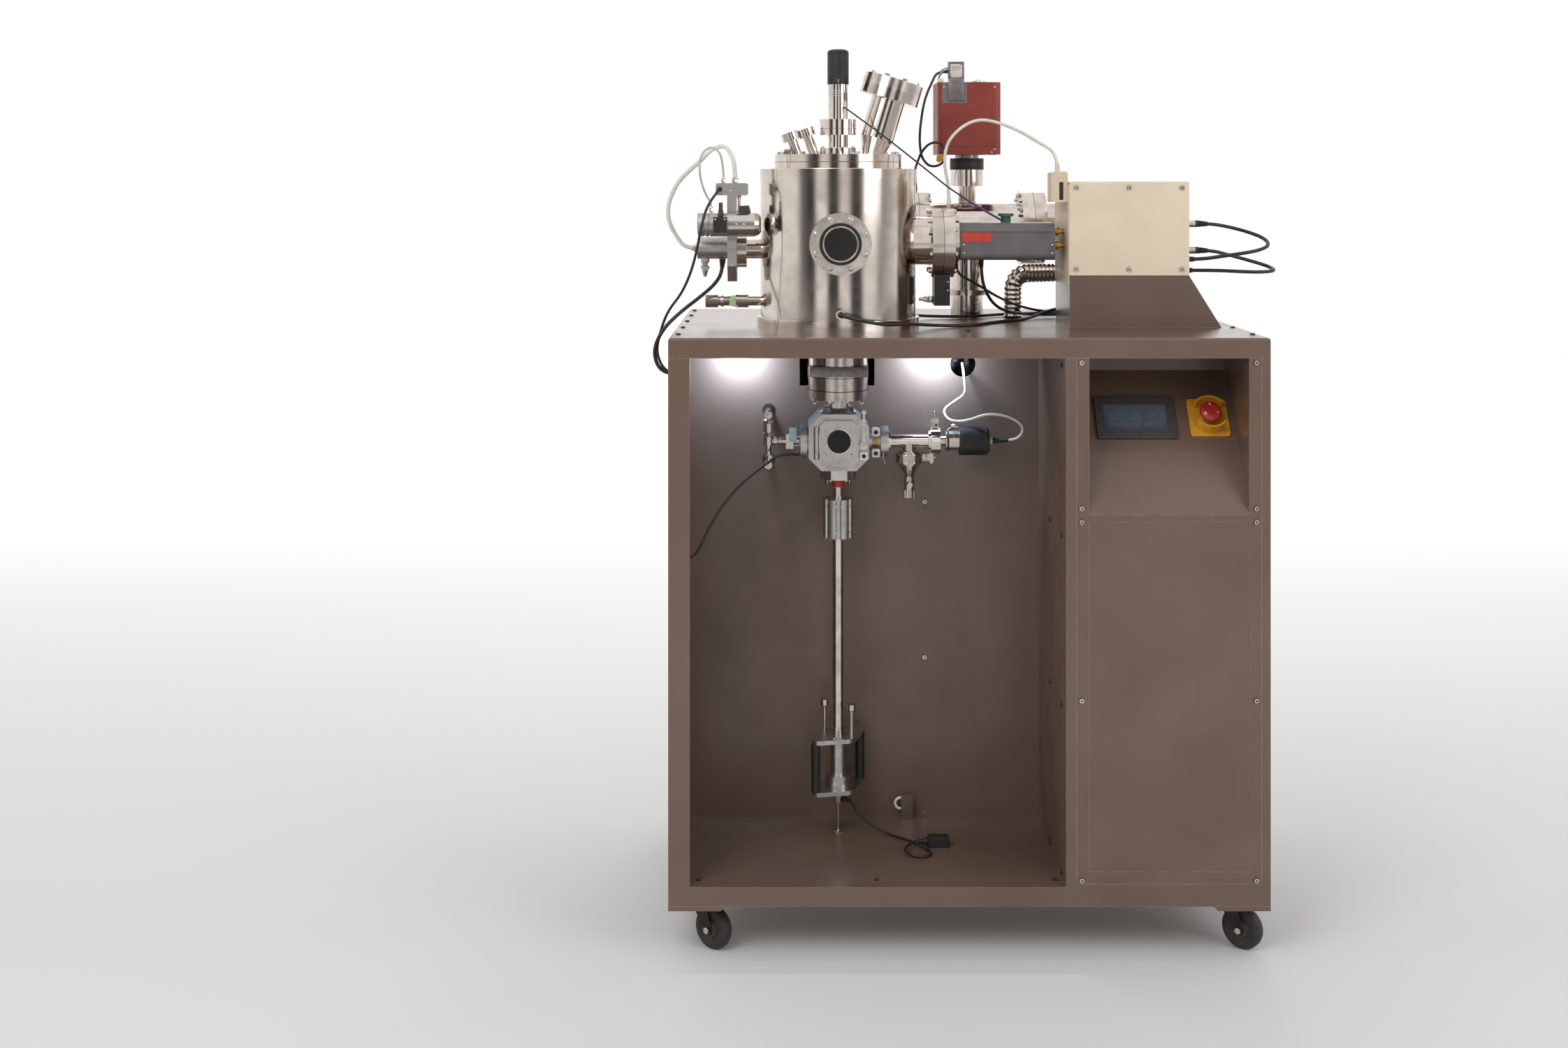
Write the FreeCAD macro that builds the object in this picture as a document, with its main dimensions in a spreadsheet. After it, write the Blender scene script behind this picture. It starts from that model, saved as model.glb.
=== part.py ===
import FreeCAD, Part
import math
import os
from types import SimpleNamespace

import Sketcher
from FreeCAD import Placement, Rotation, Vector

# Driving sizes in millimetres and degrees. X runs to the right, Y away from the front, Z up.
# A set_back is measured from the front of the cabinet, a height from the floor,
# a rise or drop from the top of the table.
SIZES = {
    # Cabinet
    "cabinet_width": 1066.0,
    "cabinet_depth": 680.0,
    "table_height": 1106.0,
    "table_rim": 36.0,
    "table_plate": 6.0,
    "table_edge_radius": 5.0,
    "sheet_thick": 3.0,
    "body_bottom": 100.0,
    "tray_rail": 34.5,
    "frame_thick": 25.0,
    "post_wide": 38.0,
    "post_face": 16.0,
    "mid_post_from_right": 362.0,
    "mid_post_wide": 41.0,
    "mid_post_face": 18.7,
    "rebate_bottom": 140.0,
    "right_opening_bottom": 162.0,
    "panel_thick": 2.0,
    "panel_seam": 0.6,
    "bay_depth": 340.0,
    # Openings in the back wall of the bay
    "cable_hole_x": 22.0,
    "cable_hole_drop": 83.0,
    "cable_hole_radius": 25.0,
    "valve_window_wide": 147.0,
    "valve_window_bottom_drop": 125.0,
    "valve_window_top_drop": 36.0,
    "gas_hole_low_drop": 268.0,
    "gas_hole_high_drop": 172.0,
    "gas_hole_radius": 10.0,
    # Rear panel slots
    "vent_slots": 8,
    "vent_slot_long": 160.0,
    "vent_slot_tall": 6.0,
    "vent_pitch": 16.0,
    "vent_height": 300.0,
    # Control fascia
    "fascia_foot_drop": 310.0,
    "fascia_depth": 181.0,
    "fascia_angle": 37.8,
    "control_along": 192.0,
    "touch_from_right": 179.0,
    "touch_wide": 147.0,
    "touch_tall": 88.0,
    "touch_thick": 6.0,
    "touch_body_margin": 6.0,
    "touch_body_deep": 30.0,
    "screen_wide": 114.0,
    "screen_tall": 51.0,
    "screen_thick": 1.4,
    "touch_corner": 4.0,
    "fit_gap": 0.4,
    "emo_from_right": 45.0,
    "guard_wide": 72.0,
    "guard_tall": 77.0,
    "guard_plate": 3.0,
    "guard_ring_radius": 33.0,
    "guard_ring_wall": 3.0,
    "guard_ring_tall": 24.0,
    "guard_gap": 40.0,
    "emo_bush_radius": 14.0,
    "emo_bush_tall": 8.0,
    "emo_barrel_radius": 11.0,
    "emo_barrel_long": 30.0,
    "emo_block_wide": 30.0,
    "emo_block_deep": 32.0,
    "emo_stem_radius": 6.0,
    "emo_travel": 5.0,
    "emo_head_radius": 20.0,
    "emo_head_tall": 15.0,
    "turning_gap": 0.3,
    # Casters
    "caster_plate": 8.0,
    "caster_plate_long": 100.0,
    "caster_inset": 56.0,
    "caster_set_in": 80.0,
    "caster_trail": 28.0,
    "caster_swing": -38.0,
    "swivel_radius": 24.0,
    "swivel_tall": 6.0,
    "king_pin_radius": 5.0,
    "wheel_radius": 37.5,
    "wheel_wide": 26.0,
    "wheel_round": 9.0,
    "hub_radius": 16.0,
    "axle_radius": 4.0,
    "fork_gap": 1.5,
    "fork_plate": 3.0,
    # Vacuum chamber
    "chamber_x": -225.0,
    "chamber_before_wall": 73.0,
    "chamber_radius": 150.0,
    "chamber_wall": 4.0,
    "chamber_tall": 300.0,
    "base_ring_radius": 155.0,
    "base_ring_tall": 18.0,
    "top_band": 16.0,
    "top_band_step": 1.0,
    "lid_flange_radius": 121.5,
    "lid_flange_thick": 13.0,
    "lid_bore_radius": 100.0,
    "lid_thick": 14.5,
    "neck_radius": 35.0,
    "neck_bore": 31.5,
    "flange_radius": 57.0,
    "flange_thick": 18.0,
    "lock_neck_drop": 56.0,
    "port_rise": 162.0,
    "viewport_out": 152.0,
    "viewport_bore": 32.0,
    "viewport_thick": 17.0,
    "viewport_glass_radius": 29.5,
    "viewport_glass_thick": 4.0,
    "viewport_ring_radius": 39.0,
    "viewport_ring_thick": 2.0,
    "side_neck_radius": 46.0,
    "side_neck_out": 177.0,
    "side_flange_radius": 70.0,
    "side_flange_thick": 21.5,
    "side_plate_radius": 39.5,
    "side_plate_thick": 11.0,
    "left_port_rise": 147.0,
    "left_neck_radius": 19.0,
    "left_neck_out": 175.0,
    "left_flange_radius": 36.0,
    "left_flange_thick": 18.5,
    "rear_neck_out": 165.0,
    "inlet_rise": 47.0,
    "inlet_radius": 9.5,
    "inlet_out": 254.0,
    "inlet_nut_radius": 13.0,
    "inlet_nut_long": 24.0,
    # Ports on the lid
    "inclined_lean": 16.7,
    "inclined_x": 65.0,
    "inclined_root_radius": 20.0,
    "inclined_tube_radius": 32.0,
    "inclined_cone_tall": 33.0,
    "inclined_tube_tall": 110.0,
    "inclined_flange_thick": 20.0,
    "small_lean": -20.0,
    "small_tube_radius": 9.5,
    "small_flange_radius": 17.0,
    "small_flange_thick": 8.0,
    "outer_port_x": -78.5,
    "outer_port_y": -6.0,
    "outer_port_tall": 29.0,
    "inner_port_x": -45.5,
    "inner_port_y": 8.0,
    "inner_port_tall": 37.0,
    "feed_flange_radius": 35.0,
    "feed_flange_thick": 12.5,
    "feed_tube_radius": 19.0,
    "feed_lower_tall": 25.0,
    "feed_pair_thick": 30.0,
    "feed_upper_tall": 67.0,
    "feed_groove": 1.5,
    "knob_radius": 20.5,
    "knob_tall": 67.0,
    "knob_round": 7.0,
    "knob_spigot_radius": 11.0,
    "knob_spigot_tall": 20.0,
    "knob_slots": 8,
    # Analyser and its generator box
    "analyser_long": 179.0,
    "analyser_wide": 100.0,
    "analyser_tall": 70.0,
    "analyser_chamfer": 16.0,
    "analyser_round": 12.0,
    "rf_x": 211.0,
    "rf_forward": 56.0,
    "rf_wide": 226.0,
    "rf_deep": 174.0,
    "rf_tall": 178.0,
    "rf_bottom_rise": 98.0,
    "rf_edge_radius": 2.5,
    "rf_skirt_drop": 16.0,
    "rf_skirt_thick": 2.0,
    "hood_wide": 31.0,
    "hood_deep": 52.0,
    "hood_tall": 58.0,
    "hood_slot_deep": 2.0,
    "junction_wide": 30.0,
    "junction_deep": 50.0,
    "junction_tall": 61.0,
    "stand_foot_wide": 287.0,
    # Pump manifold behind the chamber
    "manifold_rise": 181.0,
    "manifold_radius": 52.0,
    "manifold_bend": 70.0,
    "manifold_end_x": 300.0,
    "manifold_flange_radius": 76.0,
    "manifold_flange_a": -77.0,
    "manifold_flange_a_thick": 42.0,
    "manifold_flange_b": 153.0,
    "manifold_flange_b_thick": 49.0,
    "pump_x": 46.0,
    "pump_pipe_radius": 33.0,
    "pump_pipe_flange_radius": 50.0,
    "pump_pipe_flange_rise": 44.0,
    "pump_pipe_flange_thick": 10.0,
    "pump_top_drop": 46.0,
    "pump_flange_radius": 55.0,
    "pump_flange_thick": 20.0,
    "pump_radius": 62.0,
    "pump_tall": 180.0,
    "gauge_port_radius": 18.0,
    "gauge_flange_radius": 33.0,
    "gauge_flange_rise": 266.0,
    "gauge_flange_thick": 33.0,
    "collar_radius": 34.5,
    "collar_tall": 23.5,
    "gauge_neck_radius": 24.0,
    "gauge_box_rise": 330.0,
    "gauge_box_wide": 128.0,
    "gauge_box_tall": 146.0,
    "gauge_box_round": 12.0,
    "gauge_clip_wide": 32.0,
    "gauge_clip_rise": 438.0,
    "gauge_clip_tall": 46.0,
    "gauge_clip_thick": 3.0,
    "gauge_plug_deep": 16.0,
    "gauge_plug_tall": 33.0,
    "bellows_radius": 18.5,
    "bellows_start_x": 270.0,
    "bellows_drop_x": 133.0,
    "bellows_rise": 89.0,
    "bellows_forward": 60.0,
    "bellows_bend": 30.0,
    "bellows_cuff": 4.0,
    "bellows_rib_tall": 3.0,
    "bellows_pitch": 9.0,
    # Valve on the left of the chamber
    "valve_plate_wide": 70.0,
    "valve_plate_thick": 18.0,
    "valve_plate_bottom_rise": 85.0,
    "valve_plate_top_rise": 170.0,
    "valve_body_radius": 21.5,
    "valve_body_rise": 149.0,
    "valve_body_long": 58.0,
    "valve_drop_radius": 8.5,
    "valve_drop_out": 44.0,
    "valve_drop_rise": 93.0,
    "actuator_radius": 23.0,
    "actuator_rise": 195.0,
    "actuator_forward": 52.0,
    "actuator_left": -492.0,
    "actuator_right": -372.0,
    "actuator_post_x": -427.0,
    "actuator_post_wide": 18.0,
    "actuator_post_rise": 250.0,
    "actuator_bar_wide": 61.0,
    "actuator_bar_tall": 23.0,
    "actuator_bar_round": 4.0,
    "drum_groove": 1.5,
    "switch_wide": 26.0,
    "switch_tall": 30.0,
    "switch_deep": 22.0,
    # Load lock under the table
    "gate_thick": 24.0,
    "gate_radius": 58.0,
    "gate_back": 253.0,
    "gate_cylinder_radius": 28.0,
    "gate_cylinder_long": 90.0,
    "lock_neck_radius": 30.0,
    "lock_top_drop": 164.0,
    "lock_bottom_drop": 271.0,
    "lock_wide": 114.0,
    "lock_deep": 114.0,
    "lock_chamfer": 24.0,
    "cavity_wide": 56.0,
    "cavity_bottom_drop": 254.0,
    "cavity_top_drop": 184.0,
    "cavity_deep": 92.0,
    "lock_bore": 20.0,
    "lock_port_drop": 222.0,
    "lock_left_radius": 35.0,
    "lock_left_thick": 12.0,
    "lock_side_neck": 25.0,
    "lock_side_neck_long": 12.0,
    "lock_right_neck_radius": 17.0,
    "lock_right_radius": 29.0,
    "lock_right_thick": 15.0,
    "door_wide": 73.0,
    "door_tall": 85.0,
    "door_thick": 9.7,
    "door_corner": 10.0,
    "door_window_radius": 22.0,
    "door_rim": 4.0,
    "door_gap": 0.3,
    "knuckle_radius": 5.0,
    "knuckle_long": 36.0,
    "knuckle_gap": 6.0,
    "lug_long": 12.0,
    "hinge_pin_radius": 2.0,
    "lever_x": 47.0,
    "lever_hub_radius": 8.0,
    "lever_arm_long": 52.0,
    "lever_arm_wide": 7.0,
    "lever_thick": 7.0,
    "lever_grip_radius": 5.0,
    "lever_grip_long": 16.0,
    "lever_pin_radius": 3.0,
    # Gas line on the left of the load lock
    "gas_tube_radius": 6.0,
    "gas_column_x": -359.0,
    "gas_block_x": -318.0,
    "gas_block_wide": 14.0,
    "gas_block_tall": 28.0,
    "gas_block_deep": 24.0,
    # Gauge and vent on the right of the load lock
    "tee_radius": 12.5,
    "tee_flange_radius": 20.0,
    "tee_flange_thick": 4.0,
    "tee_long": 81.0,
    "tee_drop": 19.0,
    "clamp_radius": 26.0,
    "clamp_thick": 18.0,
    "wing_wide": 12.0,
    "wing_long": 20.0,
    "wing_thick": 4.0,
    "gauge_neck_long": 37.0,
    "gauge_tube_radius": 9.5,
    "gauge_tube_long": 11.0,
    "gauge_body_radius": 19.3,
    "gauge_cap_radius": 27.5,
    "gauge_cap_long": 57.0,
    "gauge_connector": 14.0,
    "vent_cone_tall": 27.0,
    "vent_tip_radius": 8.0,
    "vent_body_radius": 10.0,
    "vent_body_tall": 26.0,
    "vent_outlet_radius": 5.0,
    "vent_outlet_long": 26.0,
    "vent_knob_radius": 11.0,
    "vent_knob_tall": 14.0,
    "vent_spigot_radius": 4.0,
    "vent_spigot_long": 8.0,
    # Transfer line
    "line_flange_radius": 35.0,
    "line_flange_thick": 22.0,
    "line_collar_radius": 12.2,
    "line_collar_tall": 17.0,
    "line_tube_radius": 9.5,
    "line_bore": 8.0,
    "coupler_top_drop": 332.0,
    "coupler_bottom_drop": 406.0,
    "coupler_radius": 29.5,
    "coupler_lobes": 8,
    "coupler_lobe_radius": 7.0,
    "polished_radius": 10.7,
    "polished_bottom": 200.0,
    "end_wall": 4.0,
    "end_nut_radius": 8.0,
    "end_nut_tall": 8.0,
    "foot_rod_radius": 2.25,
    "foot_radius": 6.0,
    "foot_tall": 3.0,
    # Carriage on the transfer line
    "carriage_turn": 42.0,
    "plate_half_long": 76.0,
    "plate_half_wide": 44.0,
    "plate_thick": 8.0,
    "plate_corner": 14.0,
    "plate_side_round": 26.0,
    "lower_plate_bottom": 215.0,
    "upper_plate_bottom": 313.0,
    "hub_ring_radius": 24.0,
    "hub_ring_tall": 22.0,
    "sleeve_radius": 15.0,
    "slide_gap": 0.4,
    "grip_radius": 8.7,
    "grip_offset": 58.5,
    "post_offset_along": 7.0,
    "post_offset_across": 30.0,
    "post_radius": 3.5,
    "post_tall": 50.0,
    "roller_radius": 8.0,
    "roller_tall": 12.0,
        "magnet_radius": 7.4,
    "magnet_bottom": 225.0,
    "magnet_tall": 85.0,
    "rod_radius": 4.0,
    "rod_top_drop": 226.0,
    "cup_radius": 7.5,
    "cup_tall": 13.0,
    # Fasteners
    "hex_radius": 5.0,
    "hex_tall": 5.0,
    "small_hex_radius": 3.0,
    "small_hex_tall": 3.0,
    "lid_bolts": 20,
    "flange_bolts": 8,
    "small_bolts": 6,
    "screw_radius": 4.5,
    "screw_tall": 2.0,
    "panel_screw_drop": 332.0,
    "wall_screw_drop": 353.0,
    "wall_screw_pitch": 305.0,
    "wall_screw_x": 172.0,
    "screw_over_tray": 9.0,
    "side_screw_set_back": 45.0,
    "side_screw_before_wall": 152.0,
    # Lamps, plug and bracket in the bay
    "lamp_long": 64.0,
    "lamp_deep": 34.0,
    "lamp_drop": 26.0,
    "lamp_set_back": 62.0,
    "left_lamp_in": 102.0,
    "right_lamp_in": 257.0,
    "plug_long": 41.0,
    "plug_wide": 24.0,
    "plug_tall": 19.0,
    "plug_x": -60.0,
    "plug_set_back": 190.0,
    "bracket_wide": 23.0,
    "bracket_tall": 49.0,
    "bracket_x": -89.0,
    "bracket_before_wall": 18.0,
    "bracket_foot": 16.0,
    "bracket_thick": 2.0,
}

doc = FreeCAD.newDocument("ThermalDesorptionSpectrometer")
sheet = doc.addObject("Spreadsheet::Sheet", "Sizes")
for row, (name, number) in enumerate(SIZES.items(), start=1):
    sheet.set(f"A{row}", name)
    sheet.set(f"B{row}", str(number))
    sheet.setAlias(f"B{row}", name)
doc.recompute()


def words(value):
    """The expression of a size, or a plain number as text."""
    return value.text if isinstance(value, Size) else f"{float(value):.6f}"


class Size(float):
    """A number from the sheet, or worked out from it, that keeps the expression giving it."""

    def __new__(cls, number, text):
        made = super().__new__(cls, number)
        made.text = text
        return made

    def __add__(self, other):
        return Size(float(self) + float(other), f"({self.text} + {words(other)})")

    def __sub__(self, other):
        return Size(float(self) - float(other), f"({self.text} - {words(other)})")

    def __mul__(self, other):
        return Size(float(self) * float(other), f"({self.text} * {words(other)})")

    def __truediv__(self, other):
        return Size(float(self) / float(other), f"({self.text} / {words(other)})")

    def __radd__(self, other):
        return Size(float(other) + float(self), f"({words(other)} + {self.text})")

    def __rsub__(self, other):
        return Size(float(other) - float(self), f"({words(other)} - {self.text})")

    def __rmul__(self, other):
        return Size(float(other) * float(self), f"({words(other)} * {self.text})")

    def __neg__(self):
        return Size(-float(self), f"(-1 * {self.text})")


def sine(angle):
    return Size(math.sin(math.radians(angle)), f"sin({words(angle)})")


def cosine(angle):
    return Size(math.cos(math.radians(angle)), f"cos({words(angle)})")


size = SimpleNamespace(
    **{name: Size(sheet.get(name), f"Sizes.{name}") for name in SIZES}
)

NO_TURN = Rotation()
RIGHT = Rotation(Vector(0, 1, 0), 90)
LEFT = Rotation(Vector(0, 1, 0), -90)
AWAY = Rotation(Vector(1, 0, 0), -90)
TOWARD = Rotation(Vector(1, 0, 0), 90)
DOWN = Rotation(Vector(1, 0, 0), 180)
PAST = 5.0  # how far a cutting tool runs past the face that it opens


def bind(thing, path, value):
    """Ties a property to the sheet where its value comes from there."""
    if isinstance(value, Size):
        thing.setExpression(path, value.text)


def put(thing, at, turn=NO_TURN):
    thing.Placement = Placement(Vector(*at), turn)
    for axis, value in zip("xyz", at):
        bind(thing, f"Placement.Base.{axis}", value)
    return thing


def lean(thing, axis, angle):
    """Turns a thing about one axis by an angle of the sheet."""
    base = thing.Placement.Base
    thing.Placement = Placement(base, Rotation(axis, angle))
    bind(thing, "Placement.Rotation.Angle", angle)
    return thing


def set_sizes(thing, **values):
    for path, value in values.items():
        setattr(thing, path, float(value))
        bind(thing, path, value)
    return thing


def box(label, at, long, deep, tall):
    made = doc.addObject("Part::Box", label)
    return put(set_sizes(made, Length=long, Width=deep, Height=tall), at)


def cylinder(label, at, radius, tall, turn=NO_TURN):
    made = doc.addObject("Part::Cylinder", label)
    return put(set_sizes(made, Radius=radius, Height=tall), at, turn)


def fuse(label, things):
    made = doc.addObject("Part::MultiFuse", label)
    made.Shapes = things
    made.Refine = True
    return made


def cut(label, base, tools):
    made = doc.addObject("Part::Cut", label)
    made.Base = base
    made.Tool = tools[0] if len(tools) == 1 else fuse(label + "_tools", tools)
    made.Refine = True
    return made


def together(label, things):
    """A node that holds several separate solids."""
    made = doc.addObject("Part::Compound", label)
    made.Links = things
    return made


def shaped(label, solids):
    """A node made with Part's own functions, from sizes read off the sheet."""
    made = doc.addObject("Part::Feature", label)
    made.Shape = Part.makeCompound(solids) if len(solids) > 1 else solids[0]
    return made


def body(label, at=(0, 0, 0), turn=NO_TURN):
    return put(doc.addObject("PartDesign::Body", label), at, turn)


def blank_sketch(part, role, lift):
    sketch = part.newObject("Sketcher::SketchObject", part.Name + "_sketch")
    plane = next(f for f in part.Origin.OriginFeatures if f.Role == role)
    sketch.AttachmentSupport = (plane, [""])
    sketch.MapMode = "FlatFace"
    sketch.AttachmentOffset = Placement(Vector(0, 0, lift), NO_TURN)
    bind(sketch, "AttachmentOffset.Base.z", lift)
    return sketch


def place_point(sketch, geometry, end, x, y):
    """Holds one point of a sketch by its two distances from the origin."""
    for kind, value in (("DistanceX", x), ("DistanceY", y)):
        row = sketch.addConstraint(
            Sketcher.Constraint(kind, -1, 1, geometry, end, float(value))
        )
        bind(sketch, f"Constraints[{row}]", value)


def add_outline(sketch, points):
    first = sketch.GeometryCount
    count = len(points)
    corners = [Vector(float(x), float(y), 0) for x, y in points]
    for i in range(count):
        sketch.addGeometry(Part.LineSegment(corners[i], corners[(i + 1) % count]), False)
    for i in range(count):
        sketch.addConstraint(
            Sketcher.Constraint("Coincident", first + i, 2, first + (i + 1) % count, 1)
        )
    for i, (x, y) in enumerate(points):
        place_point(sketch, first + i, 1, x, y)


def outline(part, points, role="XY_Plane", lift=0.0):
    sketch = blank_sketch(part, role, lift)
    add_outline(sketch, points)
    return sketch


def rectangles(part, spans, role="XY_Plane", lift=0.0):
    """A sketch of rectangles, each given as left, low, right, high."""
    sketch = blank_sketch(part, role, lift)
    for left, low, right, high in spans:
        add_outline(sketch, [(left, low), (right, low), (right, high), (left, high)])
    return sketch


def circles(part, rings, role="XY_Plane", lift=0.0):
    """A sketch of circles, each given as x, y and radius."""
    sketch = blank_sketch(part, role, lift)
    for x, y, radius in rings:
        middle = Vector(float(x), float(y), 0)
        ring = sketch.addGeometry(Part.Circle(middle, Vector(0, 0, 1), float(radius)), False)
        row = sketch.addConstraint(Sketcher.Constraint("Radius", ring, float(radius)))
        bind(sketch, f"Constraints[{row}]", radius)
        place_point(sketch, ring, 3, x, y)
    return sketch


def pad(part, sketch, length, back=False):
    made = part.newObject("PartDesign::Pad", part.Name + "_pad")
    made.Profile = sketch
    made.Reversed = back
    return set_sizes(made, Length=length)


def pocket(part, sketch, length, back=False):
    made = part.newObject("PartDesign::Pocket", part.Name + "_pocket")
    made.Profile = sketch
    made.Reversed = back
    return set_sizes(made, Length=length)


def through(part, sketch):
    made = part.newObject("PartDesign::Pocket", part.Name + "_opening")
    made.Profile = sketch
    made.Type = "ThroughAll"
    made.Midplane = True
    return made


def around(part, feature, count):
    """Repeats a cut around the body's own upright axis."""
    ring = part.newObject("PartDesign::PolarPattern", part.Name + "_ring")
    ring.Originals = [feature]
    ring.Axis = (next(f for f in part.Origin.OriginFeatures if f.Role == "Z_Axis"), [""])
    ring.Angle = 360.0
    ring.Occurrences = int(count)
    bind(ring, "Occurrences", count)
    part.Tip = ring
    return ring


def edges_of(base, wanted):
    doc.recompute()
    return [f"Edge{i}" for i, e in enumerate(base.Shape.Edges, 1) if wanted(e)]


def rounded(part, base, radius, wanted):
    names = edges_of(base, wanted)
    made = part.newObject("PartDesign::Fillet", part.Name + "_rounding")
    made.Base = (base, names)
    return set_sizes(made, Radius=radius)


def chamfered(part, base, width, wanted):
    names = edges_of(base, wanted)
    made = part.newObject("PartDesign::Chamfer", part.Name + "_bevel")
    made.Base = (base, names)
    return set_sizes(made, Size=width)


def same(a, b):
    return abs(float(a) - float(b)) < 1e-3


def along(edge, x, y, z):
    """Whether a straight edge runs along the given direction."""
    if edge.Curve.TypeId != "Part::GeomLine":
        return False
    run = edge.Vertexes[-1].Point - edge.Vertexes[0].Point
    return run.cross(Vector(x, y, z)).Length < 1e-6 * run.Length


def turned(label, points, at=(0, 0, 0), turn=NO_TURN):
    """A turned piece: its half section, as radius and height, spun about its own axis."""
    part = body(label, at, turn)
    spin = part.newObject("PartDesign::Revolution", label + "_spin")
    spin.Profile = outline(part, points, "XZ_Plane")
    spin.ReferenceAxis = (spin.Profile[0], ["V_Axis"])
    spin.Angle = 360.0
    part.Tip = spin
    return part


def disc(label, radius, thick, at=(0, 0, 0), turn=NO_TURN):
    return turned(label, [(0, 0), (radius, 0), (radius, thick), (0, thick)], at, turn)


def stack(steps, bore=0.0):
    """The half section of coaxial steps, each a radius and the height at which it ends."""
    points = []
    bottom = steps[0][1]
    for radius, top in steps[1:]:
        points += [(radius, bottom), (radius, top)]
        bottom = top
    return [(bore, steps[0][1]), *points, (bore, bottom)]


# Places that several pieces share
half_width = size.cabinet_width / 2


def above_table(rise):
    return size.table_height + rise


def below_table(drop):
    return size.table_height - drop


front = -(size.cabinet_depth / 2)
back = size.cabinet_depth / 2
under_rim = size.table_height - size.table_rim
under_plate = size.table_height - size.table_plate
tray_top = size.body_bottom + size.tray_rail
frame_back = front + size.frame_thick
bay_back = front + size.bay_depth
mid_post_left = half_width - size.mid_post_from_right
fascia_left = mid_post_left + size.mid_post_wide
fascia_right = half_width - size.post_wide
touch_x = fascia_right - size.touch_from_right
emo_x = fascia_right - size.emo_from_right
chamber_y = bay_back - size.chamber_before_wall
chamber_top = size.table_height + size.chamber_tall
lid_bottom = chamber_top + size.lid_flange_thick
lid_top = lid_bottom + size.lid_thick
manifold_y = chamber_y + size.rear_neck_out + size.manifold_bend


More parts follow.
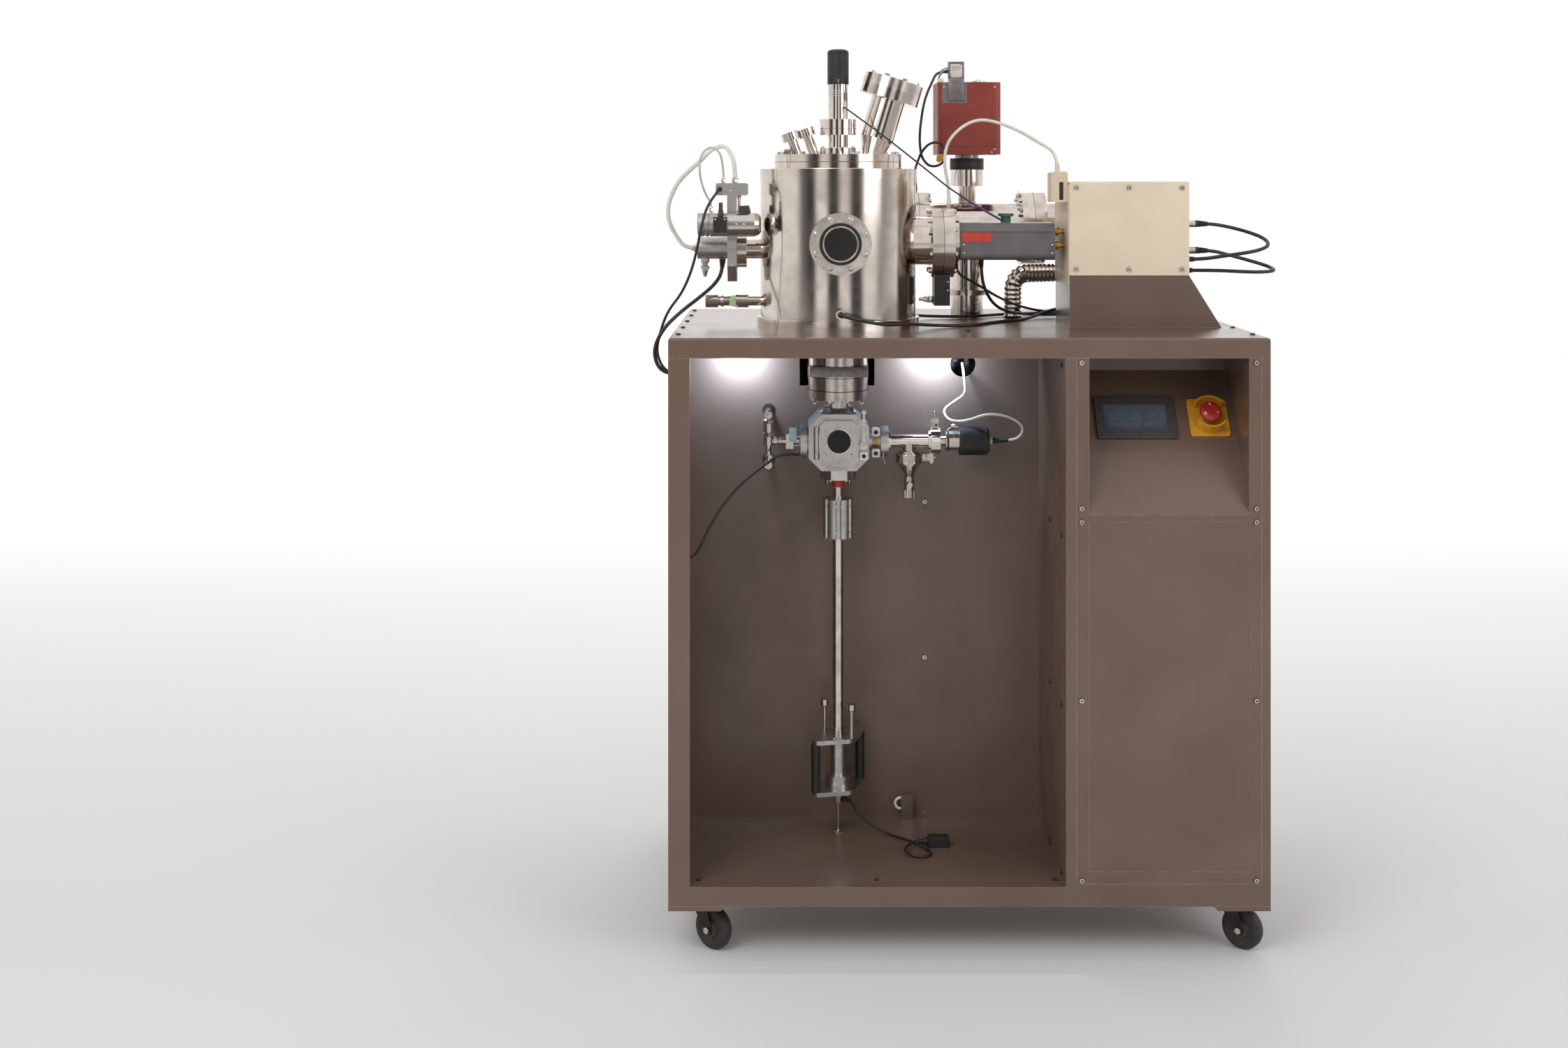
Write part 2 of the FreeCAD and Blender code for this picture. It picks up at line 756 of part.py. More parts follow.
def cabinet():
    frame = body("front_frame", (0, front, 0))
    pad(
        frame,
        rectangles(frame, [(-half_width, size.body_bottom, half_width, under_rim)], "XZ_Plane"),
        size.frame_thick,
        back=True,
    )
    left_bay = (-half_width + size.post_wide, tray_top, mid_post_left, under_rim + PAST)
    edge = size.panel_thick + size.fit_gap
    right_bay = (
        fascia_left - edge,
        size.right_opening_bottom,
        fascia_right + edge,
        under_rim + PAST,
    )
    through(frame, rectangles(frame, [left_bay, right_bay], "XZ_Plane"))
    rebate = (
        mid_post_left + size.mid_post_face,
        size.rebate_bottom,
        half_width - size.post_face,
        under_rim + PAST,
    )
    pocket(frame, rectangles(frame, [rebate], "XZ_Plane"), size.panel_thick)

    tray_bottom = size.body_bottom - size.caster_plate
    tray = body("base_tray", (0, 0, tray_bottom))
    reach = half_width - size.caster_plate_long
    near = front + size.caster_plate_long
    far = back - size.caster_plate_long
    corners = [
        (-half_width, front, -reach, near),
        (reach, front, half_width, near),
        (-half_width, far, -reach, back),
        (reach, far, half_width, back),
    ]
    inner = half_width - size.sheet_thick
    pad(
        tray,
        rectangles(tray, [(-inner, frame_back, inner, back - size.sheet_thick)], lift=size.caster_plate),
        size.tray_rail,
    )
    pocket(
        tray,
        rectangles(
            tray,
            [
                (
                    size.sheet_thick - inner,
                    frame_back + size.sheet_thick,
                    inner - size.sheet_thick,
                    back - size.sheet_thick * 2,
                )
            ],
            lift=size.caster_plate,
        ),
        size.tray_rail - size.sheet_thick,
        back=True,
    )
    plates = pad(tray, rectangles(tray, corners), size.caster_plate)
    chamfered(
        tray,
        plates,
        size.caster_plate - 1,
        lambda e: along(e, 0, 1, 0)
        and same(e.BoundBox.ZMax, 0)
        and same(abs(e.BoundBox.XMax), reach),
    )
    swivels = [
        (side * (half_width - size.caster_inset), end, size.king_pin_radius + size.turning_gap)
        for side in (-1, 1)
        for end in (front + size.caster_set_in, back - size.caster_set_in)
    ]
    pocket(tray, circles(tray, swivels), size.caster_plate, back=True)

    top = body("table_top", (0, 0, under_rim))
    slab = pad(top, rectangles(top, [(-half_width, front, half_width, back)]), size.table_rim)
    rounded(
        top, slab, size.table_edge_radius, lambda e: same(e.BoundBox.ZMin, size.table_rim)
    )
    hollow = (size.sheet_thick - half_width, front + size.sheet_thick)
    pocket(
        top,
        rectangles(top, [(*hollow, -hollow[0], -hollow[1])]),
        size.table_rim - size.table_plate,
        back=True,
    )
    holes = [
        (size.chamber_x, chamber_y, size.neck_radius + 1),
        (size.pump_x, manifold_y, size.pump_pipe_radius + 1),
        (size.bellows_drop_x, manifold_y - size.bellows_forward, size.bellows_radius + 1),
    ]
    through(top, circles(top, holes))

    side_deep = back - size.sheet_thick - frame_back
    tall = under_rim - size.body_bottom
    sides = [
        box(f"side_{word}", (x, frame_back, size.body_bottom), size.sheet_thick, side_deep, tall)
        for word, x in (("left", -half_width), ("right", half_width - size.sheet_thick))
    ]
    together("side_panels", sides)

    rear = body("rear_panel", (0, back - size.sheet_thick, 0))
    pad(
        rear,
        rectangles(rear, [(-half_width, size.body_bottom, half_width, under_rim)], "XZ_Plane"),
        size.sheet_thick,
        back=True,
    )
    slot_left = fascia_left
    slot = through(
        rear,
        rectangles(
            rear,
            [
                (
                    slot_left,
                    size.vent_height,
                    slot_left + size.vent_slot_long,
                    size.vent_height + size.vent_slot_tall,
                )
            ],
            "XZ_Plane",
        ),
    )
    rows = rear.newObject("PartDesign::LinearPattern", "rear_panel_rows")
    rows.Originals = [slot]
    rows.Direction = (
        next(f for f in rear.Origin.OriginFeatures if f.Role == "Z_Axis"),
        [""],
    )
    rows.Occurrences = int(size.vent_slots)
    set_sizes(rows, Length=size.vent_pitch * (size.vent_slots - 1))
    rear.Tip = rows

    wall = body("bay_back_wall", (0, bay_back, 0))
    wall_span = (
        -half_width + size.sheet_thick,
        tray_top,
        mid_post_left + size.sheet_thick,
        under_plate,
    )
    pad(wall, rectangles(wall, [wall_span], "XZ_Plane"), size.sheet_thick, back=True)
    window = (
        size.chamber_x - size.valve_window_wide / 2,
        below_table(size.valve_window_bottom_drop),
        size.chamber_x + size.valve_window_wide / 2,
        below_table(size.valve_window_top_drop),
    )
    through(wall, rectangles(wall, [window], "XZ_Plane"))
    gas_holes = [
        (size.gas_column_x, height, size.gas_hole_radius)
        for height in (below_table(size.gas_hole_low_drop), below_table(size.gas_hole_high_drop))
    ]
    cable_hole = (size.cable_hole_x, below_table(size.cable_hole_drop), size.cable_hole_radius)
    through(wall, circles(wall, [cable_hole, *gas_holes], "XZ_Plane"))

    box(
        "bay_partition",
        (mid_post_left, frame_back, tray_top),
        size.sheet_thick,
        bay_back - frame_back,
        under_plate - tray_top,
    )
    left_lamp = size.left_lamp_in - half_width
    right_lamp = mid_post_left - size.right_lamp_in
    lamps = [
        box(
            f"lamp_{word}",
            (x, front + size.lamp_set_back, under_plate - size.lamp_drop),
            size.lamp_long,
            size.lamp_deep,
            size.lamp_drop,
        )
        for word, x in (("left", left_lamp), ("right", right_lamp))
    ]
    together("bay_lamps", lamps)


fascia_rise = size.fascia_depth * cosine(size.fascia_angle) / sine(size.fascia_angle)
slope_turn = 90 - size.fascia_angle
X_AXIS = Vector(1, 0, 0)
Y_AXIS = Vector(0, 1, 0)
Z_AXIS = Vector(0, 0, 1)


def on_slope(thing, x, distance, out=0.0):
    """Sets a thing on the sloping fascia, its own Z pointing out of it."""
    at = (
        x,
        front + distance * sine(size.fascia_angle) - out * cosine(size.fascia_angle),
        below_table(size.fascia_foot_drop)
        + distance * cosine(size.fascia_angle)
        + out * sine(size.fascia_angle),
    )
    return lean(put(thing, at), X_AXIS, slope_turn)


def fascia():
    wide = fascia_right - fascia_left
    top = under_rim - below_table(size.fascia_foot_drop)
    thick = size.panel_thick
    skirt = thick / sine(size.fascia_angle)
    outer = [
        (0, -skirt),
        (
            size.fascia_depth + thick,
            fascia_rise + thick * cosine(size.fascia_angle) / sine(size.fascia_angle) - skirt,
        ),
        (size.fascia_depth + thick, top),
        (0, top),
    ]
    inner = [(0, 0), (size.fascia_depth, fascia_rise), (size.fascia_depth, top), (0, top)]
    panel = body("fascia_sheet", (fascia_left, front, below_table(size.fascia_foot_drop)))
    pad(panel, outline(panel, outer, "YZ_Plane", lift=-thick), wide + thick * 2)
    pocket(panel, outline(panel, inner, "YZ_Plane"), wide, back=True)
    strip_left = mid_post_left + size.mid_post_face - fascia_left
    strip_right = half_width - size.post_face - fascia_left
    flange = rectangles(panel, [(strip_left, -skirt, 0, top), (wide, -skirt, strip_right, top)], "XZ_Plane")
    pad(panel, flange, thick, back=True)

    margin = size.touch_body_margin - size.fit_gap
    panel_hole = box(
        "touch_hole",
        (0, 0, 0),
        size.touch_wide - margin * 2,
        size.touch_tall - margin * 2,
        size.panel_thick + PAST * 2,
    )
    half_hole = size.touch_wide / 2 - margin
    on_slope(
        panel_hole,
        touch_x - half_hole,
        size.control_along - (size.touch_tall / 2 - margin),
        -(size.panel_thick + PAST),
    )
    emo_hole = cylinder(
        "emo_hole", (0, 0, 0), size.emo_barrel_radius + size.fit_gap, size.panel_thick + PAST * 2
    )
    on_slope(emo_hole, emo_x, size.control_along, -(size.panel_thick + PAST))
    cut("control_fascia", panel, [panel_hole, emo_hole])

    lower = body("lower_front_panel", (0, front, 0))
    left = mid_post_left + size.mid_post_face
    right = half_width - size.post_face
    bottom = size.rebate_bottom
    seam = below_table(size.fascia_foot_drop) - skirt - size.panel_seam
    pad(lower, rectangles(lower, [(left, bottom, right, seam)], "XZ_Plane"), thick, back=True)
    field = (fascia_left, size.right_opening_bottom, fascia_right, seam - 12)
    pocket(lower, rectangles(lower, [field], "XZ_Plane"), thick / 2)


def controls():
    wide, tall = size.touch_wide, size.touch_tall
    panel = on_slope(body("touch_panel"), touch_x, size.control_along)
    bezel = pad(panel, rectangles(panel, [(-wide / 2, -tall / 2, wide / 2, tall / 2)]), size.touch_thick)
    soft = rounded(panel, bezel, size.touch_corner, lambda e: along(e, 0, 0, 1))
    rounded(panel, soft, 1.5, lambda e: same(e.BoundBox.ZMin, size.touch_thick))
    back_wide = wide / 2 - size.touch_body_margin
    back_tall = tall / 2 - size.touch_body_margin
    rear = rectangles(panel, [(-back_wide, -back_tall, back_wide, back_tall)])
    pad(panel, rear, size.touch_body_deep, back=True)
    screen_x = size.screen_wide / 2
    screen_y = size.screen_tall / 2
    gap = size.fit_gap
    recess = rectangles(
        panel,
        [(-screen_x - gap, -screen_y - gap, screen_x + gap, screen_y + gap)],
        lift=size.touch_thick,
    )
    pocket(panel, recess, size.screen_thick + 0.8)
    screen = box("touch_screen", (0, 0, 0), size.screen_wide, size.screen_tall, size.screen_thick)
    floor = size.touch_thick - size.screen_thick - 0.8
    on_slope(screen, touch_x - screen_x, size.control_along - screen_y, floor)

    guard = on_slope(body("emo_guard"), emo_x, size.control_along)
    across, high = size.guard_wide / 2, size.guard_tall / 2
    plate = pad(guard, rectangles(guard, [(-across, -high, across, high)]), size.guard_plate)
    rounded(guard, plate, 6.0, lambda e: along(e, 0, 0, 1))
    ring = size.guard_ring_radius
    pad(guard, circles(guard, [(0, 0, ring)]), size.guard_plate + size.guard_ring_tall)
    pocket(
        guard,
        circles(guard, [(0, 0, ring - size.guard_ring_wall)], lift=size.guard_plate),
        size.guard_ring_tall,
        back=True,
    )
    gap_half = size.guard_gap / 2
    sides = rectangles(guard, [(-ring - PAST, -gap_half, ring + PAST, gap_half)], lift=size.guard_plate)
    pocket(guard, sides, size.guard_ring_tall, back=True)
    bush = circles(guard, [(0, 0, size.emo_bush_radius)])
    pad(guard, bush, size.guard_plate + size.emo_bush_tall)
    pad(guard, circles(guard, [(0, 0, size.emo_barrel_radius)]), size.emo_barrel_long, back=True)
    block = size.emo_block_wide / 2
    pad(
        guard,
        rectangles(guard, [(-block, -block, block, block)], lift=-size.emo_barrel_long),
        size.emo_block_deep,
        back=True,
    )
    bore_bottom = -(size.emo_barrel_long + size.emo_travel)
    bore = circles(guard, [(0, 0, size.emo_stem_radius + size.turning_gap)], lift=bore_bottom)
    bush_top = size.guard_plate + size.emo_bush_tall
    pocket(guard, bore, bush_top - bore_bottom, back=True)

    head_bottom = bush_top + size.emo_travel + 1
    stem_bottom = -size.emo_barrel_long + 1
    stem_top = head_bottom + size.emo_head_tall / 2
    stem = disc("emo_stem", size.emo_stem_radius, stem_top - stem_bottom)
    on_slope(stem, emo_x, size.control_along, stem_bottom)
    gap = size.turning_gap
    bore = size.emo_stem_radius + gap
    wide = size.emo_head_radius
    tall = size.emo_head_tall
    head = turned(
        "emo_head",
        [
            (bore, 0),
            (wide * 0.62, 0),
            (wide * 0.66, tall * 0.22),
            (wide, tall * 0.34),
            (wide, tall * 0.62),
            (wide * 0.88, tall * 0.84),
            (wide * 0.6, tall),
            (0, tall),
            (0, tall / 2 + gap),
            (bore, tall / 2 + gap),
        ],
    )
    on_slope(head, emo_x, size.control_along, head_bottom)


def casters():
    top = size.body_bottom - size.caster_plate - size.turning_gap
    deck = top - size.swivel_tall
    cheek = size.wheel_wide / 2 + size.fork_gap
    trail = size.caster_trail
    ends = {"front": front + size.caster_set_in, "rear": back - size.caster_set_in}
    sides = {"left": -half_width + size.caster_inset, "right": half_width - size.caster_inset}
    for end, y in ends.items():
        for side, x in sides.items():
            name = f"{end}_{side}"
            fork = body(f"{name}_fork", (x, y, 0))
            lean(fork, Z_AXIS, size.caster_swing)
            plate = circles(fork, [(0, 0, size.swivel_radius)], lift=deck)
            pad(fork, plate, size.swivel_tall)
            leg = [
                (-size.swivel_radius * 0.6, deck),
                (size.swivel_radius * 0.9, deck),
                (trail + 9, size.wheel_radius),
                (trail + 5, size.wheel_radius - 9),
                (trail - 5, size.wheel_radius - 9),
                (trail - 10, size.wheel_radius),
            ]
            for lift in (cheek, -cheek - size.fork_plate):
                pad(fork, outline(fork, leg, "XZ_Plane", lift=lift), size.fork_plate)
            axle = circles(
                fork,
                [(trail, size.wheel_radius, size.axle_radius)],
                "XZ_Plane",
                lift=-cheek - size.fork_plate - 2,
            )
            pad(fork, axle, (cheek + size.fork_plate + 2) * 2)
            pin = circles(fork, [(0, 0, size.king_pin_radius)], lift=top)
            pad(fork, pin, size.caster_plate)

            wheel = body(f"{name}_wheel")
            swing = size.caster_swing
            put(wheel, (x + trail * cosine(swing), y + trail * sine(swing), size.wheel_radius))
            wheel_turn = Rotation(Z_AXIS, swing).multiply(AWAY)
            wheel.Placement = Placement(wheel.Placement.Base, wheel_turn)
            round_off = size.wheel_round
            wide = size.wheel_wide / 2
            rim = size.wheel_radius
            bore = size.axle_radius + size.turning_gap
            section = [
                (bore, -wide),
                (size.hub_radius, -wide),
                (size.hub_radius + 2, -wide + 3),
                (rim - round_off, -wide + 1),
                (rim - round_off * 0.3, -wide + round_off * 0.4),
                (rim, -wide + round_off),
                (rim, wide - round_off),
                (rim - round_off * 0.3, wide - round_off * 0.4),
                (rim - round_off, wide - 1),
                (size.hub_radius + 2, wide - 3),
                (size.hub_radius, wide),
                (bore, wide),
            ]
            spin = wheel.newObject("PartDesign::Revolution", f"{name}_wheel_spin")
            spin.Profile = outline(wheel, section, "XZ_Plane")
            spin.ReferenceAxis = (spin.Profile[0], ["V_Axis"])
            spin.Angle = 360.0
            wheel.Tip = spin


def chamber():
    low = -(size.lock_neck_drop + size.flange_thick + 4)
    neck_foot = -size.lock_neck_drop
    inner = size.chamber_radius - size.chamber_wall
    wall = size.chamber_radius - size.top_band_step
    top = size.chamber_tall
    vessel = turned(
        "vessel",
        [
            (size.neck_bore, low),
            (size.flange_radius, low),
            (size.flange_radius, neck_foot),
            (size.neck_radius, neck_foot),
            (size.neck_radius, 0),
            (size.base_ring_radius, 0),
            (size.base_ring_radius, size.base_ring_tall),
            (wall, size.base_ring_tall),
            (wall, top - size.top_band),
            (size.chamber_radius, top - size.top_band),
            (size.chamber_radius, top),
            (size.lid_flange_radius, top),
            (size.lid_flange_radius, top + size.lid_flange_thick),
            (size.lid_bore_radius, top + size.lid_flange_thick),
            (size.lid_bore_radius, top - size.top_band),
            (inner, top - size.top_band),
            (inner, size.base_ring_tall),
            (size.neck_bore, size.base_ring_tall),
        ],
        (size.chamber_x, chamber_y, size.table_height),
    )
    sunk = size.chamber_radius - 15
    x, y, port = size.chamber_x, chamber_y, above_table(size.port_rise)

    def port_out(label, radius, start, end, turn, height):
        """A cylinder that points out of the chamber, from one distance to another."""
        if turn is RIGHT:
            at = (x + start, y, height)
        elif turn is LEFT:
            at = (x - start, y, height)
        elif turn is AWAY:
            at = (x, y + start, height)
        else:
            at = (x, y - start, height)
        return cylinder(label, at, radius, end - start, turn)

    inside = inner - 20
    side_end = size.side_neck_out + size.side_flange_thick
    left_end = size.left_neck_out + size.left_flange_thick
    left_z = above_table(size.left_port_rise)
    nut_a = size.chamber_radius + 22
    nut_b = size.inlet_out - size.inlet_nut_long
    outers = [
        vessel,
        port_out("front_port", size.flange_radius, sunk - 5, size.viewport_out, TOWARD, port),
        port_out("side_neck", size.side_neck_radius, sunk, size.side_neck_out, RIGHT, port),
        port_out("side_flange", size.side_flange_radius, size.side_neck_out, side_end, RIGHT, port),
        port_out("left_neck", size.left_neck_radius, sunk, size.left_neck_out, LEFT, left_z),
        port_out("left_flange", size.left_flange_radius, size.left_neck_out, left_end, LEFT, left_z),
        port_out(
            "rear_neck",
            size.manifold_radius,
            sunk - 10,
            size.rear_neck_out,
            AWAY,
            above_table(size.manifold_rise),
        ),
        port_out("inlet", size.inlet_radius, sunk + 5, size.inlet_out, LEFT, above_table(size.inlet_rise)),
    ]
    fitting = stack([(0, -PAST), (6.0, 12.0), (9.0, 20.0)])
    at = (x, y - wall, size.table_height + 33)
    outers.append(turned("front_fitting", fitting, at, TOWARD))
    for word, start in (("a", nut_a), ("b", nut_b)):
        outers.append(
            port_out(
                f"inlet_nut_{word}",
                size.inlet_nut_radius,
                start,
                start + size.inlet_nut_long,
                LEFT,
                above_table(size.inlet_rise),
            )
        )
    bores = [
        cylinder(
            "chamber_hollow",
            (x, y, size.table_height + size.base_ring_tall),
            inner,
            top - size.top_band - size.base_ring_tall,
        ),
        port_out("front_bore", size.viewport_bore, inside, size.viewport_out, TOWARD, port),
        port_out("side_bore", size.side_neck_radius - 3, inside, side_end, RIGHT, port),
        port_out("left_bore", size.left_neck_radius - 3, inside, left_end, LEFT, left_z),
        port_out(
            "rear_bore",
            size.manifold_radius - 3,
            inside,
            size.rear_neck_out,
            AWAY,
            above_table(size.manifold_rise),
        ),
    ]
    cut("analysis_chamber", fuse("chamber_outer", outers), bores)
    glass_out = size.viewport_out + size.viewport_thick - size.viewport_glass_thick - 2
    glass = disc(
        "viewport_glass",
        size.viewport_glass_radius,
        size.viewport_glass_thick,
        (x, y - glass_out, port),
        TOWARD,
    )
    return glass


def lean_place(x, y, z, angle, distance):
    """A point on an axis that leans sideways by an angle from the upright."""
    return (x + distance * sine(angle), y, z + distance * cosine(angle))


def lid():
    x, y = size.chamber_x, chamber_y
    plate = disc("lid_plate", size.lid_flange_radius, size.lid_thick, (x, y, lid_bottom))
    sink = -7.0
    cone_top = size.inclined_cone_tall
    neck = size.inclined_tube_radius
    lower_end = size.inclined_tube_tall + size.inclined_flange_thick
    inclined = turned(
        "inclined_neck",
        [
            (0, sink),
            (size.inclined_root_radius, sink),
            (size.inclined_root_radius, 0),
            (neck, cone_top),
            (neck, size.inclined_tube_tall),
            (size.flange_radius, size.inclined_tube_tall),
            (size.flange_radius, lower_end),
            (0, lower_end),
        ],
        (x + size.inclined_x, y, lid_top),
    )
    lean(inclined, Y_AXIS, size.inclined_lean)
    pieces = [plate, inclined]
    blanks = []
    small = {
        "outer": (size.outer_port_x, size.outer_port_y, size.outer_port_tall),
        "inner": (size.inner_port_x, size.inner_port_y, size.inner_port_tall),
    }
    for word, (dx, dy, tall) in small.items():
        section = stack(
            [
                (0, -5.0),
                (size.small_tube_radius, tall),
                (size.small_flange_radius, tall + size.small_flange_thick),
            ]
        )
        at = (x + dx, y + dy, lid_top)
        pieces.append(lean(turned(f"{word}_neck", section, at), Y_AXIS, size.small_lean))
        far = lean_place(*at, size.small_lean, tall + size.small_flange_thick)
        blank = disc(f"{word}_blank", size.small_flange_radius, size.small_flange_thick, far)
        blanks.append(lean(blank, Y_AXIS, size.small_lean))
    fuse("chamber_lid", pieces)

    far = lean_place(x + size.inclined_x, y, lid_top, size.inclined_lean, lower_end)
    top_blank = disc("inclined_blank", size.flange_radius, size.inclined_flange_thick, far)
    blanks.append(lean(top_blank, Y_AXIS, size.inclined_lean))
    ring_end = size.viewport_thick + size.viewport_ring_thick
    viewport = turned(
        "viewport_flange",
        [
            (size.viewport_glass_radius + size.fit_gap, 0),
            (size.flange_radius, 0),
            (size.flange_radius, size.viewport_thick),
            (size.viewport_ring_radius, size.viewport_thick),
            (size.viewport_ring_radius, ring_end),
            (size.viewport_glass_radius + size.fit_gap, ring_end),
        ],
        (x, y - size.viewport_out, above_table(size.port_rise)),
        TOWARD,
    )
    side_end = size.side_neck_out + size.side_flange_thick
    analyser_flange = turned(
        "analyser_flange",
        stack(
            [
                (0, 0.0),
                (size.side_flange_radius, size.side_flange_thick),
                (size.side_plate_radius, size.side_flange_thick + size.side_plate_thick),
            ]
        ),
        (x + side_end, y, above_table(size.port_rise)),
        RIGHT,
    )
    together("mating_flanges", [viewport, analyser_flange, *blanks])

    lower = size.feed_flange_thick + size.feed_lower_tall
    middle = lower + size.feed_pair_thick / 2
    upper = lower + size.feed_pair_thick
    shoulder = upper + size.feed_upper_tall
    groove = size.feed_flange_radius - size.feed_groove
    turned(
        "top_feedthrough",
        stack(
            [
                (0, 0.0),
                (size.feed_flange_radius, size.feed_flange_thick),
                (size.feed_tube_radius, lower),
                (size.feed_flange_radius, middle - 0.5),
                (groove, middle + 0.5),
                (size.feed_flange_radius, upper),
                (size.feed_tube_radius - 0.5, shoulder),
                (size.knob_spigot_radius, shoulder + size.knob_spigot_tall),
            ]
        ),
        (x, y, lid_top),
    )
    gap = size.turning_gap
    bore = size.knob_spigot_radius + gap
    deep = size.knob_spigot_tall + gap
    edge = size.knob_round
    wide, tall = size.knob_radius, size.knob_tall
    knob = turned(
        "feedthrough_knob",
        [
            (bore, 0),
            (wide, 0),
            (wide, tall - edge),
            (wide - edge * 0.3, tall - edge * 0.3),
            (wide - edge, tall),
            (0, tall),
            (0, deep),
            (bore, deep),
        ],
        (x, y, lid_top + shoulder + gap),
    )
    slit = pocket(knob, rectangles(knob, [(wide - 1.2, -1.5, wide + 1, 1.5)]), 10.0, back=True)
    around(knob, slit, size.knob_slots)


def analyser():
    side_end = size.side_neck_out + size.side_flange_thick
    left = size.chamber_x + side_end + size.side_flange_thick + size.side_plate_thick
    wide = size.analyser_wide / 2
    tall = size.analyser_tall / 2
    bevel = size.analyser_chamfer
    part = body("analyser_housing", (left, chamber_y, above_table(size.port_rise)))
    section = [
        (-wide, -tall),
        (wide, -tall),
        (wide, tall - bevel),
        (wide - bevel, tall),
        (bevel - wide, tall),
        (-wide, tall - bevel),
    ]
    bar = pad(part, outline(part, section, "YZ_Plane"), size.analyser_long)
    rounded(
        part, bar, size.analyser_round, lambda e: along(e, 1, 0, 0) and same(e.BoundBox.ZMax, -tall)
    )

    rf_y = chamber_y - size.rf_forward
    crate = body("rf_box", (size.rf_x, rf_y, above_table(size.rf_bottom_rise)))
    shell = pad(crate, rectangles(crate, [(0, 0, size.rf_wide, size.rf_deep)]), size.rf_tall)
    rounded(crate, shell, size.rf_edge_radius, lambda e: same(e.BoundBox.ZMin, size.rf_tall))
    skirt = [(-size.rf_skirt_thick, 4, 0, size.rf_deep - 4)]
    drop = rectangles(crate, skirt, lift=-size.rf_skirt_drop)
    pad(crate, drop, size.rf_tall + size.rf_skirt_drop - 6)

    tall = above_table(size.rf_bottom_rise) - size.table_height
    wide = size.rf_wide
    foot = size.stand_foot_wide
    thick = size.sheet_thick
    stand = body("rf_stand", (size.rf_x, rf_y, size.table_height))
    pad(
        stand,
        outline(stand, [(0, 0), (foot, 0), (wide, tall), (0, tall)], "XZ_Plane"),
        size.rf_deep,
        back=True,
    )
    inner = [
        (thick, 0),
        (foot - thick * 1.4, 0),
        (wide - thick, tall - thick),
        (thick, tall - thick),
    ]
    pocket(stand, outline(stand, inner, "XZ_Plane", lift=-thick), size.rf_deep - thick)

    pieces = []
    start = left + size.analyser_long
    reach = size.rf_x - size.rf_skirt_thick - start
    for word, rise in (("upper", 18.0), ("lower", -8.5)):
        section = stack([(0, 0.0), (5.0, 6.0), (8.0, 14.0), (5.0, reach)])
        at = (start, chamber_y, above_table(size.port_rise) + rise)
        pieces.append(turned(f"pin_{word}", section, at, RIGHT))
    hood_x = size.rf_x - size.rf_skirt_thick - size.hood_wide
    hood_at = (hood_x, rf_y + 8, above_table(size.rf_bottom_rise) + 139)
    hood = body("cable_hood", hood_at)
    shell = pad(hood, rectangles(hood, [(0, 0, size.hood_wide, size.hood_deep)]), size.hood_tall)
    rounded(hood, shell, 5.0, lambda e: along(e, 0, 1, 0) and same(e.BoundBox.ZMin, size.hood_tall))
    slot = rectangles(hood, [(14.5, 4, 22.5, size.hood_tall - 20)], "XZ_Plane")
    pocket(hood, slot, size.hood_slot_deep)
    pieces.append(hood)
    for word, rise in (("upper", 96.0), ("lower", 44.5)):
        section = stack([(0, 0.0), (9.0, 16.0), (7.0, 31.0)])
        at = (size.rf_x + size.rf_wide, rf_y + 90, above_table(size.rf_bottom_rise) + rise)
        pieces.append(turned(f"socket_{word}", section, at, RIGHT))
    cap_z = above_table(size.port_rise) + size.analyser_tall / 2
    cap = [(0, 0), (9.5, 0), (9.5, 11), (15, 13), (15, 18), (0, 18)]
    pieces.append(turned("green_cap", cap, (left + 91, chamber_y, cap_z)))
    axis_z = above_table(size.port_rise)
    flange_left = size.chamber_x + side_end - size.side_flange_thick
    wide, deep, tall = size.junction_wide, size.junction_deep, size.junction_tall
    case = box(
        "junction_case",
        (flange_left + 6, chamber_y - deep / 2, axis_z - size.side_flange_radius - tall + 8),
        wide,
        deep,
        tall,
    )
    flange_room = cylinder(
        "flange_room",
        (flange_left - 10, chamber_y, axis_z),
        size.side_flange_radius,
        wide + 40,
        RIGHT,
    )
    pieces.append(cut("junction_box", case, [flange_room]))
    together("signal_connectors", pieces)


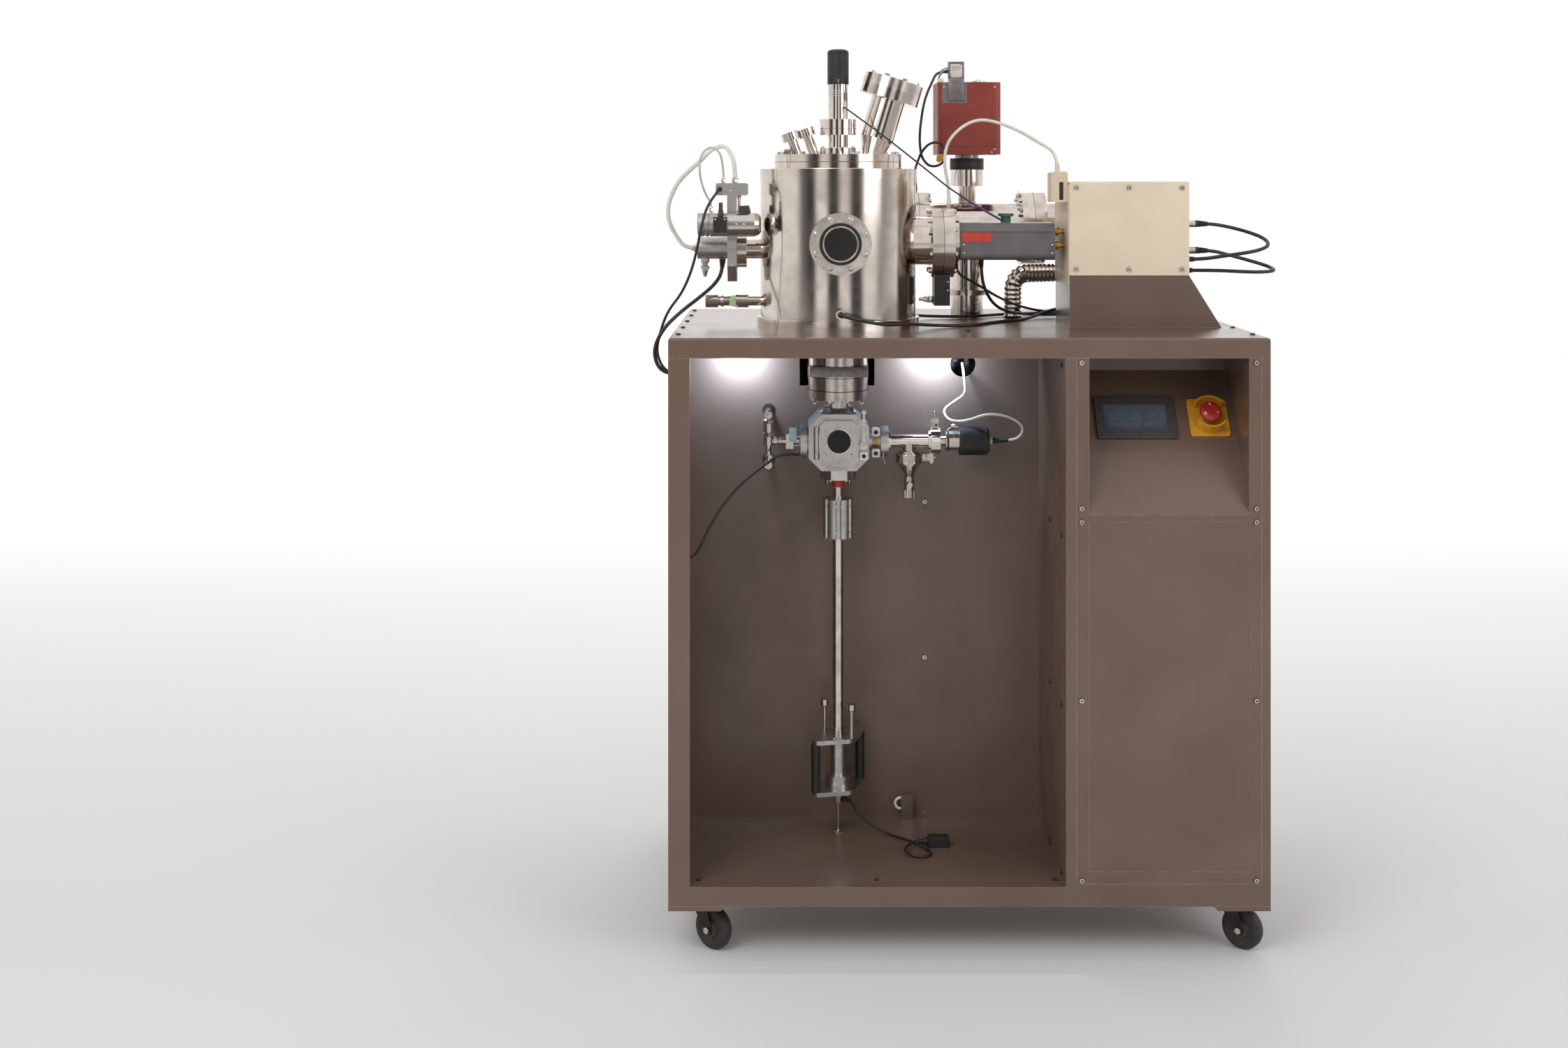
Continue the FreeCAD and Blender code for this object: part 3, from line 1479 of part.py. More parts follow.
def manifold():
    y, z = manifold_y, above_table(size.manifold_rise)
    radius = size.manifold_radius
    bend = size.manifold_bend
    centre_x = size.chamber_x + bend
    elbow = doc.addObject("Part::Torus", "manifold_elbow")
    set_sizes(elbow, Radius1=bend, Radius2=radius)
    elbow.Angle3 = 90.0
    put(elbow, (centre_x, y - bend, z), Rotation(Z_AXIS, 90))
    run = cylinder("manifold_run", (centre_x, y, z), radius, size.manifold_end_x - centre_x, RIGHT)
    pieces = [elbow, run]
    flanges = (
        ("a", size.manifold_flange_a, size.manifold_flange_a_thick),
        ("b", size.manifold_flange_b, size.manifold_flange_b_thick),
    )
    for word, x, thick in flanges:
        seam = turned(
            f"manifold_flange_{word}",
            stack(
                [
                    (0, 0.0),
                    (size.manifold_flange_radius, thick / 2 - 0.6),
                    (size.manifold_flange_radius - 2, thick / 2 + 0.6),
                    (size.manifold_flange_radius, thick),
                ]
            ),
            (x, y, z),
            RIGHT,
        )
        pieces.append(seam)
    low = below_table(size.pump_top_drop) - z
    ring = above_table(size.pump_pipe_flange_rise) - z
    riser = turned(
        "manifold_riser",
        stack(
            [
                (0, low),
                (size.pump_pipe_radius, ring),
                (size.pump_pipe_flange_radius, ring + size.pump_pipe_flange_thick),
                (size.pump_pipe_radius, 0.0),
                (size.gauge_port_radius, above_table(size.gauge_flange_rise) - z),
                (
                    size.gauge_flange_radius,
                    above_table(size.gauge_flange_rise) + size.gauge_flange_thick - z,
                ),
            ]
        ),
        (size.pump_x, y, z),
    )
    pieces.append(riser)
    branch = cylinder(
        "foreline_branch",
        (size.bellows_start_x, y, above_table(size.bellows_rise) + size.bellows_bend + 4),
        size.bellows_radius + size.bellows_cuff,
        above_table(size.manifold_rise) - above_table(size.bellows_rise) - size.bellows_bend - 4,
    )
    pieces.append(branch)
    fuse("pump_manifold", pieces)

    top = below_table(size.pump_top_drop)
    turned(
        "turbo_pump",
        stack(
            [
                (0, -size.pump_flange_thick - size.pump_tall),
                (size.pump_radius - 8, -size.pump_flange_thick - size.pump_tall + 20),
                (size.pump_radius, -size.pump_flange_thick - 24),
                (size.pump_flange_radius - 8, -size.pump_flange_thick),
                (size.pump_flange_radius, 0.0),
            ]
        ),
        (size.pump_x, y, top),
    )

    collar_bottom = above_table(size.gauge_flange_rise) + size.gauge_flange_thick
    rise = above_table(size.gauge_box_rise) - collar_bottom
    collar = turned(
        "gauge_collar",
        stack([(0, 0.0), (size.collar_radius, size.collar_tall), (size.gauge_neck_radius, rise)]),
        (size.pump_x, y, collar_bottom),
    )
    wide = size.gauge_box_wide / 2
    crate = body("gauge_box", (size.pump_x - 1, y, above_table(size.gauge_box_rise)))
    block = pad(crate, rectangles(crate, [(-wide, -wide, wide, wide)]), size.gauge_box_tall)
    rounded(crate, block, size.gauge_box_round, lambda e: along(e, 0, 0, 1))
    clip_x = size.pump_x - 28 - size.gauge_clip_wide / 2
    clip_y = y - wide - size.gauge_clip_thick
    clip_top = above_table(size.gauge_clip_rise) + size.gauge_clip_tall
    clip = fuse(
        "gauge_clip",
        [
            box(
                "clip_strip",
                (clip_x, clip_y, above_table(size.gauge_clip_rise)),
                size.gauge_clip_wide,
                size.gauge_clip_thick,
                size.gauge_clip_tall,
            ),
            box(
                "clip_plug",
                (clip_x, clip_y, clip_top),
                size.gauge_clip_wide,
                size.gauge_plug_deep,
                size.gauge_plug_tall,
            ),
        ],
    )
    together("gauge_head", [collar, crate, clip])

    start = Vector(size.bellows_start_x, y, above_table(size.bellows_rise) + size.bellows_bend + 4)
    corner_a = Vector(size.bellows_start_x, y, above_table(size.bellows_rise))
    drop_y = y - size.bellows_forward
    corner_b = Vector(size.bellows_drop_x, drop_y, above_table(size.bellows_rise))
    end = Vector(size.bellows_drop_x, drop_y, below_table(size.pump_top_drop))
    points = [start, corner_a, corner_b, end]
    path, _ = route(points, size.bellows_bend)
    places = path.discretize(Number=2 * int(path.Length / size.bellows_pitch) + 1)
    ways = [after - before for before, after in zip(places, places[2:])]
    ways = [corner_a - start, *ways, end - corner_b]
    side = (corner_b - corner_a).cross(Z_AXIS).normalize()
    valley = float(size.bellows_radius - size.bellows_rib_tall)
    rings = []
    for number, (at, way) in enumerate(zip(places, ways)):
        ring = Part.makeCircle(float(size.bellows_radius) if number % 2 else valley)
        way.normalize()
        ring.Placement = Placement(at, Rotation(side, way.cross(side), way, "XZY"))
        rings.append(Part.Wire(ring))
    shaped("foreline_bellows", [Part.makeLoft(rings, True, True)])


def route(points, bend=None):
    """Straight runs joined by tangent arcs as one line, and the radius of each arc."""
    edges, radii = [], []
    last = points[0]
    for before, corner, after in zip(points, points[1:], points[2:]):
        back_way = (before - corner).normalize()
        on_way = (after - corner).normalize()
        half = (math.pi - back_way.getAngle(on_way)) / 2
        shorter = min(before.distanceToPoint(corner), corner.distanceToPoint(after))
        trim = bend * math.tan(half) if bend else 0.45 * shorter
        radii.append(trim / math.tan(half))
        start, end = corner + back_way * trim, corner + on_way * trim
        middle_way = (back_way + on_way).normalize()
        middle = corner + middle_way * (radii[-1] / math.cos(half) - radii[-1])
        if last.distanceToPoint(start) > 1e-6:
            edges.append(Part.LineSegment(last, start).toShape())
        edges.append(Part.Arc(start, middle, end).toShape())
        last = end
    edges.append(Part.LineSegment(last, points[-1]).toShape())
    return Part.Wire(edges), radii


def hose(points, diameter, bend=None):
    """A tube along a route, and the radius of each of its arcs."""
    path, radii = route(points, bend)
    section = Part.Wire([Part.makeCircle(diameter / 2, points[0], points[1] - points[0])])
    tube = path.makePipeShell([section], True, False)
    expected = math.pi * diameter**2 / 4 * path.Length
    if abs(tube.Volume - expected) > 0.01 * expected:
        raise ValueError(f"hose volume {tube.Volume:.0f} instead of {expected:.0f}")
    return tube, radii


def inlet_valve():
    left = size.chamber_x - size.left_neck_out - size.left_flange_thick
    plate_left = left - size.valve_plate_thick
    wide = size.valve_plate_wide / 2
    bottom, top = above_table(size.valve_plate_bottom_rise), above_table(size.valve_plate_top_rise)
    plate = body("valve_plate", (plate_left, chamber_y, 0))
    section = [
        (-wide * 0.45, bottom),
        (wide * 0.45, bottom),
        (wide, bottom + 30),
        (wide, top - 10),
        (wide - 10, top),
        (10 - wide, top),
        (-wide, top - 10),
        (-wide, bottom + 30),
    ]
    pad(plate, outline(plate, section, "YZ_Plane"), size.valve_plate_thick)
    z = above_table(size.valve_body_rise)
    barrel = cylinder(
        "valve_barrel", (plate_left, chamber_y, z), size.valve_body_radius, size.valve_body_long, LEFT
    )
    drop_x = plate_left - size.valve_drop_out
    drop_low = above_table(size.valve_drop_rise)
    radius = size.valve_drop_radius
    drop_section = [
        (0, 0),
        (radius * 0.3, 0),
        (radius * 0.75, 12),
        (radius * 0.75, 15),
        (radius, 15),
        (radius, 21),
        (radius * 0.7, 23),
        (radius * 0.7, 26),
        (radius, 28),
        (radius, z - drop_low),
        (0, z - drop_low),
    ]
    drop = turned("valve_drop", drop_section, (drop_x, chamber_y, drop_low))
    valve = fuse("angle_valve", [plate, barrel, drop])
    y = chamber_y - size.actuator_forward
    post_x = size.actuator_post_x - size.actuator_post_wide / 2
    long = size.actuator_right - size.actuator_left
    radius = size.actuator_radius
    groove = radius - size.drum_groove
    drum_section = [
        (0, 0),
        (radius - 2, 0),
        (radius, 2),
        (radius, 11),
        (groove, 12.5),
        (groove, 14.5),
        (radius, 16),
        (radius, 20),
        (groove, 21.5),
        (groove, 23.5),
        (radius, 25),
        (radius, long - 12),
        (radius * 0.85, long - 4),
        (radius * 0.6, long),
        (0, long),
    ]
    drum_at = (size.actuator_left, y, above_table(size.actuator_rise))
    drum = turned("actuator_drum", drum_section, drum_at, RIGHT)
    # The web carries the drum on the valve's plate
    web_bottom = top - 20
    web = box(
        "actuator_web",
        (plate_left, chamber_y - wide - 12, web_bottom),
        size.valve_plate_thick,
        12,
        above_table(size.actuator_rise) - web_bottom,
    )
    post = box(
        "actuator_post",
        (post_x, y - size.actuator_post_wide / 2, above_table(size.actuator_rise)),
        size.actuator_post_wide,
        size.actuator_post_wide,
        above_table(size.actuator_post_rise) - above_table(size.actuator_rise),
    )
    bar_at = (
        size.actuator_post_x - size.actuator_bar_wide / 2,
        y - size.actuator_post_wide / 2,
        above_table(size.actuator_post_rise),
    )
    bar = body("actuator_bar", bar_at)
    flat = rectangles(bar, [(0, 0, size.actuator_bar_wide, size.actuator_post_wide)])
    solid_bar = pad(bar, flat, size.actuator_bar_tall)
    rounded(bar, solid_bar, size.actuator_bar_round, lambda e: along(e, 0, 1, 0))
    actuator = fuse("actuator", [drum, web, post, bar])
    switch = box(
        "limit_switch",
        (
            size.actuator_post_x - size.switch_wide - 8,
            y - size.actuator_radius - size.switch_deep,
            above_table(size.actuator_rise) - size.switch_tall / 2,
        ),
        size.switch_wide,
        size.switch_deep,
        size.switch_tall,
    )
    together("inlet_valve", [valve, actuator, switch])


lock_top_flange = (
    size.table_height - size.lock_neck_drop - size.flange_thick - 4
)  # underside of the chamber's lower flange
gate_bottom = lock_top_flange - size.gate_thick
lock_flange_top = gate_bottom - size.flange_thick - 2
lock_front = chamber_y - size.lock_deep / 2
door_middle = (below_table(size.lock_top_drop) + below_table(size.lock_bottom_drop)) / 2


def load_lock():
    x, y = size.chamber_x, chamber_y
    gate = body("gate_valve", (x, y, gate_bottom))
    wide = size.gate_radius
    pad(gate, rectangles(gate, [(-wide, 0, wide, size.gate_back)]), size.gate_thick)
    pad(gate, circles(gate, [(0, 0, wide)]), size.gate_thick)
    lower = circles(gate, [(0, 0, size.flange_radius)])
    pad(gate, lower, size.flange_thick + 2, back=True)
    drum = circles(
        gate,
        [(0, size.gate_thick / 2, size.gate_cylinder_radius)],
        "XZ_Plane",
        lift=-size.gate_back,
    )
    pad(gate, drum, size.gate_cylinder_long, back=True)
    through(gate, circles(gate, [(0, 0, size.neck_bore)]))

    bottom, top = below_table(size.lock_bottom_drop), below_table(size.lock_top_drop)
    half = size.lock_wide / 2
    bevel = size.lock_chamfer
    block = body("lock_block", (x, lock_front, 0))
    section = [
        (bevel - half, bottom),
        (half - bevel, bottom),
        (half, bottom + bevel),
        (half, top - bevel),
        (half - bevel, top),
        (bevel - half, top),
        (-half, top - bevel),
        (-half, bottom + bevel),
    ]
    pad(block, outline(block, section, "XZ_Plane"), size.lock_deep, back=True)
    flange_low = lock_flange_top - size.flange_thick
    neck = turned(
        "lock_neck_tube",
        [
            (0, top),
            (size.lock_neck_radius + 8, top),
            (size.lock_neck_radius, top + 8),
            (size.lock_neck_radius, flange_low),
            (size.flange_radius, flange_low),
            (size.flange_radius, lock_flange_top),
            (0, lock_flange_top),
        ],
        (x, y, 0),
    )
    z = below_table(size.lock_port_drop)
    left_long = size.lock_side_neck_long
    left = turned(
        "lock_left_port",
        stack(
            [
                (0, half - PAST),
                (size.lock_side_neck, half + left_long - size.lock_left_thick + 3),
                (size.lock_left_radius, half + left_long + 3),
            ]
        ),
        (x, y, z),
        LEFT,
    )
    right = turned(
        "lock_right_port",
        stack(
            [
                (0, half - PAST),
                (size.lock_right_neck_radius, half + size.lock_side_neck_long * 2),
                (
                    size.lock_right_radius,
                    half + size.lock_side_neck_long * 2 + size.lock_right_thick,
                ),
            ]
        ),
        (x, y, z),
        RIGHT,
    )
    hinge_x = x - size.door_wide / 2 - size.knuckle_gap
    hinge_y = lock_front - size.knuckle_radius - 1
    lugs = []
    for word, low in (
        ("low", door_middle - size.knuckle_long / 2 - size.door_gap - size.lug_long),
        ("high", door_middle + size.knuckle_long / 2 + size.door_gap),
    ):
        lugs.append(
            cylinder(f"lug_{word}", (hinge_x, hinge_y, low), size.knuckle_radius, size.lug_long)
        )
        lugs.append(
            box(
                f"lug_root_{word}",
                (hinge_x - size.knuckle_radius, hinge_y, low),
                size.knuckle_radius * 2,
                size.knuckle_radius + 1 + PAST,
                size.lug_long,
            )
        )
    pin_long = size.knuckle_long + (size.door_gap + size.lug_long) * 2
    pin = cylinder(
        "hinge_pin",
        (hinge_x, hinge_y, door_middle - pin_long / 2),
        size.hinge_pin_radius,
        pin_long,
    )
    lever_x = x + size.lever_x
    lever_long = size.lever_thick + size.door_gap * 2 + 2
    lever_pin = cylinder(
        "lever_pin",
        (lever_x, lock_front + PAST, z),
        size.lever_pin_radius,
        lever_long + PAST,
        TOWARD,
    )
    outer = fuse("lock_outer", [block, left, right, *lugs, pin, lever_pin])
    cavity = box(
        "lock_cavity",
        (x - size.cavity_wide / 2, lock_front, below_table(size.cavity_bottom_drop)),
        size.cavity_wide,
        size.cavity_deep,
        below_table(size.cavity_top_drop) - below_table(size.cavity_bottom_drop),
    )
    shaft = cylinder("lock_shaft", (x, y, bottom), size.lock_bore, top - bottom)
    neck_shaft = cylinder("neck_shaft", (x, y, top), size.lock_bore, lock_flange_top - top)
    cut("lock_neck", neck, [neck_shaft])
    side = cylinder(
        "lock_side_bore", (x, y, z), size.lock_right_neck_radius - 4, half + 60, RIGHT
    )
    cut("load_lock_body", outer, [cavity, shaft, side])

    wide, tall = size.door_wide / 2, size.door_tall / 2
    bevel = size.door_corner
    door = body("load_lock_door", (x, lock_front - size.door_gap, door_middle))
    section = [
        (bevel - wide, -tall),
        (wide - bevel, -tall),
        (wide, bevel - tall),
        (wide, tall - bevel),
        (wide - bevel, tall),
        (bevel - wide, tall),
        (-wide, tall - bevel),
        (-wide, bevel - tall),
    ]
    pad(door, outline(door, section, "XZ_Plane"), size.door_thick)
    rim = circles(door, [(0, 4.0, size.door_window_radius + size.door_rim)], "XZ_Plane")
    pad(door, rim, size.door_thick + 1.5)
    knuckle_x = -wide - size.knuckle_gap
    knuckle_y = -size.knuckle_radius - 1 + size.door_gap
    knuckle = circles(
        door, [(knuckle_x, knuckle_y, size.knuckle_radius)], lift=-size.knuckle_long / 2
    )
    pad(door, knuckle, size.knuckle_long)
    web = (knuckle_x, knuckle_y - 2, PAST - wide, knuckle_y + 2)
    pad(door, rectangles(door, [web], lift=-size.knuckle_long / 2), size.knuckle_long)
    bore = circles(
        door,
        [(knuckle_x, knuckle_y, size.hinge_pin_radius + size.turning_gap)],
        lift=-size.knuckle_long / 2,
    )
    pocket(door, bore, size.knuckle_long, back=True)
    through(door, circles(door, [(0, 4.0, size.door_window_radius)], "XZ_Plane"))
    disc(
        "door_window",
        size.door_window_radius - 0.2,
        5.0,
        (x, lock_front - size.door_gap - 2, door_middle + 4),
        TOWARD,
    )

    lever = body("door_lever", (lever_x, lock_front - size.door_gap, z))
    thick = size.lever_thick
    pad(lever, circles(lever, [(0, 0, size.lever_hub_radius)], "XZ_Plane"), thick)
    arm = size.lever_arm_wide / 2
    pad(lever, rectangles(lever, [(-arm, 0, arm, size.lever_arm_long)], "XZ_Plane"), thick - 1)
    grip = circles(
        lever, [(0, -thick / 2, size.lever_grip_radius)], lift=size.lever_arm_long - 2
    )
    pad(lever, grip, size.lever_grip_long)
    lever_bore = circles(lever, [(0, 0, size.lever_pin_radius + size.turning_gap)], "XZ_Plane")
    through(lever, lever_bore)

    # Gas line: out of the left port, up and down a column, and back through the wall
    port_x = x - half - left_long - 3
    gas = [
        cylinder(
            "gas_run",
            (port_x, y, z),
            size.gas_tube_radius,
            port_x - size.gas_column_x,
            LEFT,
        ),
        cylinder(
            "gas_column",
            (size.gas_column_x, y, below_table(size.gas_hole_low_drop)),
            size.gas_tube_radius,
            below_table(size.gas_hole_high_drop) - below_table(size.gas_hole_low_drop),
        ),
        box(
            "gas_block",
            (
                size.gas_block_x - size.gas_block_wide / 2,
                y - size.gas_block_deep / 2,
                z - size.gas_block_tall / 2,
            ),
            size.gas_block_wide,
            size.gas_block_deep,
            size.gas_block_tall,
        ),
    ]
    low, high = below_table(size.gas_hole_low_drop), below_table(size.gas_hole_high_drop)
    for word, height in (("low", low), ("high", high)):
        gas.append(
            cylinder(
                f"gas_exit_{word}",
                (size.gas_column_x, y - size.gas_tube_radius - 2, height),
                size.gas_tube_radius + 1.5,
                bay_back + size.sheet_thick + 20 - y,
                AWAY,
            )
        )
    for word, at in (("mid", z), ("upper", z + 26)):
        gas.append(
            cylinder(
                f"gas_nut_{word}",
                (size.gas_column_x, y, at - 8),
                size.gas_tube_radius + 4,
                16,
            )
        )
    fuse("gas_line", gas)

    tee_x = x + half + size.lock_side_neck_long * 2 + size.lock_right_thick
    ring = size.tee_flange_radius
    rim = size.tee_flange_thick
    tee_run = turned(
        "tee_run",
        stack(
            [
                (0, 0.0),
                (ring, rim),
                (size.tee_radius, size.tee_long - rim),
                (ring, size.tee_long),
            ]
        ),
        (tee_x, y, z),
        RIGHT,
    )
    leg_x = tee_x + size.tee_long / 2
    tee_leg = turned(
        "tee_leg",
        stack([(0, 0.0), (size.tee_radius, size.tee_drop), (ring, size.tee_drop + rim)]),
        (leg_x, y, z),
        DOWN,
    )
    tee = fuse("tee", [tee_run, tee_leg])
    clamp_low = z - size.tee_drop - rim - size.clamp_thick
    clamp_x = tee_x + size.tee_long

    def clamp(word, at, turn, wing_at, wing_size):
        ring_body = disc(f"clamp_{word}", size.clamp_radius, size.clamp_thick, at, turn)
        wing = box(f"clamp_wing_{word}", wing_at, *wing_size)
        return fuse(f"clamp_with_wing_{word}", [ring_body, wing])

    low_clamp = clamp(
        "low",
        (leg_x, y, clamp_low),
        NO_TURN,
        (leg_x + size.clamp_radius - 3, y - size.wing_thick / 2, clamp_low + 3),
        (size.wing_long, size.wing_thick, size.wing_wide),
    )
    side_clamp = clamp(
        "side",
        (clamp_x, y, z),
        RIGHT,
        (clamp_x + 3, y - size.wing_thick / 2, z + size.clamp_radius - 3),
        (size.wing_wide, size.wing_thick, size.wing_long),
    )
    together("pump_tee", [tee, low_clamp, side_clamp])

    gauge_x = clamp_x + size.clamp_thick
    neck_long = size.gauge_neck_long
    cap_end = neck_long + size.gauge_cap_long
    turned(
        "vacuum_gauge",
        stack(
            [
                (0, 0.0),
                (size.gauge_tube_radius, size.gauge_tube_long),
                (size.gauge_body_radius, neck_long),
                (size.gauge_cap_radius, cap_end - 4),
                (size.gauge_cap_radius - 4, cap_end),
                (7.5, cap_end + size.gauge_connector / 2),
                (5.5, cap_end + size.gauge_connector),
            ]
        ),
        (gauge_x, y, z),
        RIGHT,
    )
    cone = size.vent_cone_tall
    body_end = cone + size.vent_body_tall
    vent = turned(
        "vent_stem",
        [
            (0, 0),
            (ring, 0),
            (ring, 4),
            (size.vent_tip_radius, cone),
            (size.vent_body_radius, cone),
            (size.vent_body_radius, body_end),
            (size.vent_spigot_radius, body_end),
            (size.vent_spigot_radius, body_end + size.vent_spigot_long),
            (0, body_end + size.vent_spigot_long),
        ],
        (leg_x, y, clamp_low),
        DOWN,
    )
    outlet = cylinder(
        "vent_outlet",
        (leg_x, y, clamp_low - cone - size.vent_body_tall / 2),
        size.vent_outlet_radius,
        size.vent_outlet_long,
        TOWARD,
    )
    fuse("vent_valve", [vent, outlet])
    gap = size.turning_gap
    bore = size.vent_spigot_radius + gap
    deep = size.vent_spigot_long + gap
    knob = turned(
        "vent_knob",
        [
            (bore, 0),
            (size.vent_knob_radius, 0),
            (size.vent_knob_radius, size.vent_knob_tall),
            (0, size.vent_knob_tall),
            (0, deep),
            (bore, deep),
        ],
        (leg_x, y, clamp_low - body_end - gap),
        DOWN,
    )
    scallop = circles(knob, [(size.vent_knob_radius + 1.5, 0, 3.0)])
    around(knob, pocket(knob, scallop, size.vent_knob_tall, back=True), size.flange_bolts)


def transfer_line():
    x, y = size.chamber_x, chamber_y
    top = below_table(size.lock_bottom_drop)
    collar_top = top - size.line_flange_thick
    collar_bottom = collar_top - size.line_collar_tall
    bore = size.line_bore
    end = size.polished_bottom
    tube = turned(
        "line_tube",
        [
            (0, end),
            (size.polished_radius, end),
            (size.polished_radius, below_table(size.coupler_bottom_drop)),
            (size.line_tube_radius, below_table(size.coupler_bottom_drop)),
            (size.line_tube_radius, collar_bottom),
            (size.line_collar_radius, collar_bottom),
            (size.line_collar_radius, collar_top),
            (size.line_flange_radius, collar_top),
            (size.line_flange_radius, top),
            (bore, top),
            (bore, end + size.end_wall),
            (0, end + size.end_wall),
        ],
        (x, y, 0),
    )
    foot = turned(
        "line_foot",
        stack(
            [
                (0, tray_top),
                (size.foot_radius, tray_top + size.foot_tall),
                (size.foot_rod_radius, end - size.end_nut_tall),
                (size.end_nut_radius, end),
            ]
        ),
        (x, y, 0),
    )
    together("transfer_tube", [tube, foot])

    tall = below_table(size.coupler_top_drop) - below_table(size.coupler_bottom_drop)
    coupler = body("tube_coupler", (x, y, below_table(size.coupler_bottom_drop)))
    ring = circles(coupler, [(0, 0, size.coupler_radius)])
    pad(coupler, ring, tall)
    lobe = circles(coupler, [(size.coupler_radius + 4, 0, size.coupler_lobe_radius)])
    around(coupler, pocket(coupler, lobe, tall, back=True), size.coupler_lobes)
    shaft = circles(coupler, [(0, 0, size.line_tube_radius)])
    pocket(coupler, shaft, tall, back=True)

    low = size.lower_plate_bottom
    inner = size.polished_radius + size.slide_gap
    half_long, half_wide = size.plate_half_long, size.plate_half_wide

    def plate(label, height):
        made = body(label, (x, y, height))
        lean(made, Z_AXIS, size.carriage_turn)
        diamond = [(-half_long, 0), (0, -half_wide), (half_long, 0), (0, half_wide)]
        slab = pad(made, outline(made, diamond), size.plate_thick)
        ends = rounded(
            made,
            slab,
            size.plate_corner,
            lambda e: along(e, 0, 0, 1) and same(abs(e.BoundBox.XMax), half_long),
        )
        rounded(
            made,
            ends,
            size.plate_side_round,
            lambda e: along(e, 0, 0, 1) and same(abs(e.BoundBox.YMax), half_wide),
        )
        return made

    lower = plate("lower_plate", low)
    upper = plate("upper_plate", size.upper_plate_bottom)
    hub = cylinder("hub_ring", (x, y, low), size.hub_ring_radius, size.plate_thick + size.hub_ring_tall)
    sleeve = cylinder(
        "sleeve", (x, y, low), size.sleeve_radius, size.upper_plate_bottom - low + size.plate_thick
    )
    posts = []
    grips = []
    turn_cos, turn_sin = cosine(size.carriage_turn), sine(size.carriage_turn)
    plate_top = size.upper_plate_bottom + size.plate_thick

    def off_axis(forward, sideways, height):
        return (
            x + forward * turn_cos - sideways * turn_sin,
            y + forward * turn_sin + sideways * turn_cos,
            height,
        )

    for word, side in (("near", -1), ("far", 1)):
        post_at = off_axis(side * -size.post_offset_along, side * size.post_offset_across, plate_top)
        posts.append(cylinder(f"post_{word}", post_at, size.post_radius, size.post_tall))
        grip_at = off_axis(side * size.grip_offset, 0, low + size.plate_thick)
        grip_tall = size.upper_plate_bottom - low - size.plate_thick
        grips.append(cylinder(f"grip_{word}", grip_at, size.grip_radius, grip_tall))
        roller_at = (post_at[0], post_at[1], plate_top + size.post_tall)
        grips.append(cylinder(f"roller_{word}", roller_at, size.roller_radius, size.roller_tall))
    solid = fuse("carriage_solid", [lower, upper, hub, sleeve, *posts])
    tool = cylinder(
        "carriage_bore", (x, y, low - PAST), inner, plate_top - low + PAST * 2
    )
    cut("carriage", solid, [tool])
    together("carriage_grips", grips)

    magnet_top = size.magnet_bottom + size.magnet_tall
    turned(
        "transfer_rod",
        stack(
            [
                (0, size.magnet_bottom),
                (size.magnet_radius, magnet_top),
                (size.rod_radius, below_table(size.rod_top_drop)),
                (size.cup_radius, below_table(size.rod_top_drop) + size.cup_tall),
            ]
        ),
        (x, y, 0),
    )


def prism(sides, radius, tall):
    """A low prism that stands for the head of a bolt or a screw."""
    ring = [
        Vector(
            radius * math.cos(2 * math.pi * i / sides),
            radius * math.sin(2 * math.pi * i / sides),
            0,
        )
        for i in range(sides + 1)
    ]
    return Part.Face(Part.makePolygon(ring)).extrude(Vector(0, 0, tall))


def bolt_ring(place, pitch, count, radius, tall, start=0.0):
    """Hexagon heads on a circle around an axis, seated on the face at its foot."""
    heads = []
    for i in range(int(count)):
        turn = Rotation(Z_AXIS, start + 360.0 * i / int(count))
        head = prism(6, radius, tall)
        head.Placement = place.multiply(Placement(Vector(), turn)).multiply(
            Placement(Vector(pitch, 0, 0), NO_TURN)
        )
        heads.append(head)
    return heads


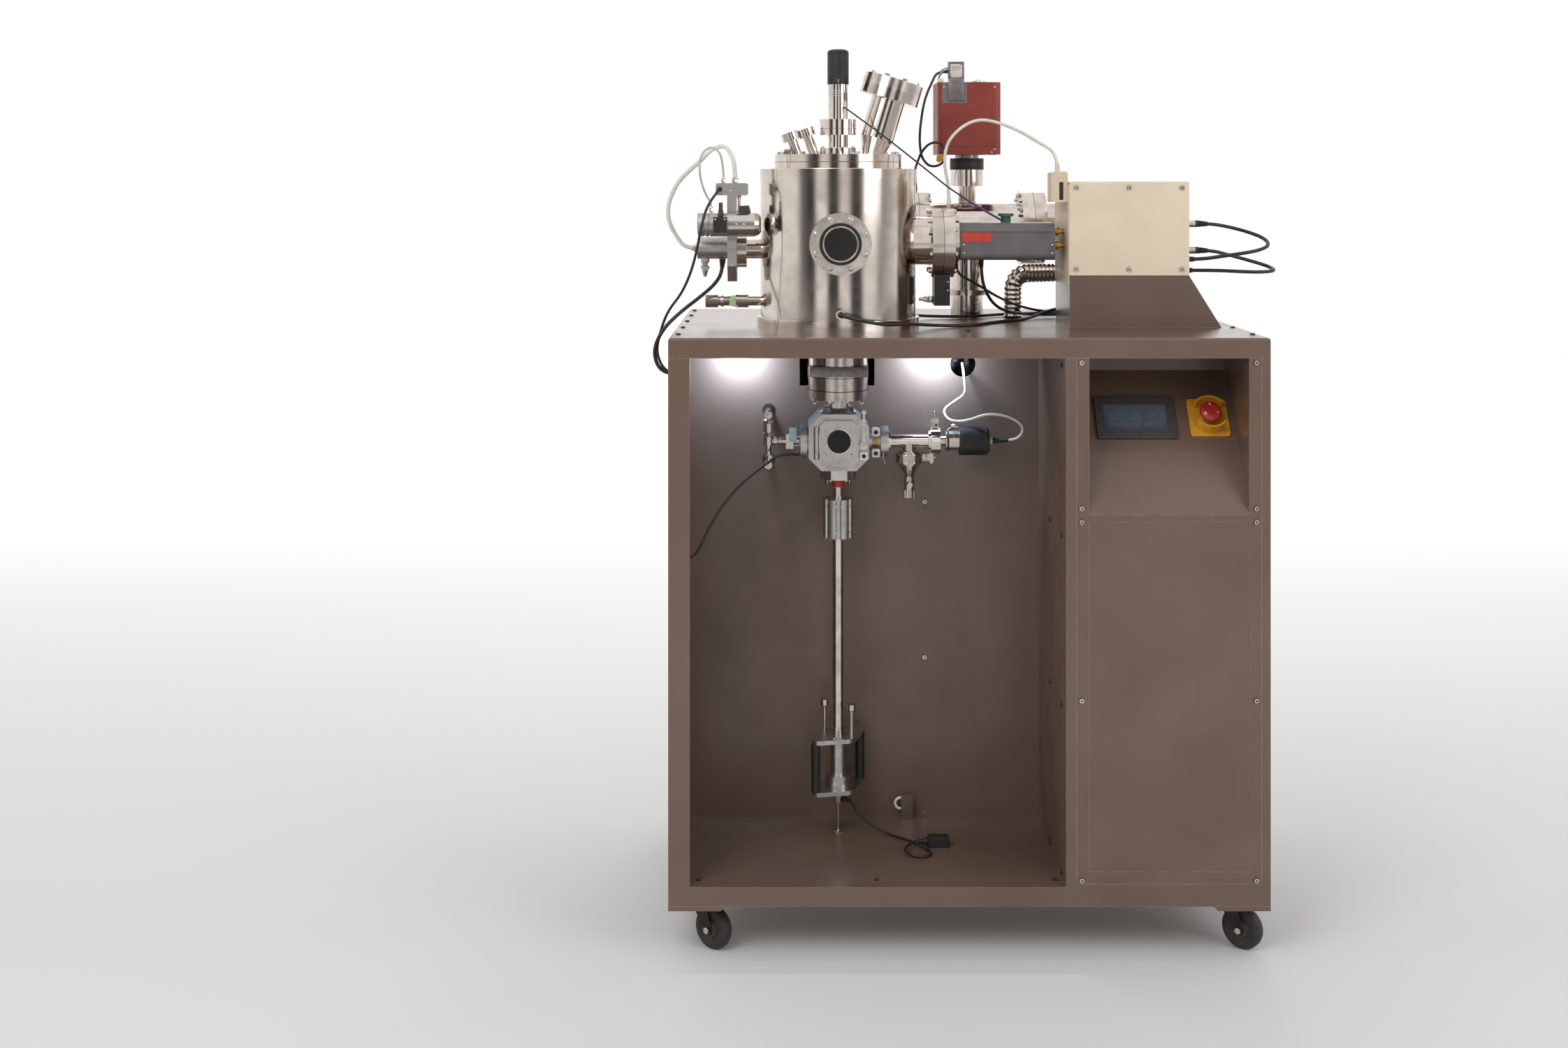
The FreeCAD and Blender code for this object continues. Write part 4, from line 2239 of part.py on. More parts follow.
def fasteners():
    x, y = size.chamber_x, chamber_y
    radius, tall = size.hex_radius, size.hex_tall
    small, short = size.small_hex_radius, size.small_hex_tall
    many = size.flange_bolts
    pitch = size.flange_radius - 11
    seats = []
    lid_place = Placement(Vector(x, y, lid_top), NO_TURN)
    seats += bolt_ring(lid_place, size.lid_flange_radius - 8, size.lid_bolts, radius - 1, tall)
    view_out = size.viewport_out + size.viewport_thick
    view_place = Placement(Vector(x, y - view_out, above_table(size.port_rise)), TOWARD)
    seats += bolt_ring(view_place, pitch, many, radius, tall, 22.5)
    side_end = x + size.side_neck_out + size.side_flange_thick * 2
    side_place = Placement(Vector(side_end, y, above_table(size.port_rise)), RIGHT)
    seats += bolt_ring(side_place, size.side_flange_radius - 9, many, radius, tall, 22.5)
    inner_place = Placement(Vector(x + size.side_neck_out, y, above_table(size.port_rise)), LEFT)
    seats += bolt_ring(inner_place, size.side_flange_radius - 9, many, radius, tall, 22.5)
    reach = size.inclined_tube_tall + size.inclined_flange_thick * 2
    tip = lean_place(x + size.inclined_x, y, lid_top, size.inclined_lean, reach)
    tip_place = Placement(Vector(*tip), Rotation(Y_AXIS, size.inclined_lean))
    seats += bolt_ring(tip_place, pitch, many, radius, tall, 22.5)
    lock_low = lock_flange_top - size.flange_thick
    lock_place = Placement(Vector(x, y, lock_low), DOWN)
    seats += bolt_ring(lock_place, pitch, many, radius, tall, 22.5)
    end = size.manifold_flange_b
    pump_place = Placement(Vector(end, manifold_y, above_table(size.manifold_rise)), LEFT)
    seats += bolt_ring(
        pump_place, size.manifold_flange_radius - 10, many * 2, radius, tall, 11.25
    )
    end = size.manifold_flange_a + size.manifold_flange_a_thick
    pump_place = Placement(Vector(end, manifold_y, above_table(size.manifold_rise)), RIGHT)
    seats += bolt_ring(
        pump_place, size.manifold_flange_radius - 10, many * 2, radius, tall, 11.25
    )
    line_low = below_table(size.lock_bottom_drop) - size.line_flange_thick
    line_place = Placement(Vector(x, y, line_low), DOWN)
    seats += bolt_ring(line_place, size.line_flange_radius - 6, size.small_bolts, small, short)
    feed_place = Placement(Vector(x, y, lid_top + size.feed_flange_thick), NO_TURN)
    seats += bolt_ring(feed_place, size.feed_flange_radius - 6, size.small_bolts, small, short)
    shaped("flange_bolts", seats)

    screws = []
    rim = size.screw_radius
    edge = mid_post_left + size.mid_post_face + 9
    far = half_width - size.post_face - 9
    drop = under_rim - 8
    seam = below_table(size.fascia_foot_drop)
    rows = (drop, seam + 8, seam - 16, seam - size.panel_screw_drop, size.rebate_bottom + 6)
    for height in rows:
        for place in (edge, far):
            at = Vector(place, front, height)
            screws.append((at, TOWARD))
    for offset in (-20.0, 0.0, 20.0):
        foot = above_table(size.rf_bottom_rise)
        for height in (foot + 12, foot + size.rf_tall - 12):
            at = Vector(size.rf_x + size.rf_wide / 2 + offset * 5, chamber_y - size.rf_forward, height)
            screws.append((at, TOWARD))
    first = below_table(size.wall_screw_drop)
    pitch = size.wall_screw_pitch
    foot = tray_top + size.screw_over_tray
    for height in (first, first - pitch, foot):
        screws.append((Vector(x + size.wall_screw_x, bay_back, height), TOWARD))
    for height in (first + pitch - 5, first - 5, first - pitch - 5, foot):
        for y_place in (front + size.side_screw_set_back, bay_back - size.side_screw_before_wall):
            screws.append((Vector(mid_post_left, y_place, height), LEFT))
    bay_middle = (mid_post_left - half_width + size.post_wide) / 2
    for place in (size.post_wide + 15 - half_width, bay_middle, mid_post_left - 14):
        screws.append((Vector(place, front + 32, tray_top), NO_TURN))
    for share in (0.10, 0.31, 0.515, 0.72, 0.91):
        for place in (14 - half_width, half_width - 14):
            at = Vector(place, front + size.cabinet_depth * share, size.table_height)
            screws.append((at, NO_TURN))
    screws.append((Vector(x + 237, front + 136, size.table_height), NO_TURN))
    heads = []
    for at, turn in screws:
        head = prism(8, rim, size.screw_tall)
        head.Placement = Placement(at, turn)
        heads.append(head)
    shaped("panel_screws", heads)


# Cords: the diameter of each and the points of its route, chosen by hand
CORDS = {
    "bay_cords": {
        "floor_cord": (
            5.0,
            [
                (-216.8, -75, 196), (-199, -75, 196), (-189, -78, 171), (-169, -87, 157),
                (-147, -97, 147), (-125, -110, 140), (-107, -130, 142), (-89, -149, 143),
                (-69, -167, 140), (-53, -187, 137), (-64, -210, 137), (-89, -211, 139),
                (-106, -192, 142), (-98, -168, 144), (-78, -150, 144), (-60.2, -150, 144),
            ],
        ),
        "lock_cable": (
            5.0,
            [
                (-297.3, -95, 862), (-337, -95, 862), (-353, -145, 858), (-383, -184, 842),
                (-416, -218, 818), (-446, -246, 784), (-470, -270, 744), (-490, -292, 700),
                (-529.7, -292, 700),
            ],
        ),
        "gauge_cable": (
            5.0,
            [
                (78.3, -73, 884), (98, -73, 884), (123, -84, 891), (129, -96, 914),
                (108, -104, 931), (80, -103, 939), (53, -94, 937), (30, -82, 926),
                (10, -62, 919), (-12, -46, 920), (-21, -35, 938), (1, -30, 953),
                (25, -30, 968), (22, -28, 996), (21, -12, 1018), (22, 14, 1023),
            ],
        ),
    },
    "upper_cables": {
        "air_hose": (
            8.0,
            [
                (-421, -125, 1379.3), (-421, -125, 1403), (-426, -113, 1429),
                (-441, -103, 1452), (-467, -102, 1444), (-486, -99, 1423), (-508, -96, 1404),
                (-529, -93, 1384), (-543, -91, 1359), (-552, -86, 1331), (-549, -81, 1303),
                (-536, -76, 1278), (-519, -73, 1254), (-495.3, -73, 1254),
            ],
        ),
        "thin_hose": (
            4.0,
            [
                (-443, -124, 1379.3), (-443, -124, 1396), (-445, -129, 1416),
                (-449, -132, 1437), (-465, -130, 1449), (-482, -132, 1439),
                (-488, -134, 1419), (-488, -133, 1398), (-484, -131, 1378),
                (-477, -128, 1358), (-466, -125, 1341), (-466, -125, 1324.2),
            ],
        ),
        "switch_cable": (
            5.0,
            [
                (-450, -134.3, 1368), (-450, -154, 1368), (-474, -167, 1334),
                (-484, -172, 1292), (-492, -171, 1249), (-504, -162, 1208),
                (-522, -149, 1170), (-548, -134, 1138), (-563, -124, 1098),
                (-572, -116, 1056), (-553, -110, 1018), (-533.3, -110, 1018),
            ],
        ),
        "valve_cable": (
            7.0,
            [
                (-447, -73, 1233.2), (-447, -73, 1209), (-460, -88, 1186),
                (-489, -114, 1162), (-522, -142, 1138), (-556, -160, 1106),
                (-575, -157, 1064), (-560, -150, 1022), (-533.3, -150, 1022),
            ],
        ),
        "feedthrough_wire": (
            3.0,
            [
                (-213.7, -89.6, 1524), (-152, -140, 1477), (-66, -142, 1409), (4, -124, 1353),
                (88.6, -78.2, 1307.5),
            ],
        ),
        "signal_cable": (
            6.0,
            [
                (-12, -73, 1338.3), (-12, -73, 1374), (-22, -82, 1412), (-19, -86, 1453),
                (7, -89, 1485), (43, -92, 1502), (84, -94, 1494), (122, -95, 1478),
                (157, -95, 1457), (193, -95, 1436), (193, -95, 1401.3),
            ],
        ),
        "gauge_lead": (
            5.0,
            [
                (1.2, 103, 1604), (-20, 103, 1604), (-31, 99, 1581), (-42, 95, 1557),
                (-49, 92, 1532), (-53, 90, 1506), (-56, 90, 1480), (-56, 90, 1454),
                (-52, 88, 1428), (-36, 84, 1410), (-12, 78, 1415), (-3, 73, 1438),
                (-15, 71, 1460), (-38, 71, 1459), (-54, 79, 1440), (-60, 95, 1421),
                (-63, 117, 1408), (-61, 142, 1401), (-60, 162, 1384), (-60, 162, 1363.3),
            ],
        ),
    },
    "table_cables": {
        "heater_cable": (
            6.0,
            [
                (-106, 27, 1115), (-75, 53, 1115), (-32, 76, 1111), (16, 82, 1110),
                (63, 95, 1110), (100, 127, 1110), (140, 154, 1110), (187, 168, 1110),
                (233, 152, 1115), (255, 124, 1147), (265, 101, 1190), (265, 85, 1236),
                (265, 45.3, 1236),
            ],
        ),
        "thermocouple_cable": (
            6.0,
            [
                (-225, -242.3, 1139), (-225, -267, 1139), (-184, -287, 1131),
                (-144, -260, 1122), (-113, -222, 1120), (-83, -183, 1117), (-52, -145, 1112),
                (-9, -120, 1109), (36, -101, 1109), (63, -60, 1109), (94, -22, 1109),
                (130, 12, 1108), (162, 49, 1110), (191, 88, 1118), (235, 107, 1127),
                (277, 109, 1150), (303, 95, 1190), (304, 70, 1232), (304, 45.3, 1232),
            ],
        ),
        "analyser_cable": (
            6.0,
            [
                (50, -73, 1232.7), (50, -73, 1194), (67, -47, 1157), (89, -10, 1135),
                (116, 29, 1124), (143, 69, 1117), (176, 101, 1113), (223, 88, 1113),
                (268, 72, 1122), (300, 40, 1140), (324, 4, 1162), (324, 4, 1200.7),
            ],
        ),
        "flange_cable": (
            5.0,
            [
                (1, -73, 1228.2), (1, -73, 1206), (36, -52, 1188), (64, -22, 1171),
                (89, 13, 1156), (113, 49, 1144), (141, 81, 1132), (174, 110, 1122),
                (215, 124, 1115), (253, 101, 1112), (292, 79, 1113), (328, 54, 1121),
                (356, 27, 1143), (370, 4, 1178), (370, 4, 1200.7),
            ],
        ),
        "upper_side_cable": (
            7.0,
            [
                (468.3, -39, 1300), (499, -39, 1300), (534, -31, 1294), (570, -29, 1285),
                (600, -46, 1273), (603, -79, 1260), (577, -103, 1251), (540, -109, 1245),
                (504, -108, 1240), (468, -100, 1234), (437.3, -100, 1234),
            ],
        ),
        "lower_side_cable": (
            7.0,
            [
                (468.3, -39, 1248.5), (499, -39, 1248.5), (536, -28, 1239), (574, -22, 1229),
                (610, -36, 1218), (617, -72, 1211), (586, -95, 1209), (546, -98, 1210),
                (507, -93, 1212), (468, -84, 1212), (437.3, -84, 1212),
            ],
        ),
    },
}


def cords():
    """Each cord is a tube of its own, and cords that lie together share a node."""
    for node, routes in CORDS.items():
        tubes = []
        for name, (diameter, points) in routes.items():
            tube, radii = hose([Vector(*point) for point in points], diameter)
            tubes.append(tube)
            print(f"{name}: tightest bend {min(radii):.0f} mm, {tube.Volume / 1000:.1f} cm3")
        shaped(node, tubes)


def bay_fittings():
    y = front + size.plug_set_back
    plug = body("floor_sensor", (size.plug_x, y, tray_top))
    half = size.plug_wide / 2
    block = pad(plug, rectangles(plug, [(0, -half, size.plug_long, half)]), size.plug_tall)
    rounded(plug, block, 4.0, lambda e: along(e, 0, 0, 1))
    y = bay_back - size.bracket_before_wall
    wide, thick = size.bracket_wide / 2, size.bracket_thick
    bracket = body("cable_bracket", (size.bracket_x - wide, y, tray_top))
    section = [
        (0, 0),
        (size.bracket_foot, 0),
        (size.bracket_foot, thick),
        (thick, thick),
        (thick, size.bracket_tall),
        (0, size.bracket_tall),
    ]
    pad(bracket, outline(bracket, section, "YZ_Plane"), size.bracket_wide)
    together("floor_fittings", [plug, bracket])


cabinet()
fascia()
controls()
casters()
chamber()
lid()
analyser()
manifold()
inlet_valve()
load_lock()
transfer_line()
fasteners()
bay_fittings()
cords()

NODES = """
front_frame base_tray table_top side_panels rear_panel bay_back_wall bay_partition
control_fascia lower_front_panel panel_screws bay_lamps
touch_panel touch_screen emo_guard emo_stem emo_head
front_left_fork front_right_fork rear_left_fork rear_right_fork
front_left_wheel front_right_wheel rear_left_wheel rear_right_wheel
analysis_chamber chamber_lid mating_flanges viewport_glass top_feedthrough feedthrough_knob
analyser_housing rf_box rf_stand signal_connectors
pump_manifold gauge_head turbo_pump foreline_bellows inlet_valve
gate_valve lock_neck load_lock_body load_lock_door door_window door_lever gas_line
pump_tee vacuum_gauge vent_valve vent_knob
transfer_tube tube_coupler carriage carriage_grips transfer_rod
flange_bolts floor_fittings
bay_cords upper_cables table_cables
""".split()

doc.recompute()
failed = [o.Label for o in doc.Objects if "Invalid" in o.State or "Error" in o.State]
if failed:
    raise RuntimeError(f"not built: {failed}")
os.makedirs("parts", exist_ok=True)
for name in NODES:
    node = doc.getObjectsByLabel(name)[0]
    if node.Shape.isNull() or not node.Shape.isValid() or not node.Shape.Solids:
        raise RuntimeError(f"{name} has no valid solid")
    node.Shape.exportStep(f"parts/{name}.step")
print(len(NODES), "nodes written")
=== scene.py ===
import math

import bmesh
import bpy
import numpy as np
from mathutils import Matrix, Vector

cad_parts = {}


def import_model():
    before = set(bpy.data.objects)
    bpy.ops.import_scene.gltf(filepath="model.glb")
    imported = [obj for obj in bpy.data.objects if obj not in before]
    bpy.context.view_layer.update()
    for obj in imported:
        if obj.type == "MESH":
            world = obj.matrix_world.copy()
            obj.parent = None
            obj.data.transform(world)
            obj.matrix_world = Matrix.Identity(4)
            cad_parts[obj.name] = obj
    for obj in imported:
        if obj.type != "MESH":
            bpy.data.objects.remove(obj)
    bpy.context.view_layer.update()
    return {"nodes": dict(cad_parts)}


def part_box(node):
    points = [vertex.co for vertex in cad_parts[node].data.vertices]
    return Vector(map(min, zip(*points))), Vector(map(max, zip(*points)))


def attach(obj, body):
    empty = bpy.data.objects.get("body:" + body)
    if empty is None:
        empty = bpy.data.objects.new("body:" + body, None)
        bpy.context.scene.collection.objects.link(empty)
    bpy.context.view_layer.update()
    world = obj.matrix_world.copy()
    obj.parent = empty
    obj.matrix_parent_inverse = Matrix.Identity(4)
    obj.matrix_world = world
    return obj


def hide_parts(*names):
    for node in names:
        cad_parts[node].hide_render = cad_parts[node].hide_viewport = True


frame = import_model()
nodes = frame["nodes"]

MM = 0.001
X = np.array([1.0, 0.0, 0.0])
Y = np.array([0.0, 1.0, 0.0])
Z = np.array([0.0, 0.0, 1.0])
CHAMBER = np.array([-225.0, -73.0, 0.0]) * MM  # foot of the upright axis of chamber and lock
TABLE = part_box("table_top")[1][2] - 2 * MM


def mm(*numbers):
    return np.array(numbers, dtype=float) * MM


def unit(way):
    way = np.asarray(way, dtype=float)
    return way / np.linalg.norm(way)


def across(axis):
    """Two directions square to an axis and to each other."""
    axis = unit(axis)
    helper = X if abs(axis[0]) < 0.8 else Y
    side = unit(np.cross(helper, axis))
    return side, np.cross(axis, side)


# Shapes: each is an array of points and a list of faces


def grid_faces(rows, columns, wrap_rows=False, wrap_columns=False):
    """One quad for each cell of a grid of points, and over the seam where a direction is closed."""
    row = np.arange(rows if wrap_rows else rows - 1)
    column = np.arange(columns if wrap_columns else columns - 1)
    i, j = (part.ravel() for part in np.meshgrid(row, column, indexing="ij"))
    k, m = (i + 1) % rows, (j + 1) % columns
    quads = [i * columns + j, i * columns + m, k * columns + m, k * columns + j]
    return np.stack(quads, axis=1).tolist()


def turned(profile, at, axis=Z, sides=40, start=0.0, ring=False):
    """A profile of (radius, height) pairs carried round an axis: the point is
    at + height * axis + radius * (cosine of the angle * side + sine of the angle * other side).
    A ring's last row of points meets its first."""
    axis = unit(axis)
    side, other = across(axis)
    radius, height = np.array(profile, dtype=float).T
    angle = start + np.linspace(0, 2 * math.pi, sides, endpoint=False)
    circle = np.cos(angle)[:, None] * side + np.sin(angle)[:, None] * other
    points = np.asarray(at) + height[:, None, None] * axis + radius[:, None, None] * circle
    faces = grid_faces(len(radius), sides, wrap_rows=ring, wrap_columns=True)
    if ring:
        return points.reshape(-1, 3), faces
    first = list(range(sides))
    last = [(len(radius) - 1) * sides + n for n in first]
    faces += [ring_face for ring_face, wide in ((first, radius[0]), (last, radius[-1])) if wide > 0]
    return points.reshape(-1, 3), faces


def soft_profile(steps, round_by):
    """A profile of (radius, height) steps whose corners are cut by two short slopes, at most
    round_by millimetres from the corner."""
    steps = np.array(steps, dtype=float)
    before, at, after = steps[:-2], steps[1:-1], steps[2:]
    back = before - at
    on = after - at
    back_long = np.linalg.norm(back, axis=1, keepdims=True)
    on_long = np.linalg.norm(on, axis=1, keepdims=True)
    cut = np.minimum(round_by * MM, 0.45 * np.minimum(back_long, on_long))
    back, on = back / back_long, on / on_long
    middle = at + (back + on) * cut * 0.29
    rounded = np.stack([at + back * cut, middle, at + on * cut], axis=1).reshape(-1, 2)
    return np.vstack([steps[:1], rounded, steps[-1:]])


def block(centre, size, round_by):
    """A box with round edges: for each direction d of a sphere split into octants, the point is
    sign(d) * (half size - round) + round * d. Size and rounding are in millimetres."""
    half = mm(*size) / 2
    round_by = min(round_by * MM, *(half * 0.98))
    fine = 3
    quarter = np.linspace(0, math.pi / 2, fine)
    azimuth = np.concatenate([quarter + n * math.pi / 2 for n in range(4)])
    sign_x = np.repeat([1, -1, -1, 1], fine)
    sign_y = np.repeat([1, 1, -1, -1], fine)
    height = np.concatenate([quarter - math.pi / 2, quarter])
    sign_z = np.repeat([-1, 1], fine)
    a, h = np.meshgrid(azimuth, height)
    way = np.stack([np.cos(h) * np.cos(a), np.cos(h) * np.sin(a), np.sin(h)], axis=-1)
    sign = np.stack(
        [
            np.broadcast_to(sign_x, a.shape),
            np.broadcast_to(sign_y, a.shape),
            np.broadcast_to(sign_z[:, None], a.shape),
        ],
        axis=-1,
    )
    points = (sign * (half - round_by) + way * round_by).reshape(-1, 3)
    columns = len(azimuth)
    faces = grid_faces(len(height), columns, wrap_columns=True)
    faces.append(list(range(0, columns, fine)))
    faces.append(list(range(columns * (len(height) - 1), columns * len(height), fine)))
    return points + np.asarray(centre), faces


def slab(outline, at, side, up, thick, round_by=0.4):
    """A flat plate: the outline's points are laid out along side and up, and carried along the
    plate's normal from nothing to the thickness, a little smaller at both faces. Thickness and
    rounding are in millimetres."""
    outline = np.asarray(outline, dtype=float)
    thick, round_by = thick * MM, round_by * MM
    side, up = unit(side), unit(up)
    out = np.cross(side, up)
    inward = outline - outline.mean(axis=0)
    reach = np.linalg.norm(inward, axis=1, keepdims=True)
    small = outline - inward / reach * round_by
    layers = [(small, 0.0), (outline, round_by), (outline, thick - round_by), (small, thick)]
    rows = [
        np.asarray(at) + shape[:, :1] * side + shape[:, 1:] * up + height * out
        for shape, height in layers
    ]
    count = len(outline)
    faces = grid_faces(4, count, wrap_columns=True)
    faces += [list(range(count)), list(range(3 * count, 4 * count))]
    return np.vstack(rows), faces


def carried(line, radius, sides=16):
    """A round section carried along a line: the point is line(t) + radius(t) * (cosine of the angle
    * side(t) + sine of the angle * other(t)), with side square to the line's own direction."""
    line = np.asarray(line, dtype=float)
    way = np.gradient(line, axis=0)
    way /= np.linalg.norm(way, axis=1, keepdims=True)
    fixed = np.eye(3)[np.argmin(np.abs(way).mean(axis=0))]
    side = np.cross(way, fixed)
    side /= np.linalg.norm(side, axis=1, keepdims=True)
    other = np.cross(way, side)
    angle = np.linspace(0, 2 * math.pi, sides, endpoint=False)[None, :, None]
    radius = np.broadcast_to(radius, len(line))[:, None, None]
    ring = np.cos(angle) * side[:, None] + np.sin(angle) * other[:, None]
    points = line[:, None] + radius * ring
    count = len(line)
    faces = grid_faces(count, sides, wrap_columns=True)
    faces += [list(range(sides)), list(range((count - 1) * sides, count * sides))]
    return points.reshape(-1, 3), faces


def rounded_rectangle(wide, tall, corner, steps=5):
    """An outline: a quarter circle at each corner of a rectangle about the origin, in millimetres."""
    wide, tall, corner = wide * MM, tall * MM, corner * MM
    quarter = np.linspace(0, math.pi / 2, steps)
    angle = np.concatenate([quarter + n * math.pi / 2 for n in range(4)])
    sign = np.repeat([[1, 1], [-1, 1], [-1, -1], [1, -1]], steps, axis=0)
    middle = sign * (np.array([wide, tall]) / 2 - corner)
    return middle + corner * np.stack([np.cos(angle), np.sin(angle)], axis=1)


def joined(*shapes):
    """Several shapes as one, each face's numbers moved past the points before it."""
    points, faces, past = [], [], 0
    for more, more_faces in shapes:
        points.append(more)
        faces += [[number + past for number in face] for face in more_faces]
        past += len(more)
    return np.vstack(points), faces


def ringed(shape, count, at, axis=Z, start=0.0):
    """Copies of a shape at equal angles round an axis: the shape's offset from the axis is turned
    by sine and cosine (Rodrigues' formula)."""
    points, faces = shape
    axis = unit(axis)
    offset = points - at
    angle = (start + np.arange(count) * 2 * math.pi / count)[:, None, None]
    along_axis = (offset @ axis)[:, None] * axis
    round_it = np.cross(axis, offset)
    copies = along_axis + np.cos(angle) * (offset - along_axis) + np.sin(angle) * round_it + at
    numbers = [[n + k * len(points) for n in face] for k in range(count) for face in faces]
    return copies.reshape(-1, 3), numbers


def piece(name, shape, finish, body="cabinet"):
    """A new piece: its shape as a mesh with its normals outwards, riding on a body."""
    points, faces = shape
    mesh = bpy.data.meshes.new(name)
    mesh.from_pydata(np.asarray(points).tolist(), [], faces)
    shell = bmesh.new()
    shell.from_mesh(mesh)
    bmesh.ops.remove_doubles(shell, verts=shell.verts, dist=1e-6)
    bmesh.ops.recalc_face_normals(shell, faces=shell.faces)
    shell.to_mesh(mesh)
    shell.free()
    mesh.shade_smooth()
    mesh.set_sharp_from_angle(angle=math.radians(35))
    mesh.materials.append(finish)
    made = bpy.data.objects.new(name, mesh)
    bpy.context.scene.collection.objects.link(made)
    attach(made, body)


# Finishes: shader groups that several materials share


def tone(red, green, blue):
    """A colour written as it looks, 0 to 255, as the shader's linear colour."""
    part = np.array([red, green, blue]) / 255
    linear = np.where(part <= 0.04045, part / 12.92, ((part + 0.055) / 1.055) ** 2.4)
    return (*linear.tolist(), 1.0)


class Tree:
    """A node tree with short calls to add a node and link its inputs."""

    def __init__(self, tree):
        self.tree = tree

    def add(self, kind, inputs=None, **settings):
        node = self.tree.nodes.new(kind)
        for name, value in settings.items():
            setattr(node, name, value)
        for name, value in (inputs or {}).items():
            if isinstance(value, bpy.types.NodeSocket):
                self.tree.links.new(value, node.inputs[name])
            else:
                node.inputs[name].default_value = value
        return node

    def math(self, operation, first, second=0.0, clamp=False):
        node = self.add("ShaderNodeMath", {0: first, 1: second}, operation=operation, use_clamp=clamp)
        return node.outputs[0]

    def mix(self, share, first, second):
        node = self.add("ShaderNodeMix", data_type="RGBA")
        for number, value in ((0, share), (6, first), (7, second)):
            if isinstance(value, bpy.types.NodeSocket):
                self.tree.links.new(value, node.inputs[number])
            else:
                node.inputs[number].default_value = value
        return node.outputs[2]

    def spread(self, value, low, high, to_low=0.0, to_high=1.0):
        """A value between low and high spread over another range, and held at its ends."""
        inputs = {0: value, 1: low, 2: high, 3: to_low, 4: to_high}
        return self.add("ShaderNodeMapRange", inputs, clamp=True).outputs[0]


def shader_group(name, inputs, outputs):
    """An empty node group with named inputs and outputs."""
    tree = bpy.data.node_groups.new(name, "ShaderNodeTree")
    for label, kind, value in inputs:
        socket = tree.interface.new_socket(label, in_out="INPUT", socket_type=kind)
        if value is not None:
            socket.default_value = value
    for label in outputs:
        tree.interface.new_socket(label, in_out="OUTPUT", socket_type="NodeSocketFloat")
    inside = Tree(tree)
    return tree, inside, inside.add("NodeGroupInput").outputs, inside.add("NodeGroupOutput").inputs


def make_patches():
    """Large soft patches, as hands and cloths leave: two noises multiplied."""
    fields = [("Vector", "NodeSocketVector", None), ("Scale", "NodeSocketFloat", 6.0)]
    tree, inside, given, made = shader_group("patches", fields, ["Mask"])
    place, scale = given["Vector"], given["Scale"]
    large = inside.add("ShaderNodeTexNoise", {"Vector": place, "Scale": scale, "Detail": 3.0})
    finer_scale = inside.math("MULTIPLY", scale, 3.7)
    finer = inside.add("ShaderNodeTexNoise", {"Vector": place, "Scale": finer_scale, "Detail": 2.0})
    both = inside.math("MULTIPLY", large.outputs[0], finer.outputs[0])
    tree.links.new(inside.spread(both, 0.14, 0.38), made["Mask"])
    return tree


def make_grain():
    """A fine grain, stretched along the way the surface was brushed or turned."""
    fields = [
        ("Vector", "NodeSocketVector", None),
        ("Stretch", "NodeSocketVector", (1.0, 1.0, 1.0)),
        ("Scale", "NodeSocketFloat", 900.0),
    ]
    tree, inside, given, made = shader_group("grain", fields, ["Height"])
    stretched = inside.add(
        "ShaderNodeVectorMath", {0: given["Vector"], 1: given["Stretch"]}, operation="MULTIPLY"
    ).outputs[0]
    noise = inside.add("ShaderNodeTexNoise", {"Vector": stretched, "Scale": given["Scale"], "Detail": 2.0})
    tree.links.new(noise.outputs[0], made["Height"])
    return tree


def make_edge_highlights_and_wear():
    """Where the surface turns sharply: the rounded normal against the real one, broken by noise. The mask
    lays a painted highlight, with some wear, along the edges.
    """
    fields = [("Vector", "NodeSocketVector", None), ("Width", "NodeSocketFloat", 0.0012)]
    tree, inside, given, made = shader_group("painted edge highlights and wear", fields, ["Mask"])
    rounded = inside.add("ShaderNodeBevel", {"Radius": given["Width"]}, samples=4).outputs[0]
    real = inside.add("ShaderNodeNewGeometry").outputs["Normal"]
    dot = inside.add("ShaderNodeVectorMath", {0: rounded, 1: real}, operation="DOT_PRODUCT")
    turn = inside.math("SUBTRACT", 1.0, dot.outputs["Value"])
    noise = inside.add("ShaderNodeTexNoise", {"Vector": given["Vector"], "Scale": 55.0, "Detail": 3.0})
    broken = inside.spread(noise.outputs[0], 0.3, 0.62, 0.35, 1.0)
    edge = inside.spread(turn, 0.02, 0.22)
    tree.links.new(inside.math("MULTIPLY", edge, broken), made["Mask"])
    return tree


def make_box_mask():
    """One inside an upright box between two corners, and nothing outside it."""
    fields = [
        ("Vector", "NodeSocketVector", None),
        ("Low", "NodeSocketVector", (0.0, 0.0, 0.0)),
        ("High", "NodeSocketVector", (1.0, 1.0, 1.0)),
    ]
    tree, inside, given, made = shader_group("inside box", fields, ["Mask"])

    def vector_math(operation, first, second):
        return inside.add("ShaderNodeVectorMath", {0: first, 1: second}, operation=operation).outputs[0]

    over = vector_math("SUBTRACT", given["Vector"], given["Low"])
    under = vector_math("SUBTRACT", given["High"], given["Vector"])
    parts = inside.add("ShaderNodeSeparateXYZ", {0: vector_math("MINIMUM", over, under)}).outputs
    smallest = inside.math("MINIMUM", inside.math("MINIMUM", parts[0], parts[1]), parts[2])
    tree.links.new(inside.math("GREATER_THAN", smallest, 0.0), made["Mask"])
    return tree


PATCHES, GRAIN, EDGE_HIGHLIGHTS_AND_WEAR, BOX_MASK = make_patches(), make_grain(), make_edge_highlights_and_wear(), make_box_mask()


def place_group(tree, group, inputs):
    node = tree.add("ShaderNodeGroup", node_tree=group)
    for name, value in inputs.items():
        if isinstance(value, bpy.types.NodeSocket):
            tree.tree.links.new(value, node.inputs[name])
        else:
            node.inputs[name].default_value = value
    return node.outputs[0]


